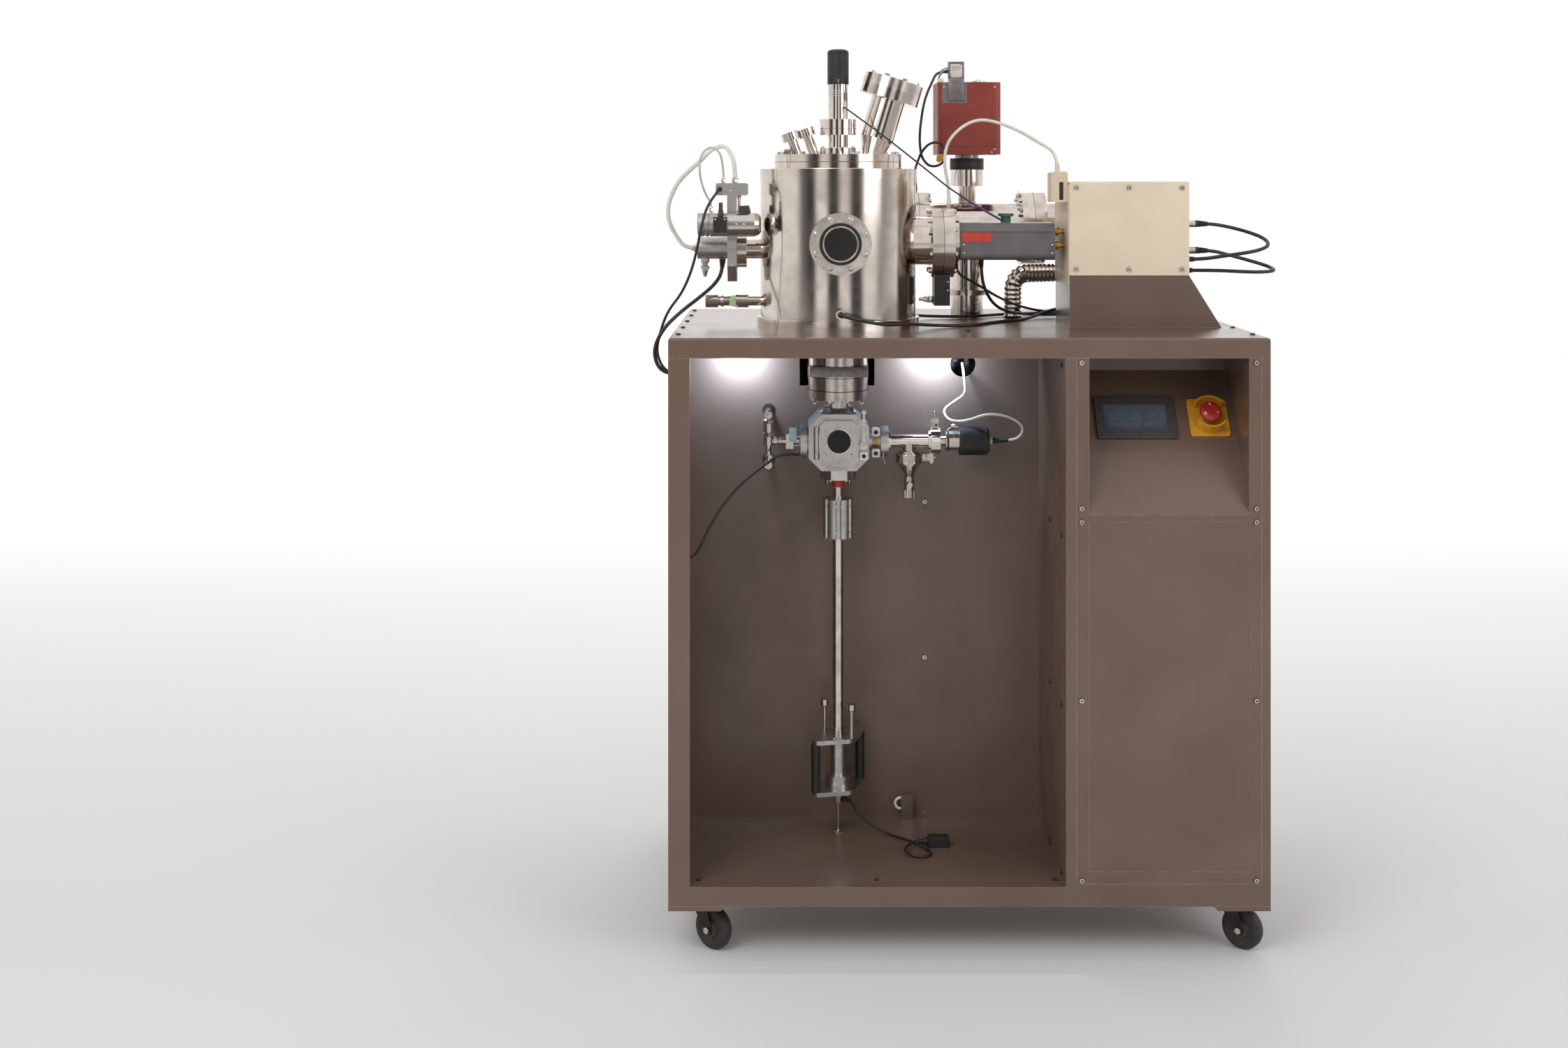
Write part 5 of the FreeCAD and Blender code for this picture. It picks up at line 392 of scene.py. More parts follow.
def new_material(name):
    """An empty material, its node tree, links and shader, and the object's own coordinates."""
    material = bpy.data.materials.new(name)
    material.use_nodes = True
    tree = Tree(material.node_tree)
    shader = material.node_tree.nodes["Principled BSDF"]
    place = tree.add("ShaderNodeTexCoord").outputs["Object"]
    return material, tree, material.node_tree.links, shader, place


def finish(
    name,
    colour,
    shade,
    rough=(0.35, 0.5),
    metal=0.0,
    edge=None,
    edge_wide=1.2,
    grain=900.0,
    stretch=(1.0, 1.0, 1.0),
    bump=0.03,
    patch=5.0,
    zones=(),
    **shader_values,
):
    """A procedural finish: colour and shade mixed in patches, a grain in the bump and roughness, and
    a lighter or darker edge, a painted highlight with some wear. Colours are written 0 to 255. A
    zone is a box between two corners in millimetres, with a colour, roughness and metal of its own."""
    material, tree, links, shader, place = new_material(name)
    colour, shade = tone(*colour), tone(*shade)
    patches = place_group(tree, PATCHES, {"Vector": place, "Scale": patch})
    fine = place_group(tree, GRAIN, {"Vector": place, "Stretch": stretch, "Scale": grain})
    painted = tree.mix(patches, colour, shade)
    speck = tree.spread(fine, 0.3, 0.7, 0.0, 0.35)
    painted = tree.mix(speck, painted, shade)
    rough_mix = tree.math("MULTIPLY", tree.math("ADD", patches, fine), 0.5)
    roughness = tree.spread(rough_mix, 0.15, 0.75, *rough)
    metallic = None
    for low, high, zone_colour, zone_rough, zone_metal in zones:
        mask = place_group(tree, BOX_MASK, {"Vector": place, "Low": mm(*low), "High": mm(*high)})
        zone_tone = tone(*zone_colour)
        shaded = tree.mix(speck, zone_tone, tuple(0.75 * part for part in zone_tone[:3]) + (1.0,))
        painted = tree.mix(mask, painted, shaded)
        roughness = tree.spread(mask, 0.0, 1.0, roughness, zone_rough)
        metallic = tree.spread(mask, 0.0, 1.0, metal if metallic is None else metallic, zone_metal)
    # The edge colour on the surface's sharp turns: a painted highlight, with some wear
    if edge is not None:
        mask = place_group(tree, EDGE_HIGHLIGHTS_AND_WEAR, {"Vector": place, "Width": edge_wide * MM})
        painted = tree.mix(mask, painted, tone(*edge))
    raised = tree.add("ShaderNodeBump", {"Height": fine, "Distance": 0.0002, "Strength": bump})
    links.new(painted, shader.inputs["Base Color"])
    links.new(roughness, shader.inputs["Roughness"])
    links.new(raised.outputs[0], shader.inputs["Normal"])
    if metallic is None:
        shader.inputs["Metallic"].default_value = metal
    else:
        links.new(metallic, shader.inputs["Metallic"])
    for label, value in shader_values.items():
        shader.inputs[label.replace("_", " ").title().replace("Ior", "IOR")].default_value = value
    return material


# Each finish's edge colour below is lighter than its paint: a painted highlight, with some wear, on its
# edges
TAUPE = finish(
    "taupe powder coat", (110, 88, 75), (99, 78, 66), rough=(0.24, 0.38), edge=(158, 132, 120),
    edge_wide=2.0, grain=1400.0, bump=0.05, patch=2.2, coat_weight=0.35, coat_roughness=0.16,
)
# The bay's copy of the taupe paint: a little lighter than TAUPE, painted light against the shade inside
# the bay, with a fainter edge highlight
INSIDE = finish(
    "taupe inside the bay", (112, 91, 79), (101, 81, 70), rough=(0.26, 0.4),
    edge=(140, 116, 104), edge_wide=1.2, grain=1400.0, bump=0.05, patch=2.5,
)
# Its darker grain runs in upright streaks: partly a brushed grain, partly painted reflection of light and
# dark bands
CHAMBER_STEEL = finish(
    "polished chamber steel", (222, 215, 208), (192, 182, 174), rough=(0.08, 0.17), metal=1.0,
    edge=(244, 240, 236), grain=240.0, stretch=(9.0, 9.0, 0.35), bump=0.02, patch=7.0,
    edge_wide=0.8,
)
STEEL = finish(
    "polished steel", (226, 220, 214), (198, 189, 181), rough=(0.07, 0.17), metal=1.0,
    edge=(240, 236, 232), grain=500.0, stretch=(1.0, 1.0, 5.0), bump=0.02, patch=14.0,
    edge_wide=0.6,
)
TURNED_LOOK = dict(
    colour=(224, 218, 212), shade=(192, 184, 176), rough=(0.13, 0.26), metal=1.0,
    edge=(238, 234, 230), grain=900.0, stretch=(1.0, 1.0, 3.0), bump=0.03, patch=18.0,
    edge_wide=0.7,
)
TURNED = finish("turned steel", **TURNED_LOOK)
BLASTED = finish(
    "satin aluminium", (204, 201, 199), (178, 174, 171), rough=(0.26, 0.42), metal=1.0,
    edge=(228, 226, 224), grain=2200.0, bump=0.06, patch=20.0, edge_wide=0.6,
)
BOLT = finish(
    "plated bolts", (230, 225, 218), (186, 180, 172), rough=(0.14, 0.3), metal=1.0, grain=1600.0,
    bump=0.03, patch=60.0, edge=(240, 236, 230), edge_wide=0.3,
)
BRONZE = finish(
    "turned bronze", (176, 132, 96), (136, 100, 74), rough=(0.22, 0.36), metal=1.0, grain=900.0,
    stretch=(1.0, 1.0, 6.0), bump=0.03, patch=30.0,
)
BLACK_LOOK = dict(
    colour=(38, 36, 34), shade=(28, 26, 25), rough=(0.4, 0.58), grain=2600.0, bump=0.08,
    patch=30.0, edge=(72, 68, 64), edge_wide=0.5,
)
BLACK = finish("black plastic", **BLACK_LOOK)
GREY_PLASTIC = finish(
    "dark grey plastic", (66, 63, 62), (54, 52, 51), rough=(0.42, 0.58), grain=2600.0, bump=0.08,
    patch=25.0, edge=(98, 94, 92), edge_wide=0.5,
)
HOUSING = finish(
    "grey analyser enamel", (106, 103, 105), (88, 84, 86), rough=(0.3, 0.45), grain=1500.0,
    bump=0.05, patch=12.0, edge=(140, 134, 132), edge_wide=0.8,
)
CREAM = finish(
    "cream enamel", (232, 216, 193), (222, 205, 181), rough=(0.34, 0.5), grain=1600.0, bump=0.04,
    patch=4.0, edge=(240, 228, 210), edge_wide=0.9,
)
YELLOW = finish(
    "yellow plastic", (224, 164, 48), (204, 142, 36), rough=(0.3, 0.44), grain=2200.0, bump=0.04,
    patch=30.0, edge=(240, 190, 90), edge_wide=0.5, coat_weight=0.2,
)
RED_BUTTON = finish(
    "red button plastic", (184, 48, 40), (160, 36, 32), rough=(0.24, 0.38), grain=2400.0,
    bump=0.03, patch=40.0, edge=(206, 86, 74), edge_wide=0.5, coat_weight=0.3,
)
WHITE = finish(
    "white plastic", (226, 222, 212), (208, 203, 192), rough=(0.36, 0.5), grain=2200.0, bump=0.04,
    patch=30.0, edge=(240, 238, 232), edge_wide=0.4,
)
RUBBER = finish(
    "caster rubber", (50, 47, 46), (38, 36, 35), rough=(0.5, 0.72), grain=1500.0, bump=0.12,
    patch=24.0, edge=(78, 74, 72), edge_wide=1.2,
)
FORK = finish(
    "black chromate fork", (56, 52, 50), (42, 39, 38), rough=(0.32, 0.48), metal=0.6, grain=1400.0,
    bump=0.05, patch=24.0, edge=(110, 104, 100), edge_wide=0.8,
)
PALE_BLUE = finish(
    "pale blue film", (170, 202, 212), (150, 186, 198), rough=(0.3, 0.45), grain=1500.0, bump=0.03,
    patch=60.0,
)
RED_PLATE = finish(
    "bare red plate", (206, 66, 48), (188, 54, 40), rough=(0.4, 0.55), grain=1800.0, bump=0.03,
    patch=60.0,
)
GOLD = finish(
    "gilt contact", (222, 178, 96), (186, 142, 70), rough=(0.18, 0.3), metal=1.0, grain=1500.0,
    bump=0.02, patch=80.0,
)
GREEN = finish(
    "green cap plastic", (52, 104, 82), (40, 86, 66), rough=(0.36, 0.5), grain=2200.0, bump=0.05,
    patch=60.0,
)
BLUE_SLEEVE = finish(
    "blue sleeve", (62, 72, 128), (50, 58, 108), rough=(0.36, 0.5), grain=2200.0, bump=0.05,
    patch=60.0,
)
BLACK_CORD = finish(
    "black cable jacket", (40, 37, 36), (30, 28, 27), rough=(0.38, 0.55), grain=1800.0, bump=0.08,
    patch=14.0,
)
WHITE_CORD = finish(
    "white cable jacket", (228, 224, 216), (208, 202, 192), rough=(0.34, 0.5), grain=1800.0,
    bump=0.05, patch=14.0,
)
PALE_HOSE = finish(
    "clear grey hose", (196, 196, 188), (172, 172, 162), rough=(0.22, 0.36), grain=1800.0,
    bump=0.03, patch=14.0,
)
LAMP = finish(
    "lamp lens", (250, 250, 252), (236, 238, 244), rough=(0.2, 0.3), grain=900.0, bump=0.02,
    patch=30.0, emission_color=(0.86, 0.92, 1.0, 1.0), emission_strength=6.0,
)
GAUGE_HEAD = finish(
    "red enamel box", (148, 58, 44), (130, 47, 36), rough=(0.34, 0.48), grain=1500.0, bump=0.05,
    patch=6.0, edge=(158, 84, 72), edge_wide=1.2,
    zones=(
        ((-90, 0, 1300), (200, 300, 1405.2), (200, 192, 186), 0.2, 1.0),
        ((-90, 0, 1405.2), (200, 300, 1428.8), (36, 34, 33), 0.5, 0.0),
        ((-90, 0, 1428.8), (200, 300, 1435.6), (160, 152, 146), 0.3, 1.0),
        ((-10, 90, 1540), (40, 98.2, 1700), (128, 126, 130), 0.4, 0.6),
        ((-10, 90, 1583), (40, 150, 1700), (128, 126, 130), 0.4, 0.6),
    ),
)
GREY_METAL = finish(
    "grey passivated sheet", (140, 134, 134), (118, 112, 112), rough=(0.34, 0.48), metal=0.8,
    grain=1500.0, bump=0.05, patch=24.0, edge=(186, 180, 178), edge_wide=0.5,
)
PALE_GREEN = finish(
    "pale green tape", (190, 214, 170), (172, 198, 150), rough=(0.4, 0.55), grain=1600.0,
    bump=0.05, patch=60.0,
)
FIELD = finish(
    "faint screen fields", (88, 95, 108), (80, 86, 99), rough=(0.14, 0.24), grain=1200.0,
    bump=0.01, patch=60.0,
)
CONNECTORS = finish(
    "connector parts", (222, 216, 210), (190, 182, 174), rough=(0.14, 0.28), metal=1.0,
    edge=(236, 230, 222), grain=900.0, bump=0.03, patch=18.0, edge_wide=0.6,
    zones=(
        ((184, -90, 1245), (208.9, -56, 1300), (206, 158, 84), 0.22, 1.0),
        ((80, -90, 1302.9), (114, -55, 1322), (46, 92, 70), 0.4, 0.0),
        ((177, -122, 1342), (209.1, -68, 1402), (218, 198, 172), 0.4, 0.0),
        ((-46, -100, 1140), (-9, -44, 1206), (34, 32, 31), 0.42, 0.0),
    ),
)
VALVE = finish(
    "valve parts", (202, 199, 197), (176, 172, 169), rough=(0.26, 0.42), metal=1.0,
    edge=(228, 226, 224), grain=2200.0, bump=0.06, patch=20.0, edge_wide=0.6,
    zones=(
        ((-434.6, -149, 1270), (-371, -101, 1325), (206, 202, 198), 0.16, 1.0),
        ((-461.2, -171, 1285), (-434.8, -147.9, 1317), (34, 32, 31), 0.42, 0.0),
    ),
)
GAUGE = finish(
    "gauge parts", **BLACK_LOOK,
    zones=(
        ((-31, -110, 850), (6.9, -40, 920), (204, 196, 188), 0.2, 1.0),
        ((64.2, -110, 850), (71, -40, 920), (222, 216, 206), 0.4, 0.0),
    ),
)
TRANSFER = finish(
    "transfer tube parts", (224, 218, 212), (194, 186, 178), rough=(0.08, 0.18), metal=1.0,
    edge=(240, 236, 232), grain=500.0, stretch=(1.0, 1.0, 0.2), bump=0.02, patch=14.0,
    edge_wide=0.6,
    zones=(((-240, -88, 795.9), (-210, -58, 813.1), (176, 56, 44), 0.42, 0.0),),
)
GRIPS = finish(
    "grips and rollers", **BLACK_LOOK,
    zones=(((-300, -140, 372), (-150, 0, 460), (206, 200, 192), 0.22, 1.0),),
)
FLOOR_PARTS = finish(
    "floor parts", (160, 150, 144), (132, 122, 116), rough=(0.32, 0.46), metal=1.0,
    edge=(214, 206, 200), grain=1500.0, bump=0.05, patch=24.0, edge_wide=0.5,
    zones=(((-61, -163, 134), (-18, -137, 156), (34, 32, 31), 0.46, 0.0),),
)
RINGED_FLANGES = finish(
    "flanges and viewport ring", **TURNED_LOOK,
    zones=(((-264.5, -245, 1228), (-185.5, -242.1, 1308), (48, 45, 44), 0.36, 0.4),),
)


def clear_glass(name, painted_shade_tint, rough, patch):
    """Glass with faint wiped smears in its roughness, and a dark colour that is painted shade."""
    material, tree, links, shader, place = new_material(name)
    patches = place_group(tree, PATCHES, {"Vector": place, "Scale": patch})
    links.new(tree.spread(patches, 0.0, 1.0, *rough), shader.inputs["Roughness"])
    links.new(tree.mix(patches, painted_shade_tint, (0.1, 0.098, 0.096, 1.0)), shader.inputs["Base Color"])
    shader.inputs["Transmission Weight"].default_value = 1.0
    shader.inputs["IOR"].default_value = 1.46
    return material


def display_glass(name, low, high):
    """An unlit touch display: a slate field, lighter upwards as a painted reflection, with faint wiped
    patches.
    """
    material, tree, links, shader, place = new_material(name)
    height = tree.add("ShaderNodeSeparateXYZ", {0: place}).outputs[2]
    patches = place_group(tree, PATCHES, {"Vector": place, "Scale": 30.0})
    # The slate grows lighter upwards: a painted reflection on the dark glass
    slate = tree.mix(tree.spread(height, low, high), tone(62, 66, 78), tone(84, 90, 102))
    wiped = tree.mix(tree.math("MULTIPLY", patches, 0.3), slate, tone(104, 112, 122))
    links.new(wiped, shader.inputs["Base Color"])
    links.new(tree.spread(patches, 0.0, 1.0, 0.12, 0.26), shader.inputs["Roughness"])
    shader.inputs["Coat Weight"].default_value = 0.6
    shader.inputs["Coat Roughness"].default_value = 0.08
    return material


# The viewport and door window glass: its dark colour is painted shade, the darkness inside the chamber and
# the lock seen through it
VIEWPORT_GLASS = clear_glass("viewport glass", (0.13, 0.125, 0.12, 1.0), (0.02, 0.07), 30.0)
SCREEN = display_glass("touch display", 0.91, 0.975)

NODE_FINISHES = {
    "front_frame": TAUPE, "base_tray": INSIDE, "table_top": TAUPE, "side_panels": TAUPE,
    "rear_panel": TAUPE, "bay_back_wall": INSIDE, "bay_partition": INSIDE, "control_fascia": TAUPE,
    "lower_front_panel": TAUPE, "panel_screws": BOLT, "bay_lamps": WHITE, "touch_panel": GREY_PLASTIC,
    "touch_screen": SCREEN, "emo_guard": YELLOW, "emo_stem": BLACK, "emo_head": RED_BUTTON,
    "analysis_chamber": CHAMBER_STEEL, "chamber_lid": CHAMBER_STEEL, "mating_flanges": RINGED_FLANGES,
    "viewport_glass": VIEWPORT_GLASS, "top_feedthrough": STEEL, "feedthrough_knob": BLACK,
    "analyser_housing": HOUSING, "rf_box": CREAM, "rf_stand": TAUPE, "signal_connectors": CONNECTORS,
    "pump_manifold": STEEL, "gauge_head": GAUGE_HEAD, "turbo_pump": TURNED, "foreline_bellows": STEEL,
    "inlet_valve": VALVE, "gate_valve": TURNED, "lock_neck": TURNED, "load_lock_body": BLASTED,
    "load_lock_door": BLASTED, "door_window": VIEWPORT_GLASS, "door_lever": BOLT, "gas_line": STEEL,
    "pump_tee": STEEL, "vacuum_gauge": GAUGE, "vent_valve": STEEL, "vent_knob": STEEL,
    "transfer_tube": TRANSFER, "tube_coupler": BLASTED, "carriage": BLASTED, "carriage_grips": GRIPS,
    "transfer_rod": STEEL, "flange_bolts": BOLT, "floor_fittings": FLOOR_PARTS, "bay_cords": BLACK_CORD,
    "upper_cables": BLACK_CORD, "table_cables": BLACK_CORD,
}
for corner in ("front_left", "front_right", "rear_left", "rear_right"):
    NODE_FINISHES[f"{corner}_fork"] = FORK
    NODE_FINISHES[f"{corner}_wheel"] = RUBBER
for name, node in nodes.items():
    node.data.materials.clear()
    node.data.materials.append(NODE_FINISHES[name])


# Cords: the node that each stands for, its diameter, finish, stiffness, lay and route, in millimetres


def nurbs_line(name, points):
    """A NURBS curve with the route's points as its control points."""
    curve = bpy.data.curves.new(name, "CURVE")
    curve.dimensions = "3D"
    spline = curve.splines.new("NURBS")
    spline.points.add(len(points) - 1)
    weights = np.ones((len(points), 1))
    spline.points.foreach_set("co", np.hstack([np.array(points), weights]).ravel())
    spline.order_u = 3
    spline.use_endpoint_u = True
    spline.resolution_u = 8
    return curve


def centreline(points):
    """Points along the route's own NURBS spline."""
    curve = nurbs_line("centreline", points)
    holder = bpy.data.objects.new("centreline", curve)
    bpy.context.scene.collection.objects.link(holder)
    bpy.context.view_layer.update()
    mesh = bpy.data.meshes.new_from_object(holder)
    line = np.empty(len(mesh.vertices) * 3)
    mesh.vertices.foreach_get("co", line)
    bpy.data.objects.remove(holder)
    bpy.data.curves.remove(curve)
    bpy.data.meshes.remove(mesh)
    return line.reshape(-1, 3)


def part_of_line(line, start, end, count=12):
    """The stretch of a line between two distances along it, evenly sampled."""
    far = np.concatenate([[0.0], np.cumsum(np.linalg.norm(np.diff(line, axis=0), axis=1))])
    start, end = (far[-1] + value if value < 0 else value for value in (start, end))
    wanted = np.linspace(start, end, count)
    return np.stack([np.interp(wanted, far, line[:, n]) for n in range(3)], axis=1)


CORD_FINISHES = {"black": BLACK_CORD, "white": WHITE_CORD, "pale": PALE_HOSE}
CORDS = {
    "floor_cord": ("bay_cords", 5, "black", "limp", "loose", mm(
        (-216.8, -75, 196), (-199, -75, 196), (-189, -78, 171), (-169, -87, 157), (-147, -97, 147),
        (-125, -110, 140), (-107, -130, 142), (-89, -149, 143), (-69, -167, 140), (-53, -187, 137),
        (-64, -210, 137), (-89, -211, 139), (-106, -192, 142), (-98, -168, 144), (-78, -150, 144),
        (-60.2, -150, 144)
    )),
    "lock_cable": ("bay_cords", 5, "black", "limp", "hanging", mm(
        (-297.3, -95, 862), (-337, -95, 862), (-353, -145, 858), (-383, -184, 842),
        (-416, -218, 818), (-446, -246, 784), (-470, -270, 744), (-490, -292, 700),
        (-529.7, -292, 700)
    )),
    "gauge_cable": ("bay_cords", 5, "white", "limp", "hanging", mm(
        (78.3, -73, 884), (98, -73, 884), (123, -84, 891), (129, -96, 914), (108, -104, 931),
        (80, -103, 939), (53, -94, 937), (30, -82, 926), (10, -62, 919), (-12, -46, 920),
        (-21, -35, 938), (1, -30, 953), (25, -30, 968), (22, -28, 996), (21, -12, 1018),
        (22, 14, 1023)
    )),
    "air_hose": ("upper_cables", 8, "white", "medium", "hanging", mm(
        (-421, -125, 1379.3), (-421, -125, 1403), (-426, -113, 1429), (-441, -103, 1452),
        (-467, -102, 1444), (-486, -99, 1423), (-508, -96, 1404), (-529, -93, 1384),
        (-543, -91, 1359), (-552, -86, 1331), (-549, -81, 1303), (-536, -76, 1278),
        (-519, -73, 1254), (-495.3, -73, 1254)
    )),
    "thin_hose": ("upper_cables", 4, "pale", "limp", "hanging", mm(
        (-443, -124, 1379.3), (-443, -124, 1396), (-445, -129, 1416), (-449, -132, 1437),
        (-465, -130, 1449), (-482, -132, 1439), (-488, -134, 1419), (-488, -133, 1398),
        (-484, -131, 1378), (-477, -128, 1358), (-466, -125, 1341), (-466, -125, 1324.2)
    )),
    "switch_cable": ("upper_cables", 5, "black", "limp", "hanging", mm(
        (-450, -134.3, 1368), (-450, -154, 1368), (-474, -167, 1334), (-484, -172, 1292),
        (-492, -171, 1249), (-504, -162, 1208), (-522, -149, 1170), (-548, -134, 1138),
        (-563, -124, 1098), (-572, -116, 1056), (-553, -110, 1018), (-533.3, -110, 1018)
    )),
    "valve_cable": ("upper_cables", 7, "black", "limp", "hanging", mm(
        (-447, -73, 1233.2), (-447, -73, 1209), (-460, -88, 1186), (-489, -114, 1162),
        (-522, -142, 1138), (-556, -160, 1106), (-575, -157, 1064), (-560, -150, 1022),
        (-533.3, -150, 1022)
    )),
    "feedthrough_wire": ("upper_cables", 3, "black", "limp", "taut", mm(
        (-213.7, -89.6, 1524), (-152, -140, 1477), (-66, -142, 1409), (4, -124, 1353),
        (88.6, -78.2, 1307.5)
    )),
    "signal_cable": ("upper_cables", 6, "white", "limp", "hanging", mm(
        (-12, -73, 1338.3), (-12, -73, 1374), (-22, -82, 1412), (-19, -86, 1453), (7, -89, 1485),
        (43, -92, 1502), (84, -94, 1494), (122, -95, 1478), (157, -95, 1457), (193, -95, 1436),
        (193, -95, 1401.3)
    )),
    "gauge_lead": ("upper_cables", 5, "black", "limp", "hanging", mm(
        (1.2, 103, 1604), (-20, 103, 1604), (-31, 99, 1581), (-42, 95, 1557), (-49, 92, 1532),
        (-53, 90, 1506), (-56, 90, 1480), (-56, 90, 1454), (-52, 88, 1428), (-36, 84, 1410),
        (-12, 78, 1415), (-3, 73, 1438), (-15, 71, 1460), (-38, 71, 1459), (-54, 79, 1440),
        (-60, 95, 1421), (-63, 117, 1408), (-61, 142, 1401), (-60, 162, 1384), (-60, 162, 1363.3)
    )),
    "heater_cable": ("table_cables", 6, "black", "medium", "loose", mm(
        (-106, 27, 1115), (-75, 53, 1115), (-32, 76, 1111), (16, 82, 1110), (63, 95, 1110),
        (100, 127, 1110), (140, 154, 1110), (187, 168, 1110), (233, 152, 1115), (255, 124, 1147),
        (265, 101, 1190), (265, 85, 1236), (265, 45.3, 1236)
    )),
    "thermocouple_cable": ("table_cables", 6, "black", "limp", "loose", mm(
        (-225, -242.3, 1139), (-225, -267, 1139), (-184, -287, 1131), (-144, -260, 1122),
        (-113, -222, 1120), (-83, -183, 1117), (-52, -145, 1112), (-9, -120, 1109),
        (36, -101, 1109), (63, -60, 1109), (94, -22, 1109), (130, 12, 1108), (162, 49, 1110),
        (191, 88, 1118), (235, 107, 1127), (277, 109, 1150), (303, 95, 1190), (304, 70, 1232),
        (304, 45.3, 1232)
    )),
    "analyser_cable": ("table_cables", 6, "black", "medium", "loose", mm(
        (50, -73, 1232.7), (50, -73, 1194), (67, -47, 1157), (89, -10, 1135), (116, 29, 1124),
        (143, 69, 1117), (176, 101, 1113), (223, 88, 1113), (268, 72, 1122), (300, 40, 1140),
        (324, 4, 1162), (324, 4, 1200.7)
    )),
    "flange_cable": ("table_cables", 5, "black", "limp", "loose", mm(
        (1, -73, 1228.2), (1, -73, 1206), (36, -52, 1188), (64, -22, 1171), (89, 13, 1156),
        (113, 49, 1144), (141, 81, 1132), (174, 110, 1122), (215, 124, 1115), (253, 101, 1112),
        (292, 79, 1113), (328, 54, 1121), (356, 27, 1143), (370, 4, 1178), (370, 4, 1200.7)
    )),
    "upper_side_cable": ("table_cables", 7, "black", "medium", "loose", mm(
        (468.3, -39, 1300), (499, -39, 1300), (534, -31, 1294), (570, -29, 1285), (600, -46, 1273),
        (603, -79, 1260), (577, -103, 1251), (540, -109, 1245), (504, -108, 1240),
        (468, -100, 1234), (437.3, -100, 1234)
    )),
    "lower_side_cable": ("table_cables", 7, "black", "medium", "loose", mm(
        (468.3, -39, 1248.5), (499, -39, 1248.5), (536, -28, 1239), (574, -22, 1229),
        (610, -36, 1218), (617, -72, 1211), (586, -95, 1209), (546, -98, 1210), (507, -93, 1212),
        (468, -84, 1212), (437.3, -84, 1212)
    )),
}


def lay_cord(name):
    """One cord: a round tube on its route's spline, with its measured diameter and its finish."""
    node, wide, colour, stiffness, lay, route = CORDS[name]
    points, diameter = [tuple(at) for at in route.tolist()], wide * MM
    curve = nurbs_line(name, points)
    curve.bevel_depth = diameter / 2
    curve.bevel_resolution = 3
    curve.use_fill_caps = True
    curve.materials.append(CORD_FINISHES[colour])
    made = bpy.data.objects.new(name, curve)
    bpy.context.scene.collection.objects.link(made)
    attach(made, "cabinet")
    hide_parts(node)
    line = centreline(points)
    return line


lines = {name: lay_cord(name) for name in CORDS}


# Small fittings: each function below the shared shapes makes the pieces of one part of the machine


def pan_head(at, axis, radius, tall):
    """A round screw head, domed by a quarter ellipse: radius * cos(a), tall * sin(a). Radius and
    height are in millimetres, here and in the screws, nuts and beads below."""
    radius, tall = radius * MM, tall * MM
    angle = np.linspace(0, math.pi / 2, 6)
    dome = np.stack([radius * np.cos(angle), tall * np.sin(angle)], axis=1)
    dome[-1, 0] = radius * 0.08
    return turned(dome, at, axis, sides=20)


def socket_screws(name, places, axis, radius, tall, body="cabinet"):
    """Screws in a row, all along one axis, with a dark disc in each socket: painted shade in the recess.
    """
    axis = unit(axis)
    heads = [pan_head(np.asarray(at), axis, radius, tall) for at in places]
    wide, top = radius * MM * 0.42, axis * (tall * MM) * 0.96
    # A thin dark disc in each socket is painted shade, the shade inside the recess
    dark = [(wide, 0.0), (wide, 0.15 * MM)]
    socket_shades = [turned(dark, np.asarray(at) + top, axis, sides=6) for at in places]
    piece(f"{name}_heads", joined(*heads), BOLT, body)
    piece(f"{name}_sockets", joined(*socket_shades), BLACK, body)


def hex_nut(at, axis, radius, tall, start=0.0):
    """A hexagon whose corners are turned off at both faces."""
    radius, tall = radius * MM, tall * MM
    slim = radius * 0.9
    profile = [(slim, 0), (radius, tall * 0.12), (radius, tall * 0.88), (slim, tall)]
    return turned(profile, at, axis, sides=6, start=start)


def collar(profile, at, axis, round_by, sides=40):
    """A ring with soft corners; its profile and rounding are in millimetres."""
    return turned(soft_profile(mm(*profile), round_by), at, axis, sides=sides, ring=True)


def plate(wide, tall, corner, at, side, up, thick, round_by=0.4):
    """A flat plate with round corners, its sizes in millimetres."""
    outline = rounded_rectangle(wide, tall, corner)
    return slab(outline, at, side, up, thick, round_by)


def on_line(height):
    """A place on the upright axis that the chamber, the lock and the transfer line share."""
    return CHAMBER + Z * height * MM


def on_port(x):
    """A place on the level axis of the lock's two side ports."""
    return mm(x, -73, 884)


def bead(at, radius, thick=1.4):
    """A weld bead round an upright joint: a half circle whose height is rippled by a sine of the angle."""
    radius, thick = radius * MM, thick * MM
    angle = np.linspace(0, math.pi, 5)
    profile = [(radius + thick * math.sin(a), -thick * math.cos(a)) for a in angle]
    points, faces = turned(profile, at, sides=120, ring=True)
    out = points - at
    along_axis = (out @ Z)[:, None] * Z
    radial = out - along_axis
    side, other = across(Z)
    turn = np.arctan2(radial @ other, radial @ side)[:, None]
    ripple = 1 + 0.12 * thick / radius * np.sin(turn * round(radius / MM))
    return at + along_axis + radial * ripple, faces


def arc(centre, radius, side, up, start, end, count=40):
    """Points along a circle, its radius in millimetres, between two angles in degrees."""
    angle = np.radians(np.linspace(start, end, count))[:, None]
    return np.asarray(centre) + radius * MM * (np.cos(angle) * unit(side) + np.sin(angle) * unit(up))


def wing(at, side, up, long, wide):
    """A wing nut's wings: an outline whose radius swells and shrinks twice a turn."""
    long, wide, thick = long * MM, wide * MM, 2.6
    angle = np.linspace(0, 2 * math.pi, 40, endpoint=False)
    radius = wide + (long - wide) * np.abs(np.cos(angle)) ** 1.6
    outline = np.stack([radius * np.cos(angle), 0.72 * radius * np.sin(angle)], axis=1)
    out = np.cross(unit(side), unit(up))
    return slab(outline, np.asarray(at) - out * (thick * MM) / 2, side, up, thick)


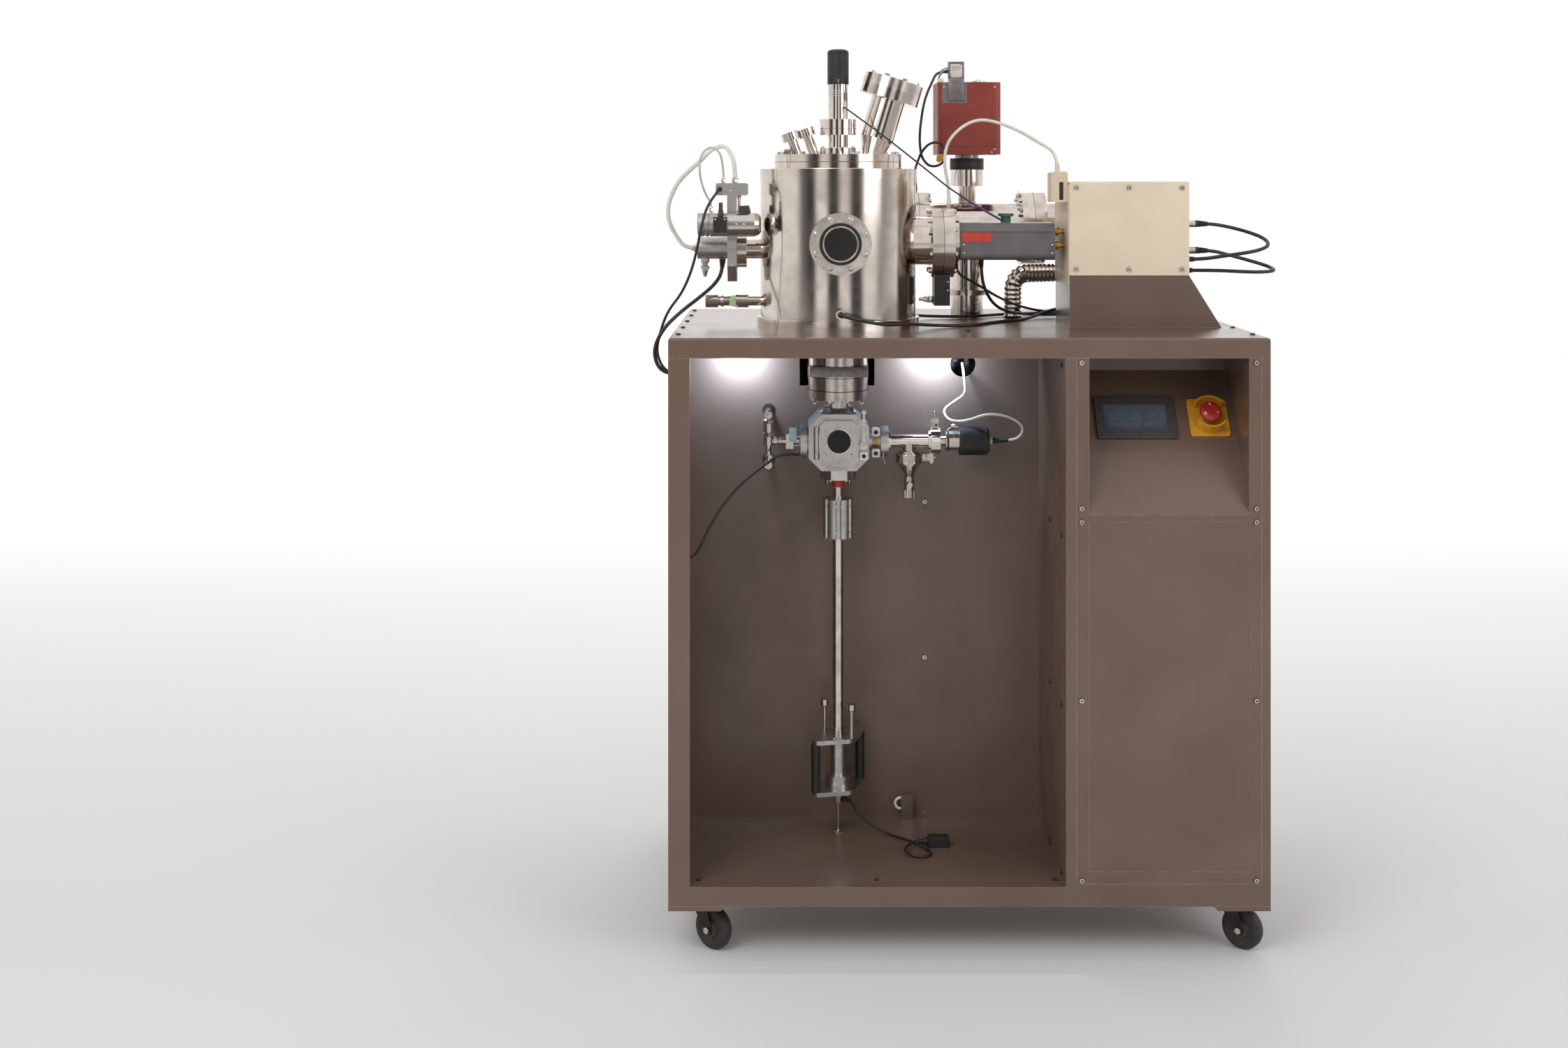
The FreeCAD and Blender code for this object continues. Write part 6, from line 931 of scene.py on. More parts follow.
def relief(line, start, long, wide, slim):
    """A strain relief: a tapered sleeve along a cord, with ribs from a cosine of the distance."""
    stretch = part_of_line(line, *start, count=46)
    t = np.linspace(0, 1, 46)
    ribs = 1 + 0.1 * np.cos(t * long * 2 * math.pi / (3.0 * MM))
    radius = (wide + (slim - wide) * t) * np.where(t < 0.25, 1.0, ribs)
    return carried(stretch, radius if start[0] >= 0 else radius[::-1], sides=20)


def cord_ends():
    """A tapered relief or a fitting wherever a cord leaves or reaches the machine."""
    black = {
        "floor_cord": (18, 4.6, 3.1, 24, 5.2, 3.2), "lock_cable": (16, 4.6, 3.1, 0, 0, 0),
        "gauge_cable": (24, 4.8, 3.3, 0, 0, 0), "switch_cable": (14, 4.8, 3.1, 10, 4.4, 3.1),
        "valve_cable": (16, 6.4, 4.2, 12, 6.2, 4.3), "gauge_lead": (12, 4.4, 3.0, 16, 4.6, 3.1),
        "heater_cable": (14, 5.2, 3.7, 18, 5.6, 3.8), "thermocouple_cable": (18, 5.4, 3.7, 18, 5.6, 3.8),
        "analyser_cable": (16, 5.2, 3.7, 16, 5.4, 3.8), "flange_cable": (14, 4.6, 3.1, 16, 4.8, 3.2),
        "upper_side_cable": (24, 7.0, 4.4, 16, 6.0, 4.3), "lower_side_cable": (24, 7.0, 4.4, 16, 6.0, 4.3),
    }
    sleeves = []
    for name, (first, wide, slim, last, last_wide, last_slim) in black.items():
        line = lines[name]
        sleeves.append(relief(line, (0.0, first * MM), first * MM, wide * MM, slim * MM))
        if last:
            ends = (-last * MM, -0.0001 * MM)
            sleeves.append(relief(line, ends, last * MM, last_wide * MM, last_slim * MM))
    piece("cord_reliefs", joined(*sleeves), BLACK)
    white = [
        relief(lines["signal_cable"], (0.0, 14 * MM), 14 * MM, 5.0 * MM, 3.6 * MM),
        relief(lines["signal_cable"], (-16 * MM, -0.0001 * MM), 16 * MM, 5.4 * MM, 3.7 * MM),
    ]
    piece("white_reliefs", joined(*white), WHITE)
    nuts = []
    for name, radius in (("air_hose", 7.2), ("thin_hose", 4.6)):
        line = lines[name]
        for at, after in ((line[0], line[3]), (line[-1], line[-4])):
            way = unit(after - at)
            nuts.append(hex_nut(at, way, radius, 7))
            steps = [(radius * 0.8, 7.0), (radius * 0.8, 10.0), (radius * 0.66, 11.0)]
            nuts.append(turned(mm(*steps), at, way, sides=24))
    piece("hose_fittings", joined(*nuts), BOLT)
    blue = part_of_line(lines["feedthrough_wire"], -92 * MM, -1 * MM, 40)
    piece("blue_sleeve", carried(blue, 2.1 * MM), BLUE_SLEEVE)


def chamber_details():
    """Weld beads, gaskets, viewport bolts and seat, the gate valve's seams and horseshoe plate, the
    lid's small block, and the feedthrough knob's rings and pointer."""
    beads = [
        bead(CHAMBER + Z * (TABLE + 18 * MM), 150.2, thick=2.0),
        bead(on_line(1406), 121.2),
        bead(on_line(1474), 19.2, thick=0.9),
        bead(on_line(1446), 19.2, thick=1.1),
        bead(mm(46, 162, 1339), 18.4, thick=1.6),
        bead(mm(46, 162, 1235), 33.4, thick=1.6),
        bead(on_line(984), 30.5),
    ]
    piece("weld_beads", joined(*beads), TURNED)
    gaskets = [
        turned(mm((121.9, -0.7), (121.9, 0.7)), mm(-225, -73, 1419), sides=120),
        turned(mm((57.3, -0.6), (57.3, 0.6)), mm(-225, -225, 1268), -Y, sides=90),
        turned(mm((70.3, -0.6), (70.3, 0.6)), mm(-26.5, -73, 1268), X, sides=90),
        turned(mm((36.3, -0.5), (36.3, 0.5)), mm(-418.5, -73, 1253), X, sides=60),
        turned(mm((35.3, -0.5), (35.3, 0.5)), mm(-225, -73, 1483), sides=60),
        turned(mm((76.3, -0.6), (76.3, 0.6)), mm(-56, 162, 1287), X, sides=90),
        turned(mm((76.3, -0.6), (76.3, 0.6)), mm(177.5, 162, 1287), X, sides=90),
    ]
    piece("copper_gaskets", joined(*gaskets), BRONZE)
    heads = [
        pan_head(at, -Y, 5.6, 3.6)
        for at in arc(mm(-225, -242.2, 1268), 47.8, X, Z, 22.5, 337.5, 8)
    ]
    piece("viewport_bolts", joined(*heads), BOLT)
    seams = [
        turned(mm((57.2, 0), (58.3, 0.2), (58.3, 1.4), (57.2, 1.6)), on_line(z), sides=120, ring=True)
        for z in (983.2, 1008.5)
    ]
    piece("gate_seams", joined(*seams), BLACK)
    notch = np.radians(np.linspace(10.2, -190.2, 31))
    mouth = np.stack([34 * np.cos(notch), 27 + 34 * np.sin(notch)], axis=1)
    horseshoe = np.vstack([[(-54.5, 33), (-54.5, -33), (54.5, -33), (54.5, 33)], mouth]) * MM
    piece("gate_plate", slab(horseshoe, mm(-225, -100, 1012.5), X, Y, 19), GREY_METAL)
    piece("lid_block", block(mm(-319.5, -88, 1438.5), (19, 14, 10), 1.2), GREY_METAL)
    seat = ((30.2, 0), (33.0, 0), (33.0, 1.6), (31.0, 1.6), (30.2, 0.2))
    piece("viewport_seat", collar(seat, mm(-225, -243.6, 1268), -Y, 0.3, sides=72), STEEL)
    knob = joined(*[
        turned(mm((20.4, h), (20.9, h + 0.5), (20.4, h + 1.0)), on_line(1568.3), sides=64, ring=True)
        for h in (58, 60, 62)
    ])
    piece("knob_rings", knob, BLACK, "manipulator_knob")
    pointer = block(mm(-225, -93.3, 1574), (1.2, 0.8, 7), 0.3)
    piece("knob_pointer", pointer, WHITE, "manipulator_knob")
    rings = [bead(on_line(z), 19.1, thick=0.5) for z in (1546, 1551, 1556)]
    piece("feedthrough_rings", joined(*rings), STEEL)


def gauge_box_details():
    """The red box's cable clip with its open plug, the wires, screws, tag and top socket."""
    clip = mm(18, 95, 1600)
    frame_bars = [
        block(clip + mm(0, -1.2, 21.5), (32, 2.4, 3.0), 0.8),
        block(clip + mm(-14.2, -1.2, 5), (3.4, 2.4, 34), 0.8),
        block(clip + mm(14.2, -1.2, 5), (3.4, 2.4, 34), 0.8),
        block(clip + mm(0, -0.9, -32), (32, 1.8, 46), 0.8),
    ]
    piece("clip_frame", joined(*frame_bars), GREY_METAL)
    piece("clip_opening", plate(24, 27, 3, clip + mm(0, -0.3, 5), X, Z, 0.6), STEEL)
    shell = plate(18, 9, 3, clip + mm(0, -0.9, 10), X, Z, 1.4)
    lower = plate(18, 8, 2.4, clip + mm(0, -0.9, -1), X, Z, 1.0)
    piece("plug_shell", joined(shell, lower), TURNED)
    pins = [
        turned(mm((0.6, 0), (0.6, 1.0), (0.2, 1.4)), clip + mm(x, -2.3, z), -Y, sides=8)
        for z, xs in ((11.8, (-6, -3, 0, 3, 6)), (8.6, (-4.5, -1.5, 1.5, 4.5)))
        for x in xs
    ]
    piece("plug_pins", joined(*pins), GOLD)
    corners = [clip + mm(9.5, -2.4, 17.5), clip + mm(-9.5, -2.4, -5)]
    socket_screws("clip", corners, -Y, 1.7, 1.0)
    for number, (low, colour) in enumerate(((0.0, GREEN), (3.0, WHITE), (6.0, BLACK_CORD))):
        first = [(2.0, 103 - low, 1611 - low), (-9, 101 - low, 1609 - low)]
        control = mm(*first, (-17, 101, 1597 - low), (-17, 102, 1584))
        wire = centreline([tuple(at) for at in control])
        piece(f"loose_wire_{number}", carried(wire, 1.0 * MM, sides=10), colour)
    piece("wire_clamp", block(mm(-13, 106, 1585.5), (12, 12, 8), 1.0), WHITE)
    socket = mm(69, 150, 1582)
    steps = mm((13.5, 0), (14, 0), (14, 5), (9, 5), (9, 7.5), (0.5, 7.5))
    knurl = joined(
        turned(soft_profile(steps, 0.6), socket),
        ringed(block(mm(83, 150, 1584.5), (1.2, 1.4, 4.0), 0.4), 36, socket),
    )
    piece("top_socket", knurl, TURNED)
    corners = [(x, 98.0, z) for x in (-6, 96) for z in (1446, 1572)]
    socket_screws("red_box", [mm(*at) for at in corners] + [mm(90, 98, 1440)], -Y, 2.0, 1.0)
    tag = np.array([(-8, 6), (7, 8), (8, -2), (-4, -9), (-9, -5)]) * MM
    piece("yellow_tag", slab(tag, mm(-13, 100, 1428), X, Z, 0.6), YELLOW)
    seam = rounded_rectangle(128.6, 128.6, 12.3, 7)
    piece("red_box_seam", slab(seam, mm(45, 162, 1452), X, Y, 0.7, 0.2), BLACK)
    band = mm((34.4, 0), (35.0, 0.6), (34.4, 1.2))
    rings = [turned(band, mm(46, 162, z), sides=64, ring=True) for z in (1409, 1423)]
    piece("collar_rings", joined(*rings), BLACK)


def analyser_details():
    """Seams, the bare plates, the hood's slot, contacts and screws of the analyser and its box."""
    front = -123.0
    piece("analyser_seam", block(mm(95.5, front, 1286.8), (178, 0.8, 1.0), 0.3), BLACK)
    piece("red_plate", plate(56, 17, 2.6, mm(35.5, front, 1277), X, Z, 0.8, 0.3), RED_PLATE)
    piece("bare_label", plate(50, 30, 2.0, mm(34, -80, 1303), X, Y, 0.6, 0.2), WHITE)
    piece("label_stripe", plate(20, 8, 1.5, mm(38, -84, 1303.6), X, Y, 0.3, 0.1), RED_PLATE)
    ends = [mm(x, -123.6, z) for x in (12, 179) for z in (1246, 1262)]
    socket_screws("analyser", ends, -Y, 2.0, 1.0)
    # The black plate in the hood's slot is painted shade, the dark inside of the slot
    piece("hood_slot_shade", plate(7.6, 33.6, 0.6, mm(196.5, -119.2, 1364), X, Z, 0.4, 0.1), BLACK)
    steps = ((5.4, 0), (8.6, 0), (8.6, 5), (6.2, 5), (6.2, 8))
    insulators = [collar(steps, mm(192, -73, z), X, 1.0) for z in (1286, 1259.5)]
    piece("contact_insulators", joined(*insulators), GOLD)
    socket_screws("junction_box", [mm(-16.5, -98, z) for z in (1190, 1174)], -Y, 1.7, 0.9)
    piece("junction_gland", joined(
        block(mm(-49, -73, 1156), (14, 16, 12), 1.2),
        hex_nut(mm(-56, -73, 1156), -X, 5.2, 5),
        turned(mm((3.0, 0), (3.0, 8), (1.5, 9)), mm(-61, -73, 1156), -X),
    ), TURNED)
    piece("rf_box_lip", block(mm(323, -129.3, 1204.3), (226, 1.0, 1.2), 0.4), GREY_METAL)
    # Dark bars in the box's vent slots are painted shade, the dark behind the slots
    vent_shades = [block(mm(437.2, -60 + 9 * n, 1340), (1.0, 3.2, 34), 0.4) for n in range(9)]
    piece("rf_box_vents", joined(*vent_shades), BLACK)
    steps = ((7.2, 0), (10.2, 0), (10.2, 6), (7.2, 6))
    collars = [collar(steps, mm(439, -39, z), X, 0.8) for z in (1300, 1248.5)]
    nuts = [hex_nut(mm(437, -39, z), X, 12.0, 3.4) for z in (1300, 1248.5)]
    piece("socket_collars", joined(*collars, *nuts), BOLT)
    socket_screws("stand", [mm(488, y, 1106) for y in (-112, 28)], Z, 3.2, 1.8)


def valve_details():
    """The left valve: switch screws, its elbow fitting, pilot tube, drum screws and tube nuts."""
    socket_screws("switch", [mm(x, -170, 1311.5) for x in (-457, -439)], -Y, 1.9, 1.0)
    elbow = joined(
        block(mm(-447, -159, 1320), (11, 11, 8), 1.6),
        hex_nut(mm(-447, -159, 1324), Z, 5.4, 5),
        turned(mm((3.8, 0), (3.8, 12), (3.2, 14)), mm(-447, -159, 1329), Z),
    )
    piece("switch_elbow", elbow, GREY_PLASTIC)
    piece("pilot_tube", joined(
        turned(mm((2.7, 0), (2.7, 34)), mm(-413.5, -122, 1323), Z),
        hex_nut(mm(-413.5, -122, 1322), Z, 4.6, 5),
        hex_nut(mm(-413.5, -122, 1351), Z, 4.6, 5),
    ), STEEL)
    wedge = np.array([(-11, 0), (11, 0), (7, 15), (-9, 14)]) * MM
    piece("drum_bracket", slab(wedge, mm(-402, -118, 1322), X, Z, 14, 0.8), GREY_PLASTIC)
    socket_screws("bar", [mm(-429, -134, 1364)], -Y, 2.2, 0.8)
    socket_screws("drum", [mm(-418, -148, 1301), mm(-404, -148, 1301)], -Y, 2.6, 1.0)
    socket_screws("plate", [mm(-427.5, -107.6, 1222)], -Y, 2.2, 0.9)
    steps = mm((9.6, 0), (11.4, 0), (11.4, 6), (9.6, 6))
    nuts = [
        hex_nut(mm(-479.5, -73, 1153), X, 12.6, 9),
        hex_nut(mm(-464, -73, 1153), X, 12.2, 7, start=0.4),
        turned(soft_profile(steps, 0.8), mm(-450, -73, 1153), X),
    ]
    piece("inlet_nuts", joined(*nuts), TURNED)
    tape = turned(mm((9.4, 0), (10.0, 0.3), (10.0, 17), (9.4, 17.4)), mm(-432, -73, 1153), X, ring=True)
    flag = np.array([(-8, 8), (9, 6), (6, -9), (-10, -6)]) * MM
    piece("tube_tape", joined(tape, slab(flag, mm(-424, -83, 1150), X, Z, 0.5, 0.2)), PALE_GREEN)


def lock_details():
    """The load lock and its line: door screws and rim, clamp blocks, port clamps, gauge parts, gas
    fittings, gate bolts, claws and the coupler's beads."""
    corners = [mm(x, -140, z) for x in (-248, -202) for z in (915, 870)]
    socket_screws("door", corners, -Y, 3.2, 1.4, "lock_door")
    steps = ((22.2, 0), (24.6, 0), (24.6, 1.2), (22.6, 1.2))
    rim = collar(steps, mm(-225, -141.4, 892.5), -Y, 0.4, sides=64)
    piece("window_rim", rim, STEEL, "lock_door")
    square = rounded_rectangle(15.5, 15.5, 3.0)
    blocks, recess_shades = [], []
    for at, thick in (((-178, -130, 864), 6), ((-154, -92, 905), 16), ((-154, -92, 865), 16)):
        blocks.append(slab(square, mm(*at), X, Z, thick, 0.8))
        face = mm(*at) - Y * thick * MM
        # A dark hexagon in each block's recess is painted shade
        recess_shades.append(turned(mm((4.6, 0), (4.6, 0.3)), face, -Y, sides=6, start=0.5))
    piece("clamp_blocks", joined(*blocks), WHITE)
    piece("clamp_recesses", joined(*recess_shades), BLACK)
    piece("yellow_stop", plate(11, 9, 1, mm(-154, -89, 885), X, Z, 6), YELLOW)
    piece("lever_tip", block(mm(-178, -135.2, 947), (8.5, 8.5, 7), 1.6), WHITE, "door_latch")
    piece("lever_hub", hex_nut(mm(-178, -138.6, 884), -Y, 5.6, 2.4), BOLT)
    upper = ((-139, -97, 866), (-139, -98, 858), (-141, -98, 852))
    lower = ((-136, -98, 849), (-137, -98, 842), (-138, -98, 845))
    hook = centreline([tuple(mm(*at)) for at in upper + lower])
    piece("safety_hook", carried(hook, 1.0 * MM, sides=10), STEEL)
    bolts = ringed(hex_nut(mm(-297, -73, 913), -X, 3.4, 3), 6, on_port(-297), X, 0.5)
    piece("left_port_bolts", bolts, BOLT)
    piece("upper_clamp", joined(
        turned(mm((2.2, 0), (2.2, 32)), mm(-39, -73, 906), Z, sides=16),
        pan_head(mm(-39, -73, 937), Z, 3.6, 3.6),
        wing(mm(-39, -75, 922), X, Z, 9, 4),
        hex_nut(mm(-39, -73, 912), Z, 5.4, 5),
    ), BOLT)
    piece("lower_clamp", joined(
        turned(mm((2.2, 0), (2.2, 28)), mm(-66, -73, 852), X, sides=16),
        wing(mm(-46, -75, 852), Z, X, 12, 4.5),
        hex_nut(mm(-58, -73, 852), X, 5.4, 5),
    ), BOLT)
    steps = ((26.1, 0), (27.0, 0), (27.0, 2), (26.1, 2))
    lips = [collar(steps, mm(-88.5, -73, z), Z, 0.5) for z in (843.5, 858.5)]
    piece("clamp_lips", joined(*lips), STEEL)
    elbow = arc(mm(2, -60, 893), 17, X, Z, -20, 200)
    piece("gauge_elbow", carried(elbow, 4.8 * MM, sides=24), STEEL)
    way = unit((0, -15.9, 11))
    steps = mm((0.5, 0), (3.6, 0), (3.6, 1.6), (0.5, 1.6))
    screw = turned(soft_profile(steps, 0.5), on_port(-2) + way * 18.8 * MM, way)
    piece("gauge_screw", screw, GOLD)
    steps = mm((27.4, 0), (28.0, 0.6), (27.4, 1.2))
    bands = [turned(steps, on_port(x), X, sides=64, ring=True) for x in (10, 14, 55)]
    steps = mm((19.5, 0), (20.2, 0.8), (20.2, 3), (19.5, 4))
    bands.append(turned(steps, on_port(-17), X, sides=64, ring=True))
    piece("gauge_bands", joined(*bands), GREY_PLASTIC)
    steps = ((6, -9), (8.4, -6), (8.4, 6), (6, 9))
    gas = [collar(steps, mm(-359, -73, z), Z, 1.0) for z in (934, 838)]
    for x, radius, tall in ((-349, 8.0, 8), (-339, 7.0, 5)):
        gas.append(hex_nut(on_port(x), X, radius, tall))
    for z, radius in ((893, 10.6), (918, 10.6), (850, 8.6)):
        gas.append(hex_nut(mm(-359, -73, z), Z, radius, 7))
    for n in range(3):
        at = mm(-312, -80 + 3 * n, 893 - 9 * n)
        gas.append(turned(mm((1.7, 0), (1.7, 16)), at, X, sides=14))
    piece("gas_fittings", joined(*gas), BOLT)
    steps = ((8, 0), (12.5, 0), (12.5, 1.6), (8, 1.6))
    rims = [collar(steps, mm(-359, -0.2, z), -Y, 0.6) for z in (934, 838)]
    piece("hole_grommets", joined(*rims), BLACK)
    piece("blue_plate", plate(14, 27, 0.8, mm(-312, -85, 897), X, Z, 1.6), PALE_BLUE)
    nut = hex_nut(on_line(960.5) + X * 49 * MM, -Z, 4.4, 4)
    piece("gate_bolts", ringed(nut, 8, on_line(960.5), Z, 0.39), BOLT)
    claw = block(on_line(809) + X * 30 * MM, (9, 9, 10), 1.2)
    piece("line_claws", ringed(claw, 4, on_line(809), Z, 0.78), TURNED)
    grooves = [bead(on_line(z), 28.6, thick=0.8) for z in (712, 762)]
    piece("coupler_beads", joined(*grooves), TURNED)


def carriage_details():
    """The carriage: clamp screws in both plates and rings on the grips, all on the moving body. The
    grips stand 42 degrees round the rod from the front."""
    turn = math.radians(42)
    way = np.array([math.cos(turn), math.sin(turn), 0.0])
    side = np.array([-math.sin(turn), math.cos(turn), 0.0])
    corners = [way * 26 * MM + side * 16 * MM, way * -26 * MM + side * -16 * MM]
    tops = [on_line(z) + corner for z in (321, 223) for corner in corners]
    socket_screws("carriage", tops, Z, 2.6, 1.4, "sample_carriage")
    steps = mm((8.2, 0), (9.3, 0.7), (8.2, 1.4))
    rings = [
        turned(steps, on_line(z) + way * sign * 58.5 * MM, Z, sides=36, ring=True)
        for sign in (-1, 1)
        for z in (227, 232, 304, 309)
    ]
    piece("grip_rings", joined(*rings), BLACK, "sample_carriage")


def floor_details():
    """The bay's floor: the white clip on the bracket, the plug's ridges and the rod's foot plate."""
    clip = arc(mm(-101, -12, 166), 10.5, X, Z, 55, 300)
    piece("white_clip", carried(clip, 2.7 * MM, sides=18), WHITE)
    ridges = [block(mm(-26 - 4 * n, -150, 153.6), (1.6, 20, 1.2), 0.5) for n in range(4)]
    piece("plug_ridges", joined(*ridges), BLACK)
    taper = carried(mm((-58, -150, 144), (-70, -150, 144)), mm(7.5, 4.6), sides=24)
    piece("plug_taper", taper, BLACK)
    foot = soft_profile(mm((2, 0), (11, 0), (11, 1.2), (6, 2.4), (2.4, 2.4)), 0.4)
    piece("rod_foot_plate", turned(foot, on_line(134.5), Z, sides=48), STEEL)
    socket_screws("bracket", [mm(-94, -10, 136.5), mm(-84, -10, 136.5)], Z, 2.2, 1.2)


def islands(mesh):
    """The points of each loose part of a mesh, in the order of the parts' first points."""
    shell = bmesh.new()
    shell.from_mesh(mesh)
    found, seen = [], set()
    for first in shell.verts:
        if first in seen:
            continue
        island, edge = set(), {first}
        while edge:
            vert = edge.pop()
            island.add(vert)
            edge |= {link.other_vert(vert) for link in vert.link_edges} - island
        seen |= island
        found.append(np.array([vert.co[:] for vert in island]))
    shell.free()
    return found


def panel_screw_socket_shades():
    """A dark six-sided disc in the socket of each screw head of the panels, along the head's thin
    direction: painted shade in the recess.
    """
    socket_shades = []
    for points in islands(nodes["panel_screws"].data):
        low, high = points.min(axis=0), points.max(axis=0)
        thin = int(np.argmin(high - low))
        outward = np.array([-1.0, -1.0, 1.0])[thin] * np.eye(3)[thin]
        face = (low + high) / 2 + outward * (high - low)[thin] / 2
        socket_shades.append(turned(mm((1.9, 0), (1.9, 0.15)), face, outward, sides=6))
    piece("panel_screw_socket_shades", joined(*socket_shades), BLACK)


def cabinet_details():
    """Lamp lenses, the touch screen's fields and lamp, and the stop button's arrows."""
    lenses = [block(mm(x, -261, 1073.6), (56, 26, 1.4), 0.5) for x in (-399, -54)]
    piece("lamp_lenses", joined(*lenses), LAMP)
    # The sloping control face: the way it looks, the way up it, and the middle of the touch screen
    out = np.array([0.0, -0.790155, 0.612907])
    up = np.array([0.0, 0.612907, 0.790155])
    middle = mm(316, -225.9, 950.45)
    screen = middle + out * 0.72 * MM
    buttons = [(15, 9, 1.4, x, -15) for x in (-42, -21, 0, 21, 42)]
    bar, graph = (104, 5, 1, 0, 19), (62, 20, 1, -21, 3)
    fields = [
        plate(wide, tall, corner, screen + X * x * MM + up * y * MM, X, up, 0.12, 0.05)
        for wide, tall, corner, x, y in (*buttons, bar, graph)
    ]
    piece("screen_fields", joined(*fields), FIELD)
    lamp_at = middle + up * 37 * MM + out * 0.4 * MM
    lamp = turned(mm((1.4, 0), (1.4, 0.4), (0.7, 0.9)), lamp_at, out, sides=20)
    piece("screen_lamp", lamp, GREEN)
    head = np.array([vert.co[:] for vert in nodes["emo_head"].data.vertices])
    axis_at = mm(450, -222.3, 947.7)
    top = float(((head - axis_at) @ out).max())
    centre = axis_at + out * (top - 1.3 * MM)
    arrows = []
    for start in (20, 140, 260):
        sweep = arc(centre, 12.2, X, up, start, start + 70, 24)
        arrows.append(carried(sweep, np.linspace(0.9, 1.1, 24) * MM, sides=10))
        tip = sweep[-1]
        way = unit(sweep[-1] - sweep[-2])
        arrows.append(turned(mm((2.6, 0), (0.15, 5.0)), tip, way, sides=14))
    piece("stop_arrows", joined(*arrows), WHITE, "emo_mushroom")


def caster_details():
    """Hub caps and axle nuts on both sides of each wheel, along the wheel's own axis."""
    for place in ("front_left", "front_right", "rear_left", "rear_right"):
        mesh = nodes[f"{place}_wheel"].data
        points = np.array([vert.co[:] for vert in mesh.vertices])
        centre = (points.min(axis=0) + points.max(axis=0)) / 2
        spread = np.linalg.eigh(np.cov((points - centre).T))
        axis = unit(spread[1][:, 0])
        cap = soft_profile(mm((14, 13.0), (14, 14.0), (9, 14.2), (1, 14.2)), 0.5)
        caps = [turned(cap, centre, axis * sign, sides=48) for sign in (-1, 1)]
        piece(f"{place}_hub_caps", joined(*caps), GREY_PLASTIC, f"{place}_roller")
        nuts = [
            hex_nut(centre + way * 18.4 * MM, way, 6.2, 4.5) for way in (-axis, axis)
        ]
        piece(f"{place}_axle_nuts", joined(*nuts), BOLT, f"{place}_caster")


cord_ends()
chamber_details()
gauge_box_details()
analyser_details()
valve_details()
lock_details()
carriage_details()
floor_details()
panel_screw_socket_shades()
cabinet_details()
caster_details()


# Stage, light and camera


def stage():
    """A pale floor that runs level to the back: grey near the object, white far behind it."""
    side = np.linspace(-14, 14, 3)
    depth = np.linspace(-9, 30, 3)
    x, y = np.meshgrid(side, depth)
    points = np.stack([x, y, np.zeros_like(x)], axis=-1).reshape(-1, 3)
    mesh = bpy.data.meshes.new("floor")
    mesh.from_pydata(points.tolist(), [], grid_faces(3, 3))
    floor = bpy.data.objects.new("floor", mesh)
    bpy.context.scene.collection.objects.link(floor)
    material, tree, links, shader, place = new_material("pale floor")
    shader.inputs["Base Color"].default_value = (0.8, 0.8, 0.79, 1.0)
    shader.inputs["Roughness"].default_value = 0.9
    shader.inputs["Specular IOR Level"].default_value = 0.1
    back = tree.add("ShaderNodeSeparateXYZ", {0: place}).outputs[1]
    far = tree.spread(back, -0.2, 3.2)
    rays = tree.add("ShaderNodeLightPath").outputs
    seen = tree.math("ADD", rays["Is Camera Ray"], rays["Is Glossy Ray"])
    seen = tree.math("ADD", seen, rays["Is Transmission Ray"], clamp=True)
    white = tree.add("ShaderNodeEmission", {"Color": (1.0, 1.0, 1.0, 1.0), "Strength": 1.0})
    share = tree.math("MULTIPLY", far, seen)
    mixed = tree.add("ShaderNodeMixShader", {0: share, 1: shader.outputs[0], 2: white.outputs[0]})
    links.new(mixed.outputs[0], material.node_tree.nodes["Material Output"].inputs[0])
    mesh.materials.append(material)


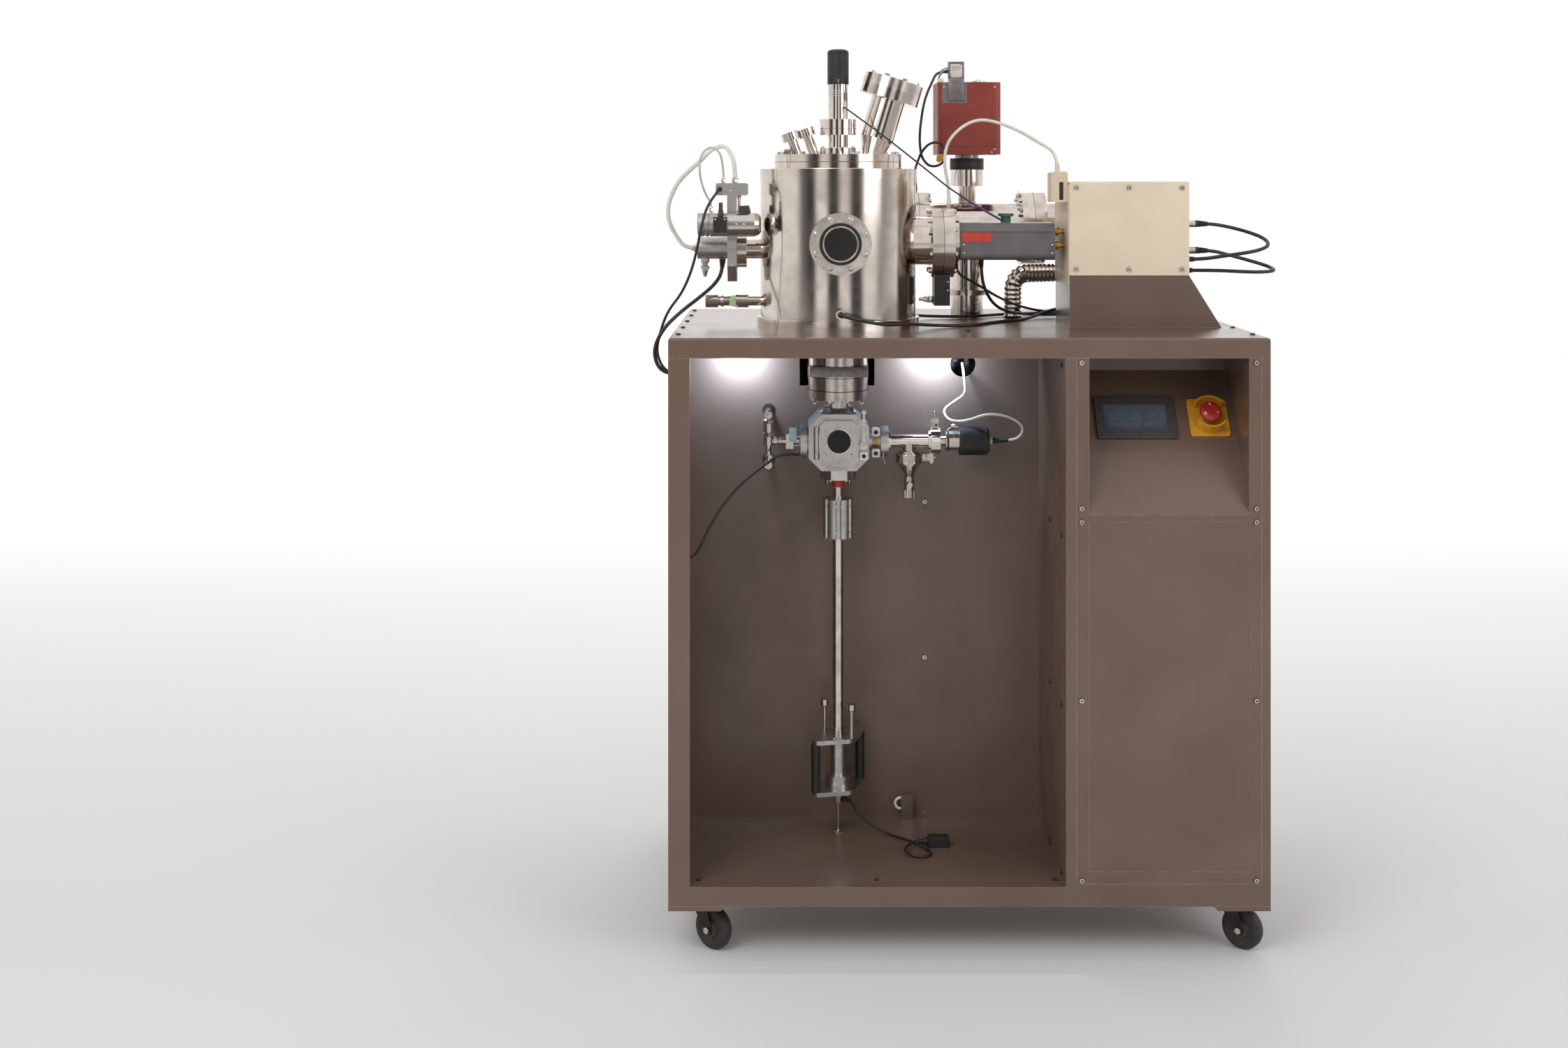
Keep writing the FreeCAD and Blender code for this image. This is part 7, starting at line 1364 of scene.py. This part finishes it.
def world():
    """White to the camera, bright and dark bands to glossy rays, a soft even light for the rest."""
    sky = bpy.data.worlds.new("studio")
    bpy.context.scene.world = sky
    sky.use_nodes = True
    tree = Tree(sky.node_tree)
    links = sky.node_tree.links
    rays = tree.add("ShaderNodeLightPath").outputs
    glossy = tree.math("ADD", rays["Is Glossy Ray"], rays["Is Transmission Ray"], clamp=True)
    way = tree.add("ShaderNodeTexCoord").outputs["Generated"]
    parts = tree.add("ShaderNodeSeparateXYZ", {0: way}).outputs
    # The dark of the room behind the camera and soft bands beside it, for the metal to mirror
    waves = tree.math("SINE", tree.math("MULTIPLY", parts[0], 11.0))
    bands = tree.spread(waves, -0.55, 0.6, 0.05, 0.95)
    behind = tree.spread(parts[1], -0.75, 0.1)
    above = tree.spread(parts[2], 0.2, 0.7)
    bright = tree.math("MAXIMUM", behind, above)
    mirrored = tree.math("MAXIMUM", bands, bright)
    soft = tree.add("ShaderNodeBackground", {"Color": (1.0, 0.985, 0.97, 1.0), "Strength": 0.62})
    mirror = tree.add("ShaderNodeBackground", {"Color": (1.0, 0.97, 0.94, 1.0), "Strength": mirrored})
    white = tree.add("ShaderNodeBackground", {"Color": (1.0, 1.0, 1.0, 1.0), "Strength": 1.0})
    first = tree.add("ShaderNodeMixShader", {0: glossy, 1: soft.outputs[0], 2: mirror.outputs[0]})
    second = tree.add(
        "ShaderNodeMixShader", {0: rays["Is Camera Ray"], 1: first.outputs[0], 2: white.outputs[0]}
    )
    links.new(second.outputs[0], sky.node_tree.nodes["World Output"].inputs[0])


def area_light(name, at, toward, size, power, colour=(1.0, 1.0, 1.0)):
    """A flat lamp at a place, turned to face another place."""
    data = bpy.data.lights.new(name, "AREA")
    data.shape = "RECTANGLE"
    data.size, data.size_y = size
    data.energy = power
    data.color = colour
    lamp = bpy.data.objects.new(name, data)
    lamp.location = at
    lamp.rotation_euler = (Vector(toward) - Vector(at)).to_track_quat("-Z", "Y").to_euler()
    bpy.context.scene.collection.objects.link(lamp)


def camera():
    data = bpy.data.cameras.new("camera")
    data.sensor_width = 36
    data.lens = 40.24
    data.shift_x = -0.0036
    data.shift_y = -0.2228
    made = bpy.data.objects.new("camera", data)
    made.location = (-0.318, -3.440, 1.395)
    made.rotation_euler = (math.radians(90), 0, 0)
    bpy.context.scene.collection.objects.link(made)
    bpy.context.scene.camera = made


stage()
world()
area_light("key light", (-2.2, -3.2, 3.4), (0.0, 0.0, 0.8), (2.2, 2.2), 62.0)
area_light("fill light", (2.8, -2.6, 2.2), (0.1, 0.0, 0.8), (2.0, 2.0), 30.0)
area_light("back light", (0.3, 3.4, 2.8), (0.0, 0.0, 1.2), (2.4, 1.6), 26.0)
for lamp_name, lamp_x in (("left bay lamp", -0.414), ("right bay lamp", -0.04)):
    at, toward = (lamp_x, -0.052, 1.058), (lamp_x, 0.0, 1.016)
    area_light(lamp_name, at, toward, (0.05, 0.02), 1.5, (0.5, 0.72, 1.0))
camera()
bpy.context.scene.view_settings.view_transform = "Standard"
